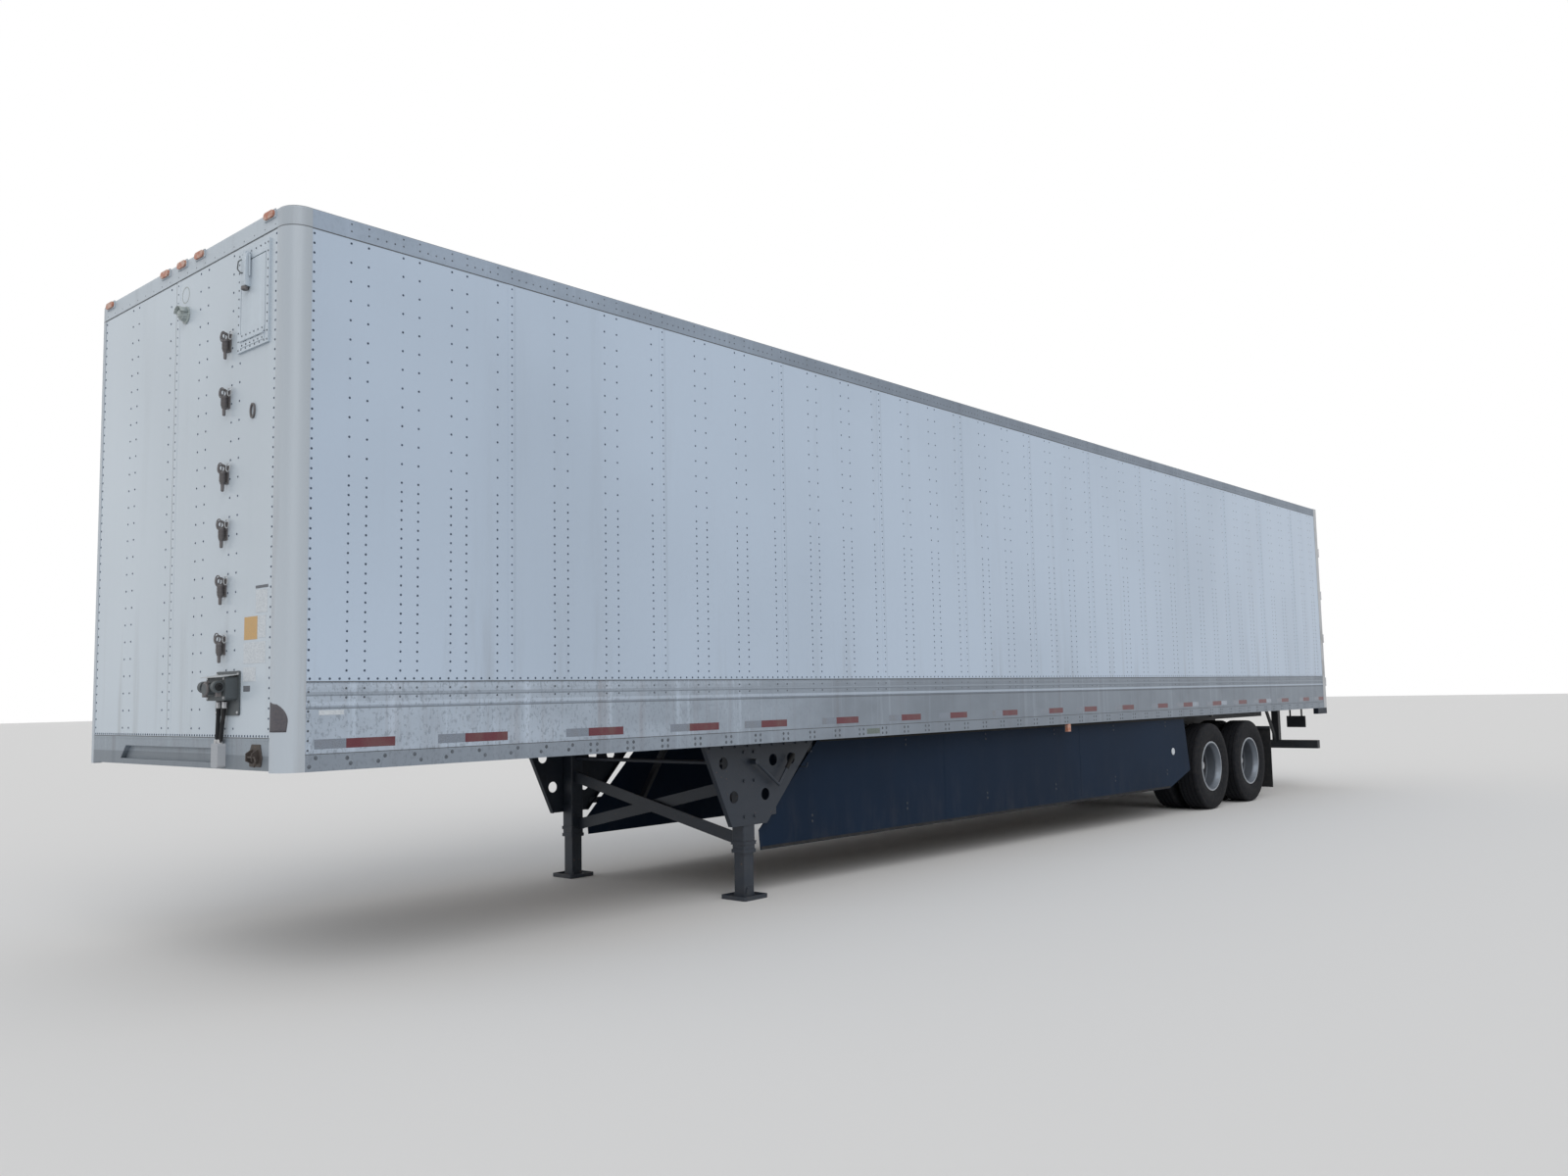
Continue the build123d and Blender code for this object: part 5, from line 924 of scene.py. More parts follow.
class TRAILER_OT_finishes(bpy.types.Operator):
    """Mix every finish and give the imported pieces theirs"""

    bl_idname = "trailer.finishes"
    bl_label = "Finishes"

    def execute(self, context):
        tints = context.scene.trailer_colours
        painted_sheet("side_sheet", tints.sheet, 1, SKIN)
        painted_sheet("nose_sheet", tints.nose, 0, PANEL_FACE)
        # The strip beside each side seam is the sheet's paint made darker: painted shade beside the lap.
        painted_sheet("lap_edge", shade(tints.sheet, 0.93), 1, SKIN)
        weathered_rail("bottom_rail", tints.rail, 0.30, 0.15, paler=1.38, duller=0.70)
        corner_sheet()
        weathered_rail("top_rail", tints.top_rail, 0.12, 0.15, 0.25, paler=1.15, duller=0.72)
        nose_rail()
        weathered_rail("nose_sill", tints.sill, 0.30, 0.2, 0.4)
        weathered_rail("vent_metal", tints.nose, 0.06, 0.15, 0.1)
        dusty_paint("chassis_paint", tints.chassis)
        dusty_paint("gear_paint", tints.gear, 0.45, 0.35)
        dusty_paint("hanger_paint", (0.115, 0.108, 0.112))
        dusty_paint("box_paint", (0.062, 0.074, 0.082), 0.5, 0.4)
        dusty_paint("spring_steel", (0.045, 0.036, 0.032), 0.6, 0.9)
        bare_metal("zinc_plate", (0.52, 0.53, 0.55), 0.35, 0.7)
        bare_metal("frame_zinc", (0.46, 0.48, 0.50), 0.4, 0.5, RAIL_BOTTOM)
        bare_metal("cap_aluminium", (0.50, 0.51, 0.53), 0.3, 0.7)
        bare_metal("greased_steel", (0.30, 0.29, 0.28), 0.35, 0.8)
        painted_sheet("door_skin", tints.nose, 0, -TAIL)
        skirt_composite()
        tyre_rubber()
        black_rubber("black_rubber")
        black_rubber("hose_and_conduit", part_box("nose_hoses")[0].z + CONDUIT_TOP)
        wheel_metal()
        lamp_housing()
        hub_iron()
        floor_boards()
        roof_sheet()
        lens("amber_glass", (0.47, 0.17, 0.10), (0.56, 0.40, 0.33))
        lens("red_glass", (0.30, 0.012, 0.012), (0.36, 0.045, 0.035))
        reflective_tape("red_tape", tints.tape_red)
        reflective_tape("white_tape", tints.tape_white)
        reflective_tape("dull_tape", tints.tape_dull)
        for label in LABEL_FINISHES:
            plain_label(*label)
        rivet_heads("side_rivets", tints.rivet)
        # The rail rivets are the rail's tone made much darker: partly dirt and partly painted shade round
        # each head.
        rivet_heads("rail_rivets", shade(tints.rail, 0.42))
        for node, finish_name in NODE_FINISHES.items():
            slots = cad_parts[node].data.materials
            slots.clear()
            slots.append(bpy.data.materials[finish_name])
        missing = set(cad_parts) - set(NODE_FINISHES)
        if missing:
            raise RuntimeError(f"no finish for {sorted(missing)}")
        TREES["heads"] = head_tree()
        TREES["pipes"] = pipe_tree()
        return {"FINISHED"}


class TRAILER_OT_side_rivets(bpy.types.Operator):
    """Set the rivets of both side walls: pairs on each post, dense seams and the row over the rail"""

    bl_idname = "trailer.side_rivets"
    bl_label = "Side Rivets"

    def execute(self, context):
        sizes = context.scene.shell_sizes
        pitch = sizes.rivet_pitch
        low, high = RAIL_TOP + 0.06, WALL_TOP - 0.03
        dense = steps(low, high, pitch)
        sparse = steps(low, PLAIN_HEIGHT, pitch) + steps(PLAIN_HEIGHT + 2 * pitch, high, 2 * pitch)
        seams = {round(back, 4) for back in seam_backs()}
        spots = [(WALL_FRONT + 0.012, height) for height in dense]
        for back in rivet_columns():
            spots += [(back, height) for height in (dense if round(back, 4) in seams else sparse)]
        row = steps(WALL_FRONT + 0.02, WALL_BACK - 0.03, 1.05 * pitch)
        spots += [(back, RAIL_TOP + 0.017) for back in row]
        for hand, side in HANDS:
            face = hand * (SKIN + sizes.lap_height / 2)
            points = all_facing((0, hand, 0), [(at(back), face, height) for back, height in spots])
            heads(f"side_rivets_{side}", points, sizes.rivet_radius, sizes.rivet_height, "side_rivets")
        return {"FINISHED"}


# Heights of the rows of rivets in the bottom rails, in their flanges and in the top rails
RAIL_ROWS = (1.520, 1.568)
FLANGE_ROWS = (1.165, 1.203)
TOP_ROWS = (4.046, 4.086)
SMALL_RIVET = 0.0058
FLANGE_RIVETS = (  # distance back and height of the uneven ones ahead of the crossmembers
    (0.185, 1.211), (0.36, 1.203), (0.38, 1.175), (0.54, 1.178), (0.58, 1.205), (0.76, 1.204),
    (0.80, 1.172), (0.96, 1.178), (1.00, 1.206), (1.18, 1.205), (1.22, 1.176), (1.40, 1.180),
    (1.45, 1.207), (1.62, 1.177), (1.66, 1.204), (1.83, 1.178), (1.86, 1.205), (0.15, 1.168),
)


class TRAILER_OT_rail_rivets(bpy.types.Operator):
    """Set the rivets of the bottom rails, their flanges and the top rails"""

    bl_idname = "trailer.rail_rivets"
    bl_label = "Rail Rivets"

    def execute(self, context):
        sizes = context.scene.shell_sizes
        columns = rivet_columns()
        web = [(at(back), SKIN, height) for back in columns for height in RAIL_ROWS]
        web += [(at(WALL_FRONT + 0.014), SKIN, height) for height in steps(1.25, 1.55, 0.05)]
        heads("rail_rivets", both_sides(web), sizes.rivet_radius, 0.002, "rail_rivets")

        spots = []
        for beam in steps(FIRST_BEAM, LAST_BEAM, BEAM_PITCH):
            spots += [(beam + shift, height) for shift in (-0.026, 0.026) for height in FLANGE_ROWS]
        flange = [(at(back), RIVETED, height) for back, height in (*spots, *FLANGE_RIVETS)]
        heads("flange_rivets", both_sides(flange), 0.0115, 0.0015, "rail_rivets", sides=10)

        top = [(at(back), RIVETED, height) for back in columns for height in TOP_ROWS]
        for before, after in zip(columns[1::2], columns[2::2]):
            between = steps(before, after, sizes.rivet_pitch)[1:-1]
            top += [(at(back), RIVETED, TOP_ROWS[0]) for back in between]
        nose_row = [(NOSE - 0.0008, side, 4.030) for side in steps(-1.14, 1.14, 0.12)]
        points = both_sides(top) + all_facing(FORWARD, nose_row)
        heads("top_rail_rivets", points, SMALL_RIVET, 0.0014, "rail_rivets", slot="top_rail_aluminium")
        return {"FINISHED"}


# Columns of rivets across the nose wall, and those that hold a seam
NOSE_COLUMNS = (-1.150, -0.726, -0.635, -0.158, -0.062, 0.242, 0.344, 0.661, 0.755, 1.150)
NOSE_SEAMS = (-1.150, -0.062, 1.150)


class TRAILER_OT_nose_rivets(bpy.types.Operator):
    """Set the rivets of the nose wall: a pair on each post, dense seams and the line along its foot"""

    bl_idname = "trailer.nose_rivets"
    bl_label = "Nose Rivets"

    def execute(self, context):
        sizes = context.scene.shell_sizes
        low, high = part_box("vent_frame")
        places = []
        for side in NOSE_COLUMNS:
            pitch = sizes.rivet_pitch * (1 if side in NOSE_SEAMS else 2)
            behind_vent = low.y - 0.01 < side < high.y + 0.01
            for height in steps(APRON_TOP + 0.05, WALL_TOP - 0.03, pitch):
                if not (behind_vent and height > low.z - 0.01):
                    places.append((PANEL_FACE, side, height))
        row = steps(0.02 - PANEL_EDGE, PANEL_EDGE - 0.02, 0.032)
        places += [(PANEL_FACE, side, APRON_TOP + 0.012) for side in row]
        heads("nose_rivets", all_facing(FORWARD, places), sizes.rivet_radius, 0.0026, "side_rivets")

        face = low.x + 0.012
        foot, top = low.z + 0.015, high.z - 0.02
        rim = [
            (face, side, height)
            for height in steps(foot, top, 0.048)
            for side in (low.y + 0.012, high.y - 0.012)
        ]
        row = steps(low.y + 0.045, high.y - 0.045, 0.048)
        rim += [(face, side, height) for side in row for height in (foot, top)]
        middle = (low.y + high.y) / 2
        leaf, hinge = face + 0.003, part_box("vent_door")[0].z
        row = steps(middle - 0.115, middle + 0.115, 0.046)
        rim += [(leaf, side, hinge - 0.020) for side in row]
        heads("vent_rivets", all_facing(FORWARD, rim), SMALL_RIVET, 0.0028, "rail_rivets")
        points = all_facing(FORWARD, [(leaf, side, hinge + 0.032) for side in row])
        heads("vent_door_rivets", points, SMALL_RIVET, 0.0028, "rail_rivets", "vent")
        return {"FINISHED"}


NOSE_LAP = (-0.082, -0.034)  # sides of the strip over the nose wall's seam


class TRAILER_OT_sheet_laps(bpy.types.Operator):
    """Lay the strips where the side and nose sheets overlap, darker beside each side seam as painted shade,
    and dark lines of painted shade in the gaps along the sheets' edges
    """

    bl_idname = "trailer.sheet_laps"
    bl_label = "Sheet Laps"

    def execute(self, context):
        sizes = context.scene.shell_sizes
        half, proud = sizes.lap_width / 2, sizes.lap_height
        for hand, side in HANDS:
            laps, edges = Shape(), Shape()
            inner, outer, edge = (hand * (SKIN + out) for out in (-0.001, proud, proud / 3))
            for back in seam_backs():
                step = at(back + half / 3)
                laps.slab((at(back - half), inner, RAIL_TOP), (step, outer, WALL_TOP))
                # The strip after each seam takes the darker finish: painted shade beside the lap.
                edges.slab((step, inner, RAIL_TOP), (at(back + half), edge, WALL_TOP))
            laps.made(f"sheet_laps_{side}", "side_sheet", bevel=0.0003)
            edges.made(f"lap_edge_shades_{side}", "lap_edge")
        nose = Shape()
        nose.slab((PANEL_FACE - 0.001, NOSE_LAP[0], APRON_TOP), (PANEL_FACE + proud, NOSE_LAP[1], WALL_TOP))
        nose.made("nose_laps", "nose_sheet", bevel=0.0003)

        # Dark strips of painted shade in the gaps: along the rail's top, over the flange's step, under the
        # top rail, along the nose sill's top and beside the nose lap
        dark_bands = Shape()
        sunk, out = -0.0004, 0.0013
        foot, lap = (RAIL_TOP - 0.001, RAIL_TOP + 0.004), (LAP_TOP + 0.002, LAP_TOP + 0.006)
        top = (WALL_TOP - 0.006, WALL_TOP)
        for hand, _ in HANDS:
            inner, outer = hand * (SKIN + sunk), hand * (SKIN + out)
            for low, high in (foot, lap, top):
                dark_bands.slab((at(WALL_FRONT), inner, low), (at(WALL_BACK), outer, high))
        for low, high in ((APRON_TOP, APRON_TOP + 0.004), top):
            dark_bands.slab((PANEL_FACE + sunk, -PANEL_EDGE, low), (PANEL_FACE + out, PANEL_EDGE, high))
        high = (PANEL_FACE + 0.0006, NOSE_LAP[0], WALL_TOP)
        dark_bands.slab((PANEL_FACE + sunk, NOSE_LAP[0] - 0.004, APRON_TOP), high)
        dark_bands.made("gap_shade_lines", "joint_seal")
        return {"FINISHED"}


RED_TAPE = (  # where each red piece begins and ends, counted back
    (0.354, 0.641), (1.086, 1.378), (1.989, 2.275), (2.870, 3.155), (3.595, 3.876),
    (4.461, 4.739), (5.324, 5.601), (6.048, 6.317), (6.921, 7.187), (7.788, 8.066),
    (8.519, 8.791), (9.383, 9.659), (10.272, 10.534), (10.973, 11.231), (11.840, 12.111),
    (12.681, 12.954), (13.378, 13.655), (14.231, 14.499), (15.103, 15.351), (15.768, 15.975),
)
WHITE_BEHIND = (10.973, 11.840, 13.378)  # these red pieces have a clean white one behind them
WHITE_LENGTH, GUARD_LENGTH, DOOR_LENGTH = 0.178, 0.234, 0.236
RAIL_TAPE_FOOT, GUARD_TAPE_FOOT, DOOR_TAPE_FOOT = 1.2555, 0.575, DOOR_LOW.z + 0.045
FLAT_BEVEL = 0.0002


class TRAILER_OT_tape(bpy.types.Operator):
    """Lay the red and white tape on the bottom rails, the doors and the guard"""

    bl_idname = "trailer.tape"
    bl_label = "Reflective Tape"

    def execute(self, context):
        sizes = context.scene.shell_sizes
        thick, tall = sizes.tape_thickness, sizes.tape_height
        red, white, dull = Shape(), Shape(), Shape()
        for hand, _ in HANDS:
            for start, end in RED_TAPE:
                runs = [(red, start, end), (dull, start - WHITE_LENGTH, start)]
                if start in WHITE_BEHIND:
                    runs.append((white, end, end + WHITE_LENGTH))
                for shape, first, last in runs:
                    low = (at(last), hand * (SKIN - SUNK), RAIL_TAPE_FOOT)
                    shape.slab(low, (at(first), hand * (SKIN + thick), RAIL_TAPE_FOOT + tall))
        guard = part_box("rear_guard")
        back = guard[0].x
        for index, side in enumerate(steps(guard[0].y, guard[1].y - GUARD_LENGTH, GUARD_LENGTH)):
            high = (back - thick, side + GUARD_LENGTH, GUARD_TAPE_FOOT + tall)
            (red if index % 2 else white).slab((back + SUNK, side, GUARD_TAPE_FOOT), high)
        for shape, tone in ((red, "red"), (white, "white"), (dull, "dull")):
            shape.made(f"{tone}_tape_pieces", f"{tone}_tape", bevel=FLAT_BEVEL)
        for hand, side in HANDS:
            shapes = (Shape(), Shape())
            for index, start in enumerate(steps(0.02, 1.20, DOOR_LENGTH)[:-1]):
                high = (TAIL - thick, hand * (start + DOOR_LENGTH), DOOR_TAPE_FOOT + tall)
                shapes[index % 2].slab((TAIL + SUNK, hand * start, DOOR_TAPE_FOOT), high)
            shapes[0].made(f"door_red_tape_{side}", "red_tape", f"{side}_door", bevel=FLAT_BEVEL)
            shapes[1].made(f"door_white_tape_{side}", "white_tape", f"{side}_door", "door_sheet", FLAT_BEVEL)
        return {"FINISHED"}


NOSE_LABELS = (  # right edge, left edge, bottom, top, finish
    (0.985, 1.122, 2.098, 2.113, "dark_label"),
    (0.990, 1.118, 1.968, 2.090, "white_label"),
    (0.864, 1.010, 1.832, 1.953, "orange_label"),
    (1.012, 1.105, 1.838, 1.953, "white_label"),
    (0.862, 1.105, 1.706, 1.818, "white_label"),
    (0.862, 1.000, 1.612, 1.688, "white_label"),
    (0.866, 0.940, 1.560, 1.590, "dark_label"),
)
PLATE_WIDTH, PLATE_FOOT, PLATE_TOP = 0.250, 0.862, 0.985  # the blank number plate


class TRAILER_OT_labels(bpy.types.Operator):
    """Lay the blank labels and plates on the nose wall and the rails"""

    bl_idname = "trailer.labels"
    bl_label = "Blank Labels"

    def execute(self, context):
        thick = context.scene.shell_sizes.tape_thickness
        for finish_name in ("white_label", "orange_label", "dark_label"):
            shape = Shape()
            for right, left, low, high, label_finish in NOSE_LABELS:
                if label_finish == finish_name:
                    shape.slab((PANEL_FACE - SUNK, right, low), (PANEL_FACE + 0.0006 + thick, left, high))
            if finish_name == "white_label":
                shape.slab((at(0.34), SKIN - SUNK, 1.43), (at(0.20), SKIN + thick, 1.455))
            shape.made(finish_name + "s", finish_name, bevel=FLAT_BEVEL)
        rail = Shape()
        rail.slab((at(5.015), RIVETED - SUNK, 1.163), (at(4.845), RIVETED + 0.001, 1.205))
        rail.made("rail_plate", "rail_plate", bevel=FLAT_BEVEL)
        plate = Shape()
        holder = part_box("plate_holder")
        right = (holder[0].y + holder[1].y - PLATE_WIDTH) / 2
        plate.slab((holder[0].x, right, PLATE_FOOT), (holder[0].x - 0.002, right + PLATE_WIDTH, PLATE_TOP))
        plate.made("blank_plate", "blank_plate", bevel=0.001)
        return {"FINISHED"}


CORNER_RADIUS = 0.112
PATCH_LOW, PATCH_HIGH, PATCH_REACH = 1.348, 1.502, 0.115
PATCH_SHOULDER = 0.35  # share of its height over which the patch rounds off
PATCH_ROWS, PATCH_COLUMNS = 12, 10


def round_corner(along, height, out):
    """A place on the left nose corner: along is counted from the nose wall's edge, round to the side."""
    turn_start = HALF_WIDTH - CORNER_RADIUS
    angle = max(0.0, PANEL_EDGE + along - turn_start) / CORNER_RADIUS
    x = NOSE - CORNER_RADIUS + (CORNER_RADIUS + out) * cos(angle)
    y = min(PANEL_EDGE + along, turn_start) + (CORNER_RADIUS + out) * sin(angle)
    return (x, y, height)


def patch_width(share):
    """Width of the corner patch at this share of its height."""
    if share > PATCH_SHOULDER:
        return PATCH_REACH * (1 - (share - PATCH_SHOULDER) ** 2 / (1 - PATCH_SHOULDER) ** 2) ** 0.5
    return PATCH_REACH * (0.94 + 0.17 * share)


class TRAILER_OT_corner_patch(bpy.types.Operator):
    """Wrap the dark patch round the foot of the left corner post"""

    bl_idname = "trailer.corner_patch"
    bl_label = "Corner Patch"

    def execute(self, context):
        rows = []
        for row in range(PATCH_ROWS + 1):
            share = row / PATCH_ROWS
            width = patch_width(share)
            height = PATCH_LOW + (PATCH_HIGH - PATCH_LOW) * share
            alongs = [0.006 + width * column / PATCH_COLUMNS for column in range(PATCH_COLUMNS + 1)]
            rows.append([round_corner(along, height, 0.0012) for along in alongs])
        patch = Shape()
        patch.grid(rows)
        patch.made("corner_patch", "dark_patch", thickness=0.001, smooth=True)
        return {"FINISHED"}


LAMP_SIDE, LAMP_HEIGHT, HOOD_RADIUS = 0.052, 3.775, 0.046
LAMP_BODY = ((0, 0.052), (0.006, 0.052), (0.010, 0.040), (0.032, 0.036), (0.034, 0.030))
LAMP_LENS = ((0.033, 0.029), (0.041, 0.026), (0.047, 0.018), (0.050, 0.008), (0.0505, 0.0))
LAMP_MARK = ((0, 0.044), (0, 0.050), (0.0008, 0.050), (0.0008, 0.044))


class TRAILER_OT_nose_lamp(bpy.types.Operator):
    """Build the hooded lamp high on the nose wall"""

    bl_idname = "trailer.nose_lamp"
    bl_label = "Nose Lamp"

    def execute(self, context):
        face = PANEL_FACE + 0.0005
        place = (face, LAMP_SIDE, LAMP_HEIGHT)
        body, hood, dome, mark = (Shape() for _ in range(4))
        body.turned(LAMP_BODY, place, FORWARD, 28)
        body.made("nose_lamp_body", "lamp_grey", smooth=True)
        arc = ring_points(place, HOOD_RADIUS, [pi * (0.06 + 0.88 * step / 12) for step in range(13)])
        hood.grid([[(x + along, y, z) for x, y, z in arc] for along in (0.006, 0.055)])
        hood.made("nose_lamp_hood", "lamp_grey", thickness=0.002, smooth=True)
        dome.turned(LAMP_LENS, place, FORWARD, 24)
        dome.made("nose_lamp_lens", "lamp_grey", slot="amber_lens", smooth=True)
        mark.turned(LAMP_MARK, (PANEL_FACE, LAMP_SIDE - 0.012, LAMP_HEIGHT + 0.125), FORWARD, 28, closed=True)
        mark.made("nose_lamp_mark", "lamp_grey", slot="white_sheet")
        return {"FINISHED"}


HANGER_SIDE = 0.625
HANGER_HEIGHTS = (3.488, 3.170, 2.749, 2.438, 2.127, 1.812)
HANGER_PLUG = ((0, 0.0145), (0.018, 0.013), (0.022, 0.0095), (0.056, 0.0085), (0.060, 0.005))
COIL_RADIUS, COIL_LENGTH, COIL_TURNS, TURN_STEPS = 0.0160, 0.052, 7, 12
RING_SIDES = 16


class TRAILER_OT_line_hangers(bpy.types.Operator):
    """Wind the springs of the six line hangers and give them their rings and plugs, and a pale ring beside
    each, a painted reflection of its ring in the wall
    """

    bl_idname = "trailer.line_hangers"
    bl_label = "Line Hangers"

    def execute(self, context):
        side = HANGER_SIDE
        centre = NOSE + 0.022
        last = COIL_TURNS * TURN_STEPS
        whole_turn = [tau * index / RING_SIDES for index in range(RING_SIDES)]
        coils, rings, ring_reflections, plugs = [], [], [], Shape()
        for height in HANGER_HEIGHTS:
            coil = []
            for step in range(last + 1):
                angle = tau * step / TURN_STEPS
                x, y = centre + COIL_RADIUS * cos(angle), side + COIL_RADIUS * sin(angle)
                coil.append((x, y, height - 0.040 + COIL_LENGTH * step / last))
            coils.append(coil)
            hook = ((-0.016, -0.030), (-0.026, -0.012), (-0.014, 0.012))
            coils.append([(centre, side + across, height + up) for across, up in hook])
            plugs.turned(HANGER_PLUG, (centre, side, height - 0.034), DOWN, 12)
            place = (centre + 0.004, side - 0.026, height + 0.040)
            rings.append(ring_points(place, 0.028, whole_turn))
            # A pale ring beside each hanger's ring: its painted reflection in the glossy nose wall
            place = (centre - 0.010, side + 0.040, height + 0.036)
            ring_reflections.append(ring_points(place, 0.023, whole_turn))
        plugs.made("hanger_plugs", "hanger_paint", smooth=True)
        pipes("hanger_coils", coils, 0.0026, "hanger_paint", sides=6)
        pipes("hanger_rings", rings, 0.0036, "hanger_paint", sides=6, loops=True)
        pipes("hanger_ring_reflections", ring_reflections, 0.0028, "frame_zinc", sides=6, loops=True)
        return {"FINISHED"}


# Turned parts of the connection box
HAND_SEAL = ((0, 0.021), (0.004, 0.021), (0.006, 0.017), (0.006, 0.008), (0.001, 0.007))
SOCKET_LID = ((0.050, 0.032), (0.052, 0.036), (0.060, 0.036), (0.0628, 0.030), (0.0628, 0))
UPPER_SLEEVE = ((0, 0.0145), (0.03, 0.0145), (0.034, 0.012))
LOWER_SLEEVE = ((0, 0.0155), (0.02, 0.0155), (0.024, 0.012))


class TRAILER_OT_connection_box(bpy.types.Operator):
    """Finish the connection box: its hood, seals, socket lid, hose ends and bolts"""

    bl_idname = "trailer.connection_box"
    bl_label = "Connection Box"

    def execute(self, context):
        low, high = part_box("nose_box")
        middle = (low.y + high.y) / 2
        back, face, lip = NOSE + 0.006, NOSE + 0.067, NOSE + 0.097
        centre = low.z + 0.145
        hood, dark_bands, lugs, lid, sleeves = (Shape() for _ in range(5))
        outline = ((back, -0.022), (lip, -0.034), (lip, -0.030), (back, -0.016))
        hood.prism([(x, high.z + up) for x, up in outline], "y", middle - 0.125, middle + 0.125)
        hood.made("box_hood", "frame_zinc", bevel=0.0015)
        for side in (middle - 0.078, middle + 0.078):
            for hand in (-1, 1):
                dark_bands.turned(HAND_SEAL, (face + 0.027, side + hand * 0.016, centre + 0.008), (0, hand, 0), 20)
            corner = (face + 0.034, side + 0.011, centre - 0.020)
            lugs.slab((face + 0.010, side - 0.011, centre - 0.046), corner)
        dark_bands.made("glad_hand_seals", "black_rubber", smooth=True)
        lugs.made("glad_hand_lugs", "hanger_paint", bevel=0.002)
        lid.turned(SOCKET_LID, (face, middle, centre - 0.005), FORWARD, 24)
        corner = (face + 0.058, middle + 0.016, centre + 0.038)
        lid.slab((face + 0.042, middle - 0.016, centre + 0.024), corner)
        lid.made("socket_lid", "hanger_paint", bevel=0.0008, smooth=True)
        flange = ((low.y + 0.014, high.y - 0.014), (low.z + 0.016, high.z - 0.016))
        cover = ((middle - 0.095, middle + 0.095), (centre - 0.050, centre + 0.052))
        places = []
        for x, (sides, heights) in ((NOSE + 0.005, flange), (face, cover)):
            places += [(x, side, height) for side in sides for height in heights]
        hex_heads("box_bolts", all_facing(FORWARD, places), 0.008, 0.005, "zinc_plate", crown=0.92)
        for top_side, foot_side in ((-0.060, -0.075), (0.010, -0.037)):
            sleeves.turned(UPPER_SLEEVE, (NOSE + 0.022, middle + top_side, centre - 0.072), DOWN, 6)
            sleeves.turned(LOWER_SLEEVE, (NOSE + 0.022, middle + foot_side, APRON_TOP - 0.030), UP, 6)
        sleeves.made("hose_ends", "zinc_plate", bevel=0.0008)
        return {"FINISHED"}


# Outlines of the apron bracket, as (side, height), and of its two cheeks and hook, from the nose face
BRACKET = ((0.965, 1.170), (1.085, 1.170), (1.100, 1.215), (1.075, 1.285), (0.985, 1.285), (0.955, 1.230))
CHEEK = ((0.005, 1.185), (0.040, 1.200), (0.040, 1.240), (0.005, 1.262))
HOOK = ((0.984, 1.220), (1.072, 1.220), (1.086, 1.196), (1.070, 1.172))


class TRAILER_OT_apron_bracket(bpy.types.Operator):
    """Build the rusty hook bracket and the worn edge strip on the nose sill"""

    bl_idname = "trailer.apron_bracket"
    bl_label = "Apron Bracket"

    def execute(self, context):
        bracket, lip = Shape(), Shape()
        bracket.prism(BRACKET, "x", NOSE - 0.0005, NOSE + 0.006)
        for side in (0.990, 1.052):
            bracket.prism([(NOSE + out, height) for out, height in CHEEK], "y", side, side + 0.007)
        bracket.made("apron_bracket", "spring_steel", bevel=0.0015)
        hook = [(NOSE + 0.030, side, height) for side, height in HOOK]
        pipes("apron_hook", [hook], 0.006, "spring_steel", bend=0.010)
        high = (NOSE + 0.0012, PANEL_EDGE, APRON_TOP - 0.002)
        lip.slab((NOSE - 0.001, -PANEL_EDGE, APRON_TOP - 0.012), high)
        lip.made("apron_lip", "nose_sill", bevel=0.0004)
        return {"FINISHED"}


# The vent's latch: outlines as (distance out, height), and its handle as (out, to the left, height)
LATCH_SIDE = 0.860
LATCH_HOUSING = (
    (-0.002, 3.748), (0.020, 3.752), (0.024, 3.780), (0.024, 3.885),
    (0.019, 3.925), (0.010, 3.938), (-0.002, 3.940),
)
LATCH_CHEEK = ((-0.002, 3.800), (0.007, 3.804), (0.007, 3.922), (-0.002, 3.928))
LATCH_FOOT = ((0, 0.012), (0.004, 0.019), (0.020, 0.019), (0.024, 0.012))
LATCH_HANDLE = (
    (0.018, -0.020, 3.905), (0.034, -0.034, 3.892), (0.038, -0.034, 3.848),
    (0.030, -0.014, 3.824), (0.022, 0.0, 3.822),
)


class TRAILER_OT_vent_latch(bpy.types.Operator):
    """Give the vent's latch its housing, foot and bent handle"""

    bl_idname = "trailer.vent_latch"
    bl_label = "Vent Latch"

    def execute(self, context):
        side = LATCH_SIDE
        face = NOSE + 0.017
        housing, foot = Shape(), Shape()
        outline = [(face + out, height) for out, height in LATCH_HOUSING]
        housing.prism(outline, "y", side - 0.026, side + 0.026)
        for shift in (-0.036, 0.031):
            cheek = [(face + out, height) for out, height in LATCH_CHEEK]
            housing.prism(cheek, "y", side + shift, side + shift + 0.005)
        housing.made("vent_latch_housing", "vent_metal", "vent", bevel=0.003)
        foot.turned(LATCH_FOOT, (face + 0.012, side, 3.728), UP, 16)
        foot.made("vent_latch_foot", "hanger_paint", "vent", "rail_aluminium", smooth=True)
        handle = [(face + out, side + left, height) for out, left, height in LATCH_HANDLE]
        pipes("vent_latch_handle", [handle], 0.0035, "box_paint", "vent", "rail_aluminium", bend=0.010)
        return {"FINISHED"}


COLLARS = ((0.392, 0.418, 0.066), (0.60, 0.618, 0.0645))  # bottom, top, reach from the leg's middle
GEARBOX_FACE = 0.840
GEARBOX_BOLTS = (  # ahead of the leg, height
    (-0.050, 0.925), (0.050, 0.925), (0.050, 0.985), (-0.050, 0.985), (-0.050, 1.050), (0.030, 1.050),
)
CRANK_HOOK = ((0, 0.930), (0.060, 0.930), (0.072, 0.962))  # out from the plate, height
CRANK_GRIP = ((-0.135, 0.0125), (-0.130, 0.0165), (-0.012, 0.0165), (-0.004, 0.0135), (0.0, 0.0125))


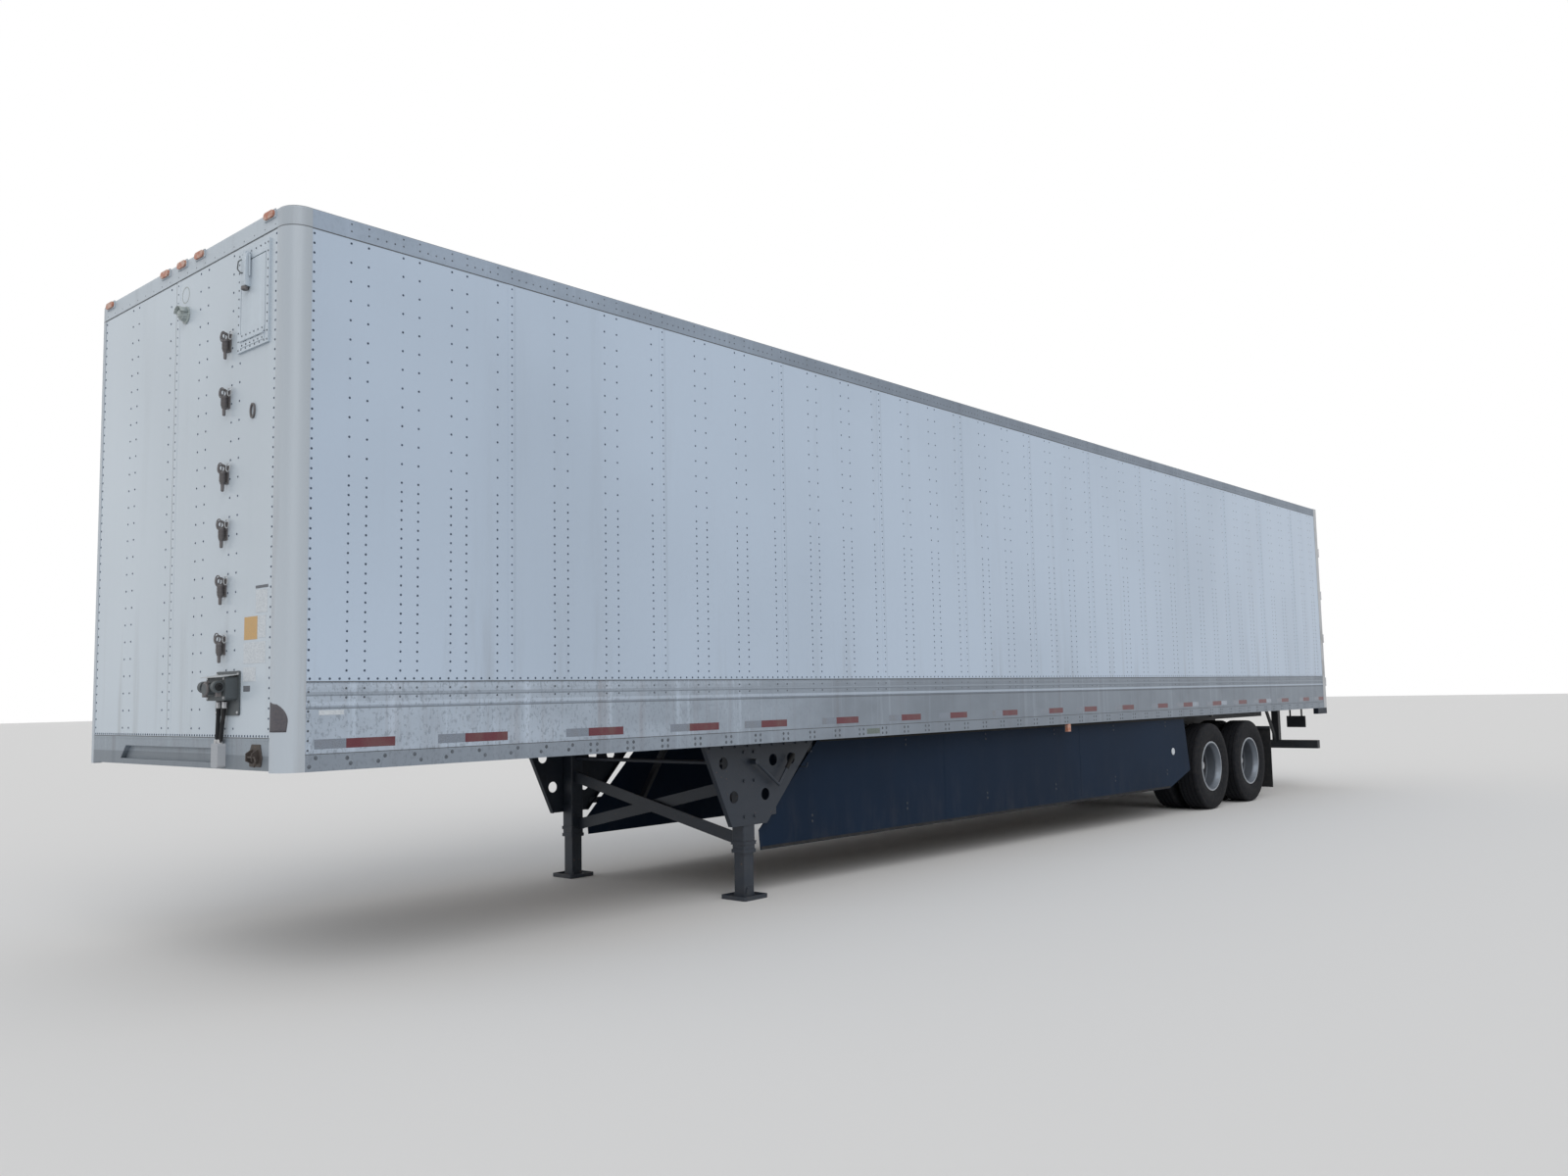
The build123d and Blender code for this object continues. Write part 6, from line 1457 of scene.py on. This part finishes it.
class TRAILER_OT_landing_gear(bpy.types.Operator):
    """Fit the landing gear's collars, bolts, crank hook and grip"""

    bl_idname = "trailer.landing_gear"
    bl_label = "Landing Gear"

    def execute(self, context):
        x = at(LEG_BACK)
        collars, grip = Shape(), Shape()
        for hand, _ in HANDS:
            y = hand * LEG_SIDE
            for low, high, reach in COLLARS:
                for near, far in ((-reach, -LEG_HALF), (LEG_HALF, reach)):
                    collars.slab((x - reach, y + near, low), (x + reach, y + far, high))
                    collars.slab((x + near, y - reach, low), (x + far, y + reach, high))
        collars.made("leg_collars", "gear_paint", bevel=0.0015)
        plate = LEG_SIDE + LEG_HALF + 0.006
        spots = [(LEG_BACK + shift, height) for height in (0.60, 0.86, 1.07) for shift in (-0.055, 0.055)]
        spots += [(back, 1.118) for back in steps(3.30, 4.38, 0.135)]
        points = both_sides([(at(back), plate, height) for back, height in spots])
        hex_heads("gear_bolts", points, 0.013, 0.010, "gear_paint", crown=0.95)
        cover = [(x + shift, GEARBOX_FACE, height) for shift, height in GEARBOX_BOLTS]
        hex_heads("gearbox_bolts", all_facing((0, -1, 0), cover), 0.009, 0.007, "zinc_plate", crown=0.95)
        hook = [(at(4.30), plate + out, height) for out, height in CRANK_HOOK]
        pipes("crank_hook", [hook], 0.006, "gear_paint", bend=0.012)
        start = Vector((at(3.985), plate + 0.050, 0.815))
        end = Vector((at(4.160), plate + 0.050, 1.035))
        grip.turned(CRANK_GRIP, end, end - start, 14)
        grip.made("crank_grip", "black_rubber", smooth=True)
        return {"FINISHED"}


SKIRT_FRONT, SKIRT_REAR = 3.884, 11.045
SKIRT_SIDES = (1.000, 1.250)
SKIRT_JOINTS = (6.26, 8.64)
STRUT_BEAMS = (8, 12, 16, 20, 24, 28)  # crossmembers that carry a strut, counted from the first
SKIRT_TRIMS = (  # corners as (distance back, height)
    ((3.889, 0.334), (10.615, 0.334), (10.645, 0.356), (3.887, 0.356)),
    ((4.575, 1.110), (11.045, 1.110), (11.045, 1.133), (4.565, 1.133)),
)
PLUG_PLACE = (10.741, 0.745)
PLUG = ((-0.001, 0.040), (0.003, 0.040), (0.005, 0.034), (0.005, 0.020), (0.002, 0.017), (0.002, 0))


def on_skirt(back, height, hand, out=0.0):
    """A place on a skirt's outer face, moved outwards by out."""
    share = (back - SKIRT_FRONT) / (SKIRT_REAR - SKIRT_FRONT)
    turn = atan2(SKIRT_SIDES[1] - SKIRT_SIDES[0], SKIRT_REAR - SKIRT_FRONT)
    side = SKIRT_SIDES[0] + share * (SKIRT_SIDES[1] - SKIRT_SIDES[0])
    return Vector((at(back) + out * sin(turn), hand * (side + out * cos(turn)), height))


def skirt_strip(shape, hand, corners, thickness):
    """Flat piece on a skirt, through its corners as (distance back, height)."""
    faces = [[on_skirt(back, height, hand, out) for back, height in corners] for out in (-0.001, thickness)]
    shape.block(*faces)


class TRAILER_OT_skirts(bpy.types.Operator):
    """Fit the skirts' joint strips, foot trim, bolts and round plug"""

    bl_idname = "trailer.skirts"
    bl_label = "Skirts"

    def execute(self, context):
        joints, trim, plug = Shape(), Shape(), Shape()
        bolts = []
        for hand, _ in HANDS:
            for back in SKIRT_JOINTS:
                front, rear = back - 0.015, back + 0.015
                corners = ((front, 0.333), (rear, 0.333), (rear, 1.132), (front, 1.132))
                skirt_strip(joints, hand, corners, 0.001)
            for corners in SKIRT_TRIMS:
                skirt_strip(trim, hand, corners, 0.003)
            outward = (on_skirt(8, 1, hand, 1) - on_skirt(8, 1, hand)).normalized()
            for number in STRUT_BEAMS:
                back = FIRST_BEAM + number * BEAM_PITCH
                bolts += [(on_skirt(back, height, hand), outward) for height in (0.495, 0.540, 1.040, 1.085)]
        joints.made("skirt_joints", "skirt_composite", bevel=0.0003)
        trim.made("skirt_trim", "black_rubber", bevel=0.0006)
        heads("skirt_bolts", bolts, 0.011, 0.004, "gear_paint", crown=0.7, sides=10)
        place = on_skirt(*PLUG_PLACE, 1)
        plug.turned(PLUG, place, on_skirt(*PLUG_PLACE, 1, 1) - place, 24)
        plug.made("skirt_plug", "white_label", slot="skirt_panel", smooth=True)
        return {"FINISHED"}


SIDEWALL = (  # distance from the tyre's middle, share of the way from the rim flange to the crown
    (0.1076, -0.055), (0.1076, 0.002), (0.1150, 0.038), (0.1160, 0.067), (0.1215, 0.105), (0.1225, 0.134),
    (0.1300, 0.239), (0.1312, 0.268), (0.1360, 0.364), (0.1395, 0.512), (0.1388, 0.608), (0.1362, 0.689),
    (0.1358, 0.713), (0.1300, 0.794), (0.1262, 0.852), (0.1268, 0.871), (0.1205, 0.935), (0.1160, 0.966),
)
RIM_FLANGE = 0.298
GROOVE_PLACES = (0.0760, 0.0260)  # from the tyre's middle, on both halves
DUAL_SPACING = 0.343  # between the middles of a pair of tyres


def tyre_profile(depth, groove):
    """Section of one tyre about its own middle: bead, bulging sidewall, ribs and grooves."""
    crown = TYRE_RADIUS
    half_section = [(along, RIM_FLANGE + share * (crown - RIM_FLANGE)) for along, share in SIDEWALL]
    half_section.append((0.1060, crown - 0.0022))
    edge = groove / 2
    for centre in GROOVE_PLACES:
        half_section += [(centre + edge, crown - 0.0006), (centre + 0.6 * edge, crown - depth)]
        half_section += [(centre - 0.6 * edge, crown - depth), (centre - edge, crown - 0.0004)]
    return half_section + [(-along, radius) for along, radius in reversed(half_section)]


class TRAILER_OT_tyres(bpy.types.Operator):
    """Turn the treaded tyres that stand for the plain ones"""

    bl_idname = "trailer.tyres"
    bl_label = "Tyres"

    def execute(self, context):
        sizes = context.scene.running_sizes
        profile = tyre_profile(sizes.tread_depth, sizes.groove_width)
        for place, back in AXLES.items():
            for hand, side in HANDS:
                pair = Shape()
                for shift in (-DUAL_SPACING / 2, DUAL_SPACING / 2):
                    centre = (at(back), hand * (HALF_TRACK + shift), AXLE_HEIGHT)
                    pair.turned(profile, centre, (0, 1, 0), sizes.tyre_steps, closed=True)
                name, body = f"treaded_tyres_{place}_{side}", f"{place}_{side}_duals"
                piece = pair.made(name, "worn_tread", body, smooth=True)
                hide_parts(f"tyres_{place}_{side}")
        return {"FINISHED"}


# Turned parts of the hub cap, and the path of a valve, as (distance out from the pair's middle, radius)
CAP_RING = ((0.118, 0.066), (0.118, 0.079), (0.127, 0.079), (0.127, 0.064))
OIL_WINDOW = ((0.168, 0.045), (0.176, 0.045), (0.178, 0.041), (0.178, 0.022), (0.1765, 0.020), (0.1765, 0))
VALVE = ((0.075, 0.235), (0.085, 0.223), (0.112, 0.217))
WHEEL_FACE = 0.0112  # face that the nuts sit on, out from the pair's middle
CAP_BOLTS, CAP_BOLT_CIRCLE = 6, 0.072


class TRAILER_OT_wheel_fittings(bpy.types.Operator):
    """Fit the wheel nuts, hub cap rings, oil windows and valves"""

    bl_idname = "trailer.wheel_fittings"
    bl_label = "Wheel Fittings"

    def execute(self, context):
        for place, back in AXLES.items():
            for hand, side in HANDS:
                self.fit(context.scene.running_sizes, f"{place}_{side}", at(back), hand)
        return {"FINISHED"}

    def fit(self, sizes, tag, x, hand):
        """Fits one pair of wheels."""
        body = f"{tag}_duals"
        out = (0, hand, 0)
        face = hand * (HALF_TRACK + WHEEL_FACE)
        angles = [tau * (number + 0.5) / sizes.nuts for number in range(sizes.nuts)]
        nuts = all_facing(out, wheel_circle(x, face, sizes.nut_circle, angles))
        hex_heads(f"nuts_{tag}", nuts, sizes.nut_radius, sizes.nut_height, "zinc_plate", body, "hub_iron")
        studs = all_facing(out, wheel_circle(x, face + hand * sizes.nut_height, sizes.nut_circle, angles))
        heads(f"studs_{tag}", studs, 0.011, 0.012, "zinc_plate", body, "hub_iron", 0.85, 10)
        centre = (x, hand * HALF_TRACK, AXLE_HEIGHT)
        cap = Shape()
        cap.turned(CAP_RING, centre, out, 40, closed=True)
        cap.turned(OIL_WINDOW, centre, out, 32)
        cap.made(f"hub_cap_{tag}", "cap_aluminium", body, smooth=True)
        angles = [tau * number / CAP_BOLTS for number in range(CAP_BOLTS)]
        circle = wheel_circle(x, hand * (HALF_TRACK + CAP_RING[-1][0]), CAP_BOLT_CIRCLE, angles)
        points = all_facing(out, circle)
        hex_heads(f"hub_cap_bolts_{tag}", points, 0.006, 0.005, "zinc_plate", body, "hub_iron", 0.95)
        valves = []
        for angle in (radians(80), radians(260)):
            stem = [(hand * (HALF_TRACK + along), radius) for along, radius in VALVE]
            valves.append([wheel_circle(x, side, radius, [angle])[0] for side, radius in stem])
        pipes(f"valves_{tag}", valves, 0.0045, "zinc_plate", body, "hub_iron", bend=0.008)


U_BOLT_RADIUS = 0.0735
SPRING_PLATE = (0.1515, 0.167)  # bottom and top of the plate over a spring, above the axle
HANGER_BACKS = (11.250, 12.4125, 13.575)
CHAMBER_SIDE = 0.250
CHAMBER_BANDS = (
    ((0.082, 0.079), (0.082, 0.087), (0.100, 0.087), (0.100, 0.079)),
    ((0.160, 0.079), (0.160, 0.084), (0.170, 0.084), (0.170, 0.079)),
)


class TRAILER_OT_suspension(bpy.types.Operator):
    """Clamp the springs with U bolts, and fit the brake chambers' bands, rods and cam tubes"""

    bl_idname = "trailer.suspension"
    bl_label = "Suspension"

    def execute(self, context):
        u_bolts, rods, nuts, eyes = [], [], [], []
        plates, bands = Shape(), Shape()
        foot, top = (AXLE_HEIGHT + height for height in SPRING_PLATE)
        arc = [pi + pi * step / 8 for step in range(9)]
        for back in AXLES.values():
            x = at(back)
            for hand, _ in HANDS:
                y = hand * SPRING_SIDE
                plates.slab((x - 0.088, y - 0.056, foot), (x + 0.088, y + 0.056, top))
                for side in (y - 0.047, y + 0.047):
                    front, rear = x - U_BOLT_RADIUS, x + U_BOLT_RADIUS
                    ends = [(place, side, AXLE_HEIGHT + 0.198) for place in (front, rear)]
                    u_bolts.append([ends[0], *wheel_circle(x, side, U_BOLT_RADIUS, arc), ends[1]])
                    nuts += [((place, side, top), UP) for place in (front, rear)]
                chamber = hand * CHAMBER_SIDE
                start = Vector((x - 0.095, chamber, AXLE_HEIGHT + 0.070))
                along = Vector((x - 0.330, chamber, AXLE_HEIGHT + 0.110)) - start
                for band in CHAMBER_BANDS:
                    bands.turned(band, start, along, 32, closed=True)
                rods.append([start, start - along.normalized() * 0.075])
                cam_tube = (chamber + hand * 0.02, hand * 0.700)
                rods.append([(x - 0.030, side, AXLE_HEIGHT + 0.085) for side in cam_tube])
        for back in HANGER_BACKS:
            for hand, _ in HANDS:
                for cheek in (-1, 1):
                    spot = (at(back), hand * SPRING_SIDE + cheek * 0.048, AXLE_HEIGHT + 0.228)
                    eyes.append((spot, (0, cheek, 0)))
        pipes("u_bolts", u_bolts, 0.009, "spring_steel")
        pipes("brake_rods", rods, 0.014, "chassis_paint", sides=10)
        hex_heads("u_bolt_nuts", nuts, 0.016, 0.016, "spring_steel")
        hex_heads("hanger_bolts", eyes, 0.019, 0.014, "spring_steel")
        plates.made("spring_plates", "spring_steel", bevel=0.002)
        bands.made("chamber_bands", "zinc_plate", smooth=True)
        return {"FINISHED"}


TANK_SIDE, TANK_RADIUS, TANK_SEAMS = 0.240, 0.110, (0.06, 0.72)
TANK_BOSS = ((-0.018, 0), (-0.018, 0.075), (0.0, 0.100))
BOGIE_PIN = ((0, 0.020), (0.030, 0.020), (0.034, 0.016))


class TRAILER_OT_underbody(bpy.types.Operator):
    """Fit the tanks' seams and end bosses and the bogie's locking pins"""

    bl_idname = "trailer.underbody"
    bl_label = "Underbody"

    def execute(self, context):
        seams, pins = Shape(), Shape()
        low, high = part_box("air_tanks")
        inner, outer = TANK_RADIUS - 0.001, TANK_RADIUS + 0.0022
        for side in (-TANK_SIDE, TANK_SIDE):
            end = (high.x, side, low.z + TANK_RADIUS)
            for start in TANK_SEAMS:
                stop = start + 0.010
                ring = [(start, inner), (start, outer), (stop, outer), (stop, inner)]
                seams.turned(ring, end, REARWARD, 40, closed=True)
            seams.turned(TANK_BOSS, end, REARWARD, 32)
        seams.made("tank_seams", "chassis_paint", smooth=True)
        for hand, _ in HANDS:
            for back in (11.10, 13.60):
                pins.turned(BOGIE_PIN, (at(back), hand * 0.535, 1.090), (0, hand, 0), 16)
        pins.made("bogie_pins", "greased_steel", smooth=True)
        return {"FINISHED"}


class TRAILER_OT_mud_flaps(bpy.types.Operator):
    """Rib the mud flaps and clamp them under their arms"""

    bl_idname = "trailer.mud_flaps"
    bl_label = "Mud Flaps"

    def execute(self, context):
        low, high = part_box("mud_flaps")
        face, proud, clamp = low.x + 0.0005, low.x - 0.004, low.x - 0.006
        ribs, clamps, bolts = Shape(), Shape(), []
        for hand, _ in HANDS:
            for side in steps(0.715, 1.258, 0.0302):
                profile = ((face, -0.006), (proud, -0.002), (proud, 0.002), (face, 0.006))
                ribs.prism([(x, hand * (side + y)) for x, y in profile], "z", 0.150, 0.840)
            clamps.slab((clamp, hand * 0.695, 0.862), (face, hand * 1.278, 0.900))
            bolts += [(clamp, hand * side, 0.881) for side in steps(0.74, 1.24, 0.125)]
        ribs.made("flap_ribs", "black_rubber")
        clamps.made("flap_clamps", "zinc_plate", bevel=0.001)
        hex_heads("flap_bolts", all_facing(REARWARD, bolts), 0.010, 0.007, "zinc_plate")
        return {"FINISHED"}


HINGE_HEIGHTS = (1.525, 2.169, 2.813, 3.457)
STRAP_BOLTS = (0.97, 1.06, 1.15)
GUIDE_HEIGHTS = steps(1.422, 3.853, 0.60775)
ROD_SIDE, SEAL_WIDTH = 0.230, 0.018


class TRAILER_OT_rear_doors(bpy.types.Operator):
    """Fit each rear door's seal, guide plates, bolts and rivets"""

    bl_idname = "trailer.rear_doors"
    bl_label = "Rear Doors"

    def execute(self, context):
        for hand, side in HANDS:
            body = f"{side}_door"
            low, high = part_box(f"rear_door_{side}")
            inner, outer = sorted((abs(low.y), abs(high.y)))
            dark_line, plates = Shape(), Shape()
            begin, end = inner + SEAL_WIDTH, outer - SEAL_WIDTH
            strips = (
                (inner, begin, low.z, high.z),
                (end, outer, low.z, high.z),
                (begin, end, low.z, low.z + SEAL_WIDTH),
                (begin, end, high.z - SEAL_WIDTH, high.z),
            )
            for first, last, bottom, top in strips:
                dark_line.slab((TAIL + 0.0005, hand * first, bottom), (TAIL - 0.003, hand * last, top))
            dark_line.made(f"door_seal_{side}", "black_rubber", body, bevel=0.001)
            straps = [
                (TAIL - 0.008, hand * reach, height + shift)
                for height in HINGE_HEIGHTS for reach in STRAP_BOLTS for shift in (-0.015, 0.015)
            ]
            points = all_facing(REARWARD, straps)
            heads(f"strap_bolts_{side}", points, 0.0085, 0.004, "zinc_plate", body, crown=0.6, sides=10)
            rod, guides = hand * ROD_SIDE, []
            for height in GUIDE_HEIGHTS:
                corner = (TAIL - 0.004, rod + 0.052, height + 0.034)
                plates.slab((TAIL + 0.0005, rod - 0.052, height - 0.034), corner)
                for reach in (-0.040, 0.040):
                    guides += [(TAIL - 0.004, rod + reach, height + shift) for shift in (-0.02, 0.02)]
            plates.made(f"guide_plates_{side}", "zinc_plate", body, bevel=0.001)
            points = all_facing(REARWARD, guides)
            heads(f"guide_bolts_{side}", points, 0.0075, 0.004, "zinc_plate", body, crown=0.7)
            rows = steps(low.z + 0.06, high.z - 0.06, 0.15)
            reaches = (inner + 0.045, outer - 0.045)
            edges = [(TAIL, hand * reach, height) for reach in reaches for height in rows]
            points = all_facing(REARWARD, edges)
            heads(f"door_rivets_{side}", points, 0.006, 0.003, "side_rivets", body, "door_sheet")
        return {"FINISHED"}


NOSE_LAMPS = (-1.085, -0.236, 0.0, 0.236, 1.085)
TAIL_LAMPS, FIRST_TAIL_LAMP, TAIL_LAMP_PITCH = 3, 0.1655, 0.130  # in from the corner
FLANK_LAMP = 8.187
LAMP_RIM = ((0, 0.0505), (0, 0.060), (0.006, 0.058), (0.009, 0.0505))


class TRAILER_OT_lamp_rims(bpy.types.Operator):
    """Set the lamps' rubber rims and brackets"""

    bl_idname = "trailer.lamp_rims"
    bl_label = "Lamp Rims"

    def execute(self, context):
        rims, bases, brackets = Shape(), Shape(), Shape()
        sill = (RAIL_BOTTOM + FLOOR_TOP) / 2
        for hand, _ in HANDS:
            for number in range(TAIL_LAMPS):
                side = hand * (HALF_WIDTH - FIRST_TAIL_LAMP - number * TAIL_LAMP_PITCH)
                rims.turned(LAMP_RIM, (TAIL, side, sill), REARWARD, 32, closed=True)
        rims.made("lamp_rims", "black_rubber", smooth=True)
        for side in NOSE_LAMPS:
            low = (NOSE - 0.0005, side - 0.062, ROOF_TOP - 0.049)
            bases.slab(low, (NOSE + 0.006, side + 0.062, ROOF_TOP - 0.001))
        bases.made("nose_lamp_bases", "nose_top_rail", bevel=0.002)
        for hand, _ in HANDS:
            low = (at(FLANK_LAMP) - 0.035, hand * 1.262, 1.060)
            brackets.slab(low, (at(FLANK_LAMP) + 0.035, hand * 1.2585, RAIL_BOTTOM))
        brackets.made("lamp_brackets", "hanger_paint", bevel=0.001)
        return {"FINISHED"}


SCUFF_HEIGHT = 0.305


class TRAILER_OT_load_space(bpy.types.Operator):
    """Line the load space: scuff bands along the floor and strips over the panel joints"""

    bl_idname = "trailer.load_space"
    bl_label = "Load Space"

    def execute(self, context):
        band, strips = Shape(), Shape()
        for hand, _ in HANDS:
            wall = hand * (LINING + 0.0005)
            low = (at(WALL_BACK) + 0.02, wall, FLOOR_TOP + 0.0005)
            band.slab(low, (at(WALL_FRONT) - 0.02, hand * (LINING - 0.0025), FLOOR_TOP + SCUFF_HEIGHT))
            for back in seam_backs():
                low = (at(back) - 0.02, wall, FLOOR_TOP + SCUFF_HEIGHT + 0.001)
                strips.slab(low, (at(back) + 0.02, hand * (LINING - 0.002), WALL_TOP - 0.06))
        band.made("scuff_bands", "frame_zinc", bevel=0.0008)
        strips.made("lining_strips", "side_sheet", bevel=0.0006)
        return {"FINISHED"}


CAMERA_PLACE = (11.0096, 7.2907, 1.4914)
CAMERA_TURN = (-138.872, 4.962, -1.1)  # yaw, pitch and roll in degrees


class TRAILER_OT_stage(bpy.types.Operator):
    """Set up the floor, the light and the camera"""

    bl_idname = "trailer.stage"
    bl_label = "Stage"

    def floor(self, half):
        data = bpy.data.meshes.new("stage_floor")
        corners = [(-half, -half, 0), (half, -half, 0), (half, half, 0), (-half, half, 0)]
        data.from_pydata(corners, [], [(0, 1, 2, 3)])
        piece = bpy.data.objects.new("stage_floor", data)
        bpy.context.scene.collection.objects.link(piece)
        plain = {"Base Color": (0.72, 0.72, 0.72, 1), "Roughness": 0.9, "Specular IOR Level": 0.1}
        data.materials.append(Finish("stage_floor", plain).material)

    def world(self, strength):
        """Even light of this strength, seen as white by the camera, in gloss and through glass."""
        world = bpy.data.worlds.new("studio")
        world.use_nodes = True
        tree = world.node_tree
        tree.nodes.clear()
        rays = add_node(tree, "ShaderNodeLightPath")
        add = {"operation": "ADD"}
        direct = add_node(tree, "ShaderNodeMath", add, {0: rays["Is Camera Ray"], 1: rays["Is Glossy Ray"]})
        clamped = {"operation": "ADD", "use_clamp": True}
        seen = add_node(tree, "ShaderNodeMath", clamped, {0: direct[0], 1: rays["Is Transmission Ray"]})
        white = (1, 1, 1, 1)
        light = add_node(tree, "ShaderNodeBackground", None, {"Color": white, "Strength": strength})
        backdrop = add_node(tree, "ShaderNodeBackground", None, {"Color": white, "Strength": 1.0})
        mixed = add_node(tree, "ShaderNodeMixShader", None, {0: seen[0], 1: light[0], 2: backdrop[0]})
        add_node(tree, "ShaderNodeOutputWorld", None, {"Surface": mixed[0]})
        bpy.context.scene.world = world

    def lamp(self, name, strength, direction, spread):
        data = bpy.data.lights.new(name, "SUN")
        data.energy = strength
        data.angle = radians(spread)
        lamp = bpy.data.objects.new(name, data)
        lamp.rotation_euler = Vector(direction).to_track_quat("-Z", "Y").to_euler()
        bpy.context.scene.collection.objects.link(lamp)

    def camera(self, lens_length):
        yaw, pitch, roll = (radians(turn) for turn in CAMERA_TURN)
        forward = Vector((cos(pitch) * cos(yaw), cos(pitch) * sin(yaw), sin(pitch)))
        right = forward.cross(Vector(UP)).normalized()
        up = right.cross(forward)
        across = cos(roll) * right + sin(roll) * up
        above = -sin(roll) * right + cos(roll) * up
        data = bpy.data.cameras.new("camera")
        data.sensor_width = 36.0
        data.lens = lens_length
        data.clip_end = 400.0
        camera = bpy.data.objects.new("camera", data)
        turn = Matrix((across, above, -forward)).transposed().to_4x4()
        camera.matrix_world = Matrix.Translation(CAMERA_PLACE) @ turn
        bpy.context.scene.collection.objects.link(camera)
        bpy.context.scene.camera = camera

    def execute(self, context):
        sizes = context.scene.stage_sizes
        self.floor(sizes.floor_size)
        self.world(sizes.sky)
        self.lamp("key", sizes.key, (-0.45, -0.62, -0.62), 50)
        self.lamp("fill", sizes.fill, (-0.75, 0.55, -0.35), 80)
        self.camera(sizes.lens)
        context.scene.view_settings.view_transform = "Standard"
        return {"FINISHED"}


STEPS = (
    TRAILER_OT_finishes,
    TRAILER_OT_side_rivets,
    TRAILER_OT_rail_rivets,
    TRAILER_OT_nose_rivets,
    TRAILER_OT_sheet_laps,
    TRAILER_OT_tape,
    TRAILER_OT_labels,
    TRAILER_OT_corner_patch,
    TRAILER_OT_nose_lamp,
    TRAILER_OT_line_hangers,
    TRAILER_OT_connection_box,
    TRAILER_OT_apron_bracket,
    TRAILER_OT_vent_latch,
    TRAILER_OT_landing_gear,
    TRAILER_OT_skirts,
    TRAILER_OT_tyres,
    TRAILER_OT_wheel_fittings,
    TRAILER_OT_suspension,
    TRAILER_OT_underbody,
    TRAILER_OT_mud_flaps,
    TRAILER_OT_rear_doors,
    TRAILER_OT_lamp_rims,
    TRAILER_OT_load_space,
    TRAILER_OT_stage,
)
GROUPS = {
    "trailer_colours": TrailerColours,
    "shell_sizes": ShellSizes,
    "running_sizes": RunningSizes,
    "stage_sizes": StageSizes,
}


class TRAILER_PT_dressing(bpy.types.Panel):
    """Lists the trailer's settings and the steps that dress it"""

    bl_idname = "TRAILER_PT_dressing"
    bl_label = "Trailer Dressing"
    bl_space_type = "VIEW_3D"
    bl_region_type = "UI"
    bl_category = "Trailer"

    def draw(self, context):
        for name in GROUPS:
            group = getattr(context.scene, name)
            box = self.layout.box()
            box.label(text=name.replace("_", " ").title())
            for key in group.__annotations__:
                box.prop(group, key)
        for step in STEPS:
            self.layout.operator(step.bl_idname)


CLASSES = (*GROUPS.values(), *STEPS, TRAILER_PT_dressing)


def register():
    for item in CLASSES:
        bpy.utils.register_class(item)
    for name, group in GROUPS.items():
        setattr(bpy.types.Scene, name, PointerProperty(type=group))


def unregister():
    for name in GROUPS:
        delattr(bpy.types.Scene, name)
    for item in reversed(CLASSES):
        bpy.utils.unregister_class(item)


def main():
    register()
    for step in STEPS:
        group, name = step.bl_idname.split(".")
        getattr(getattr(bpy.ops, group), name)()


if __name__ == "__main__":
    main()
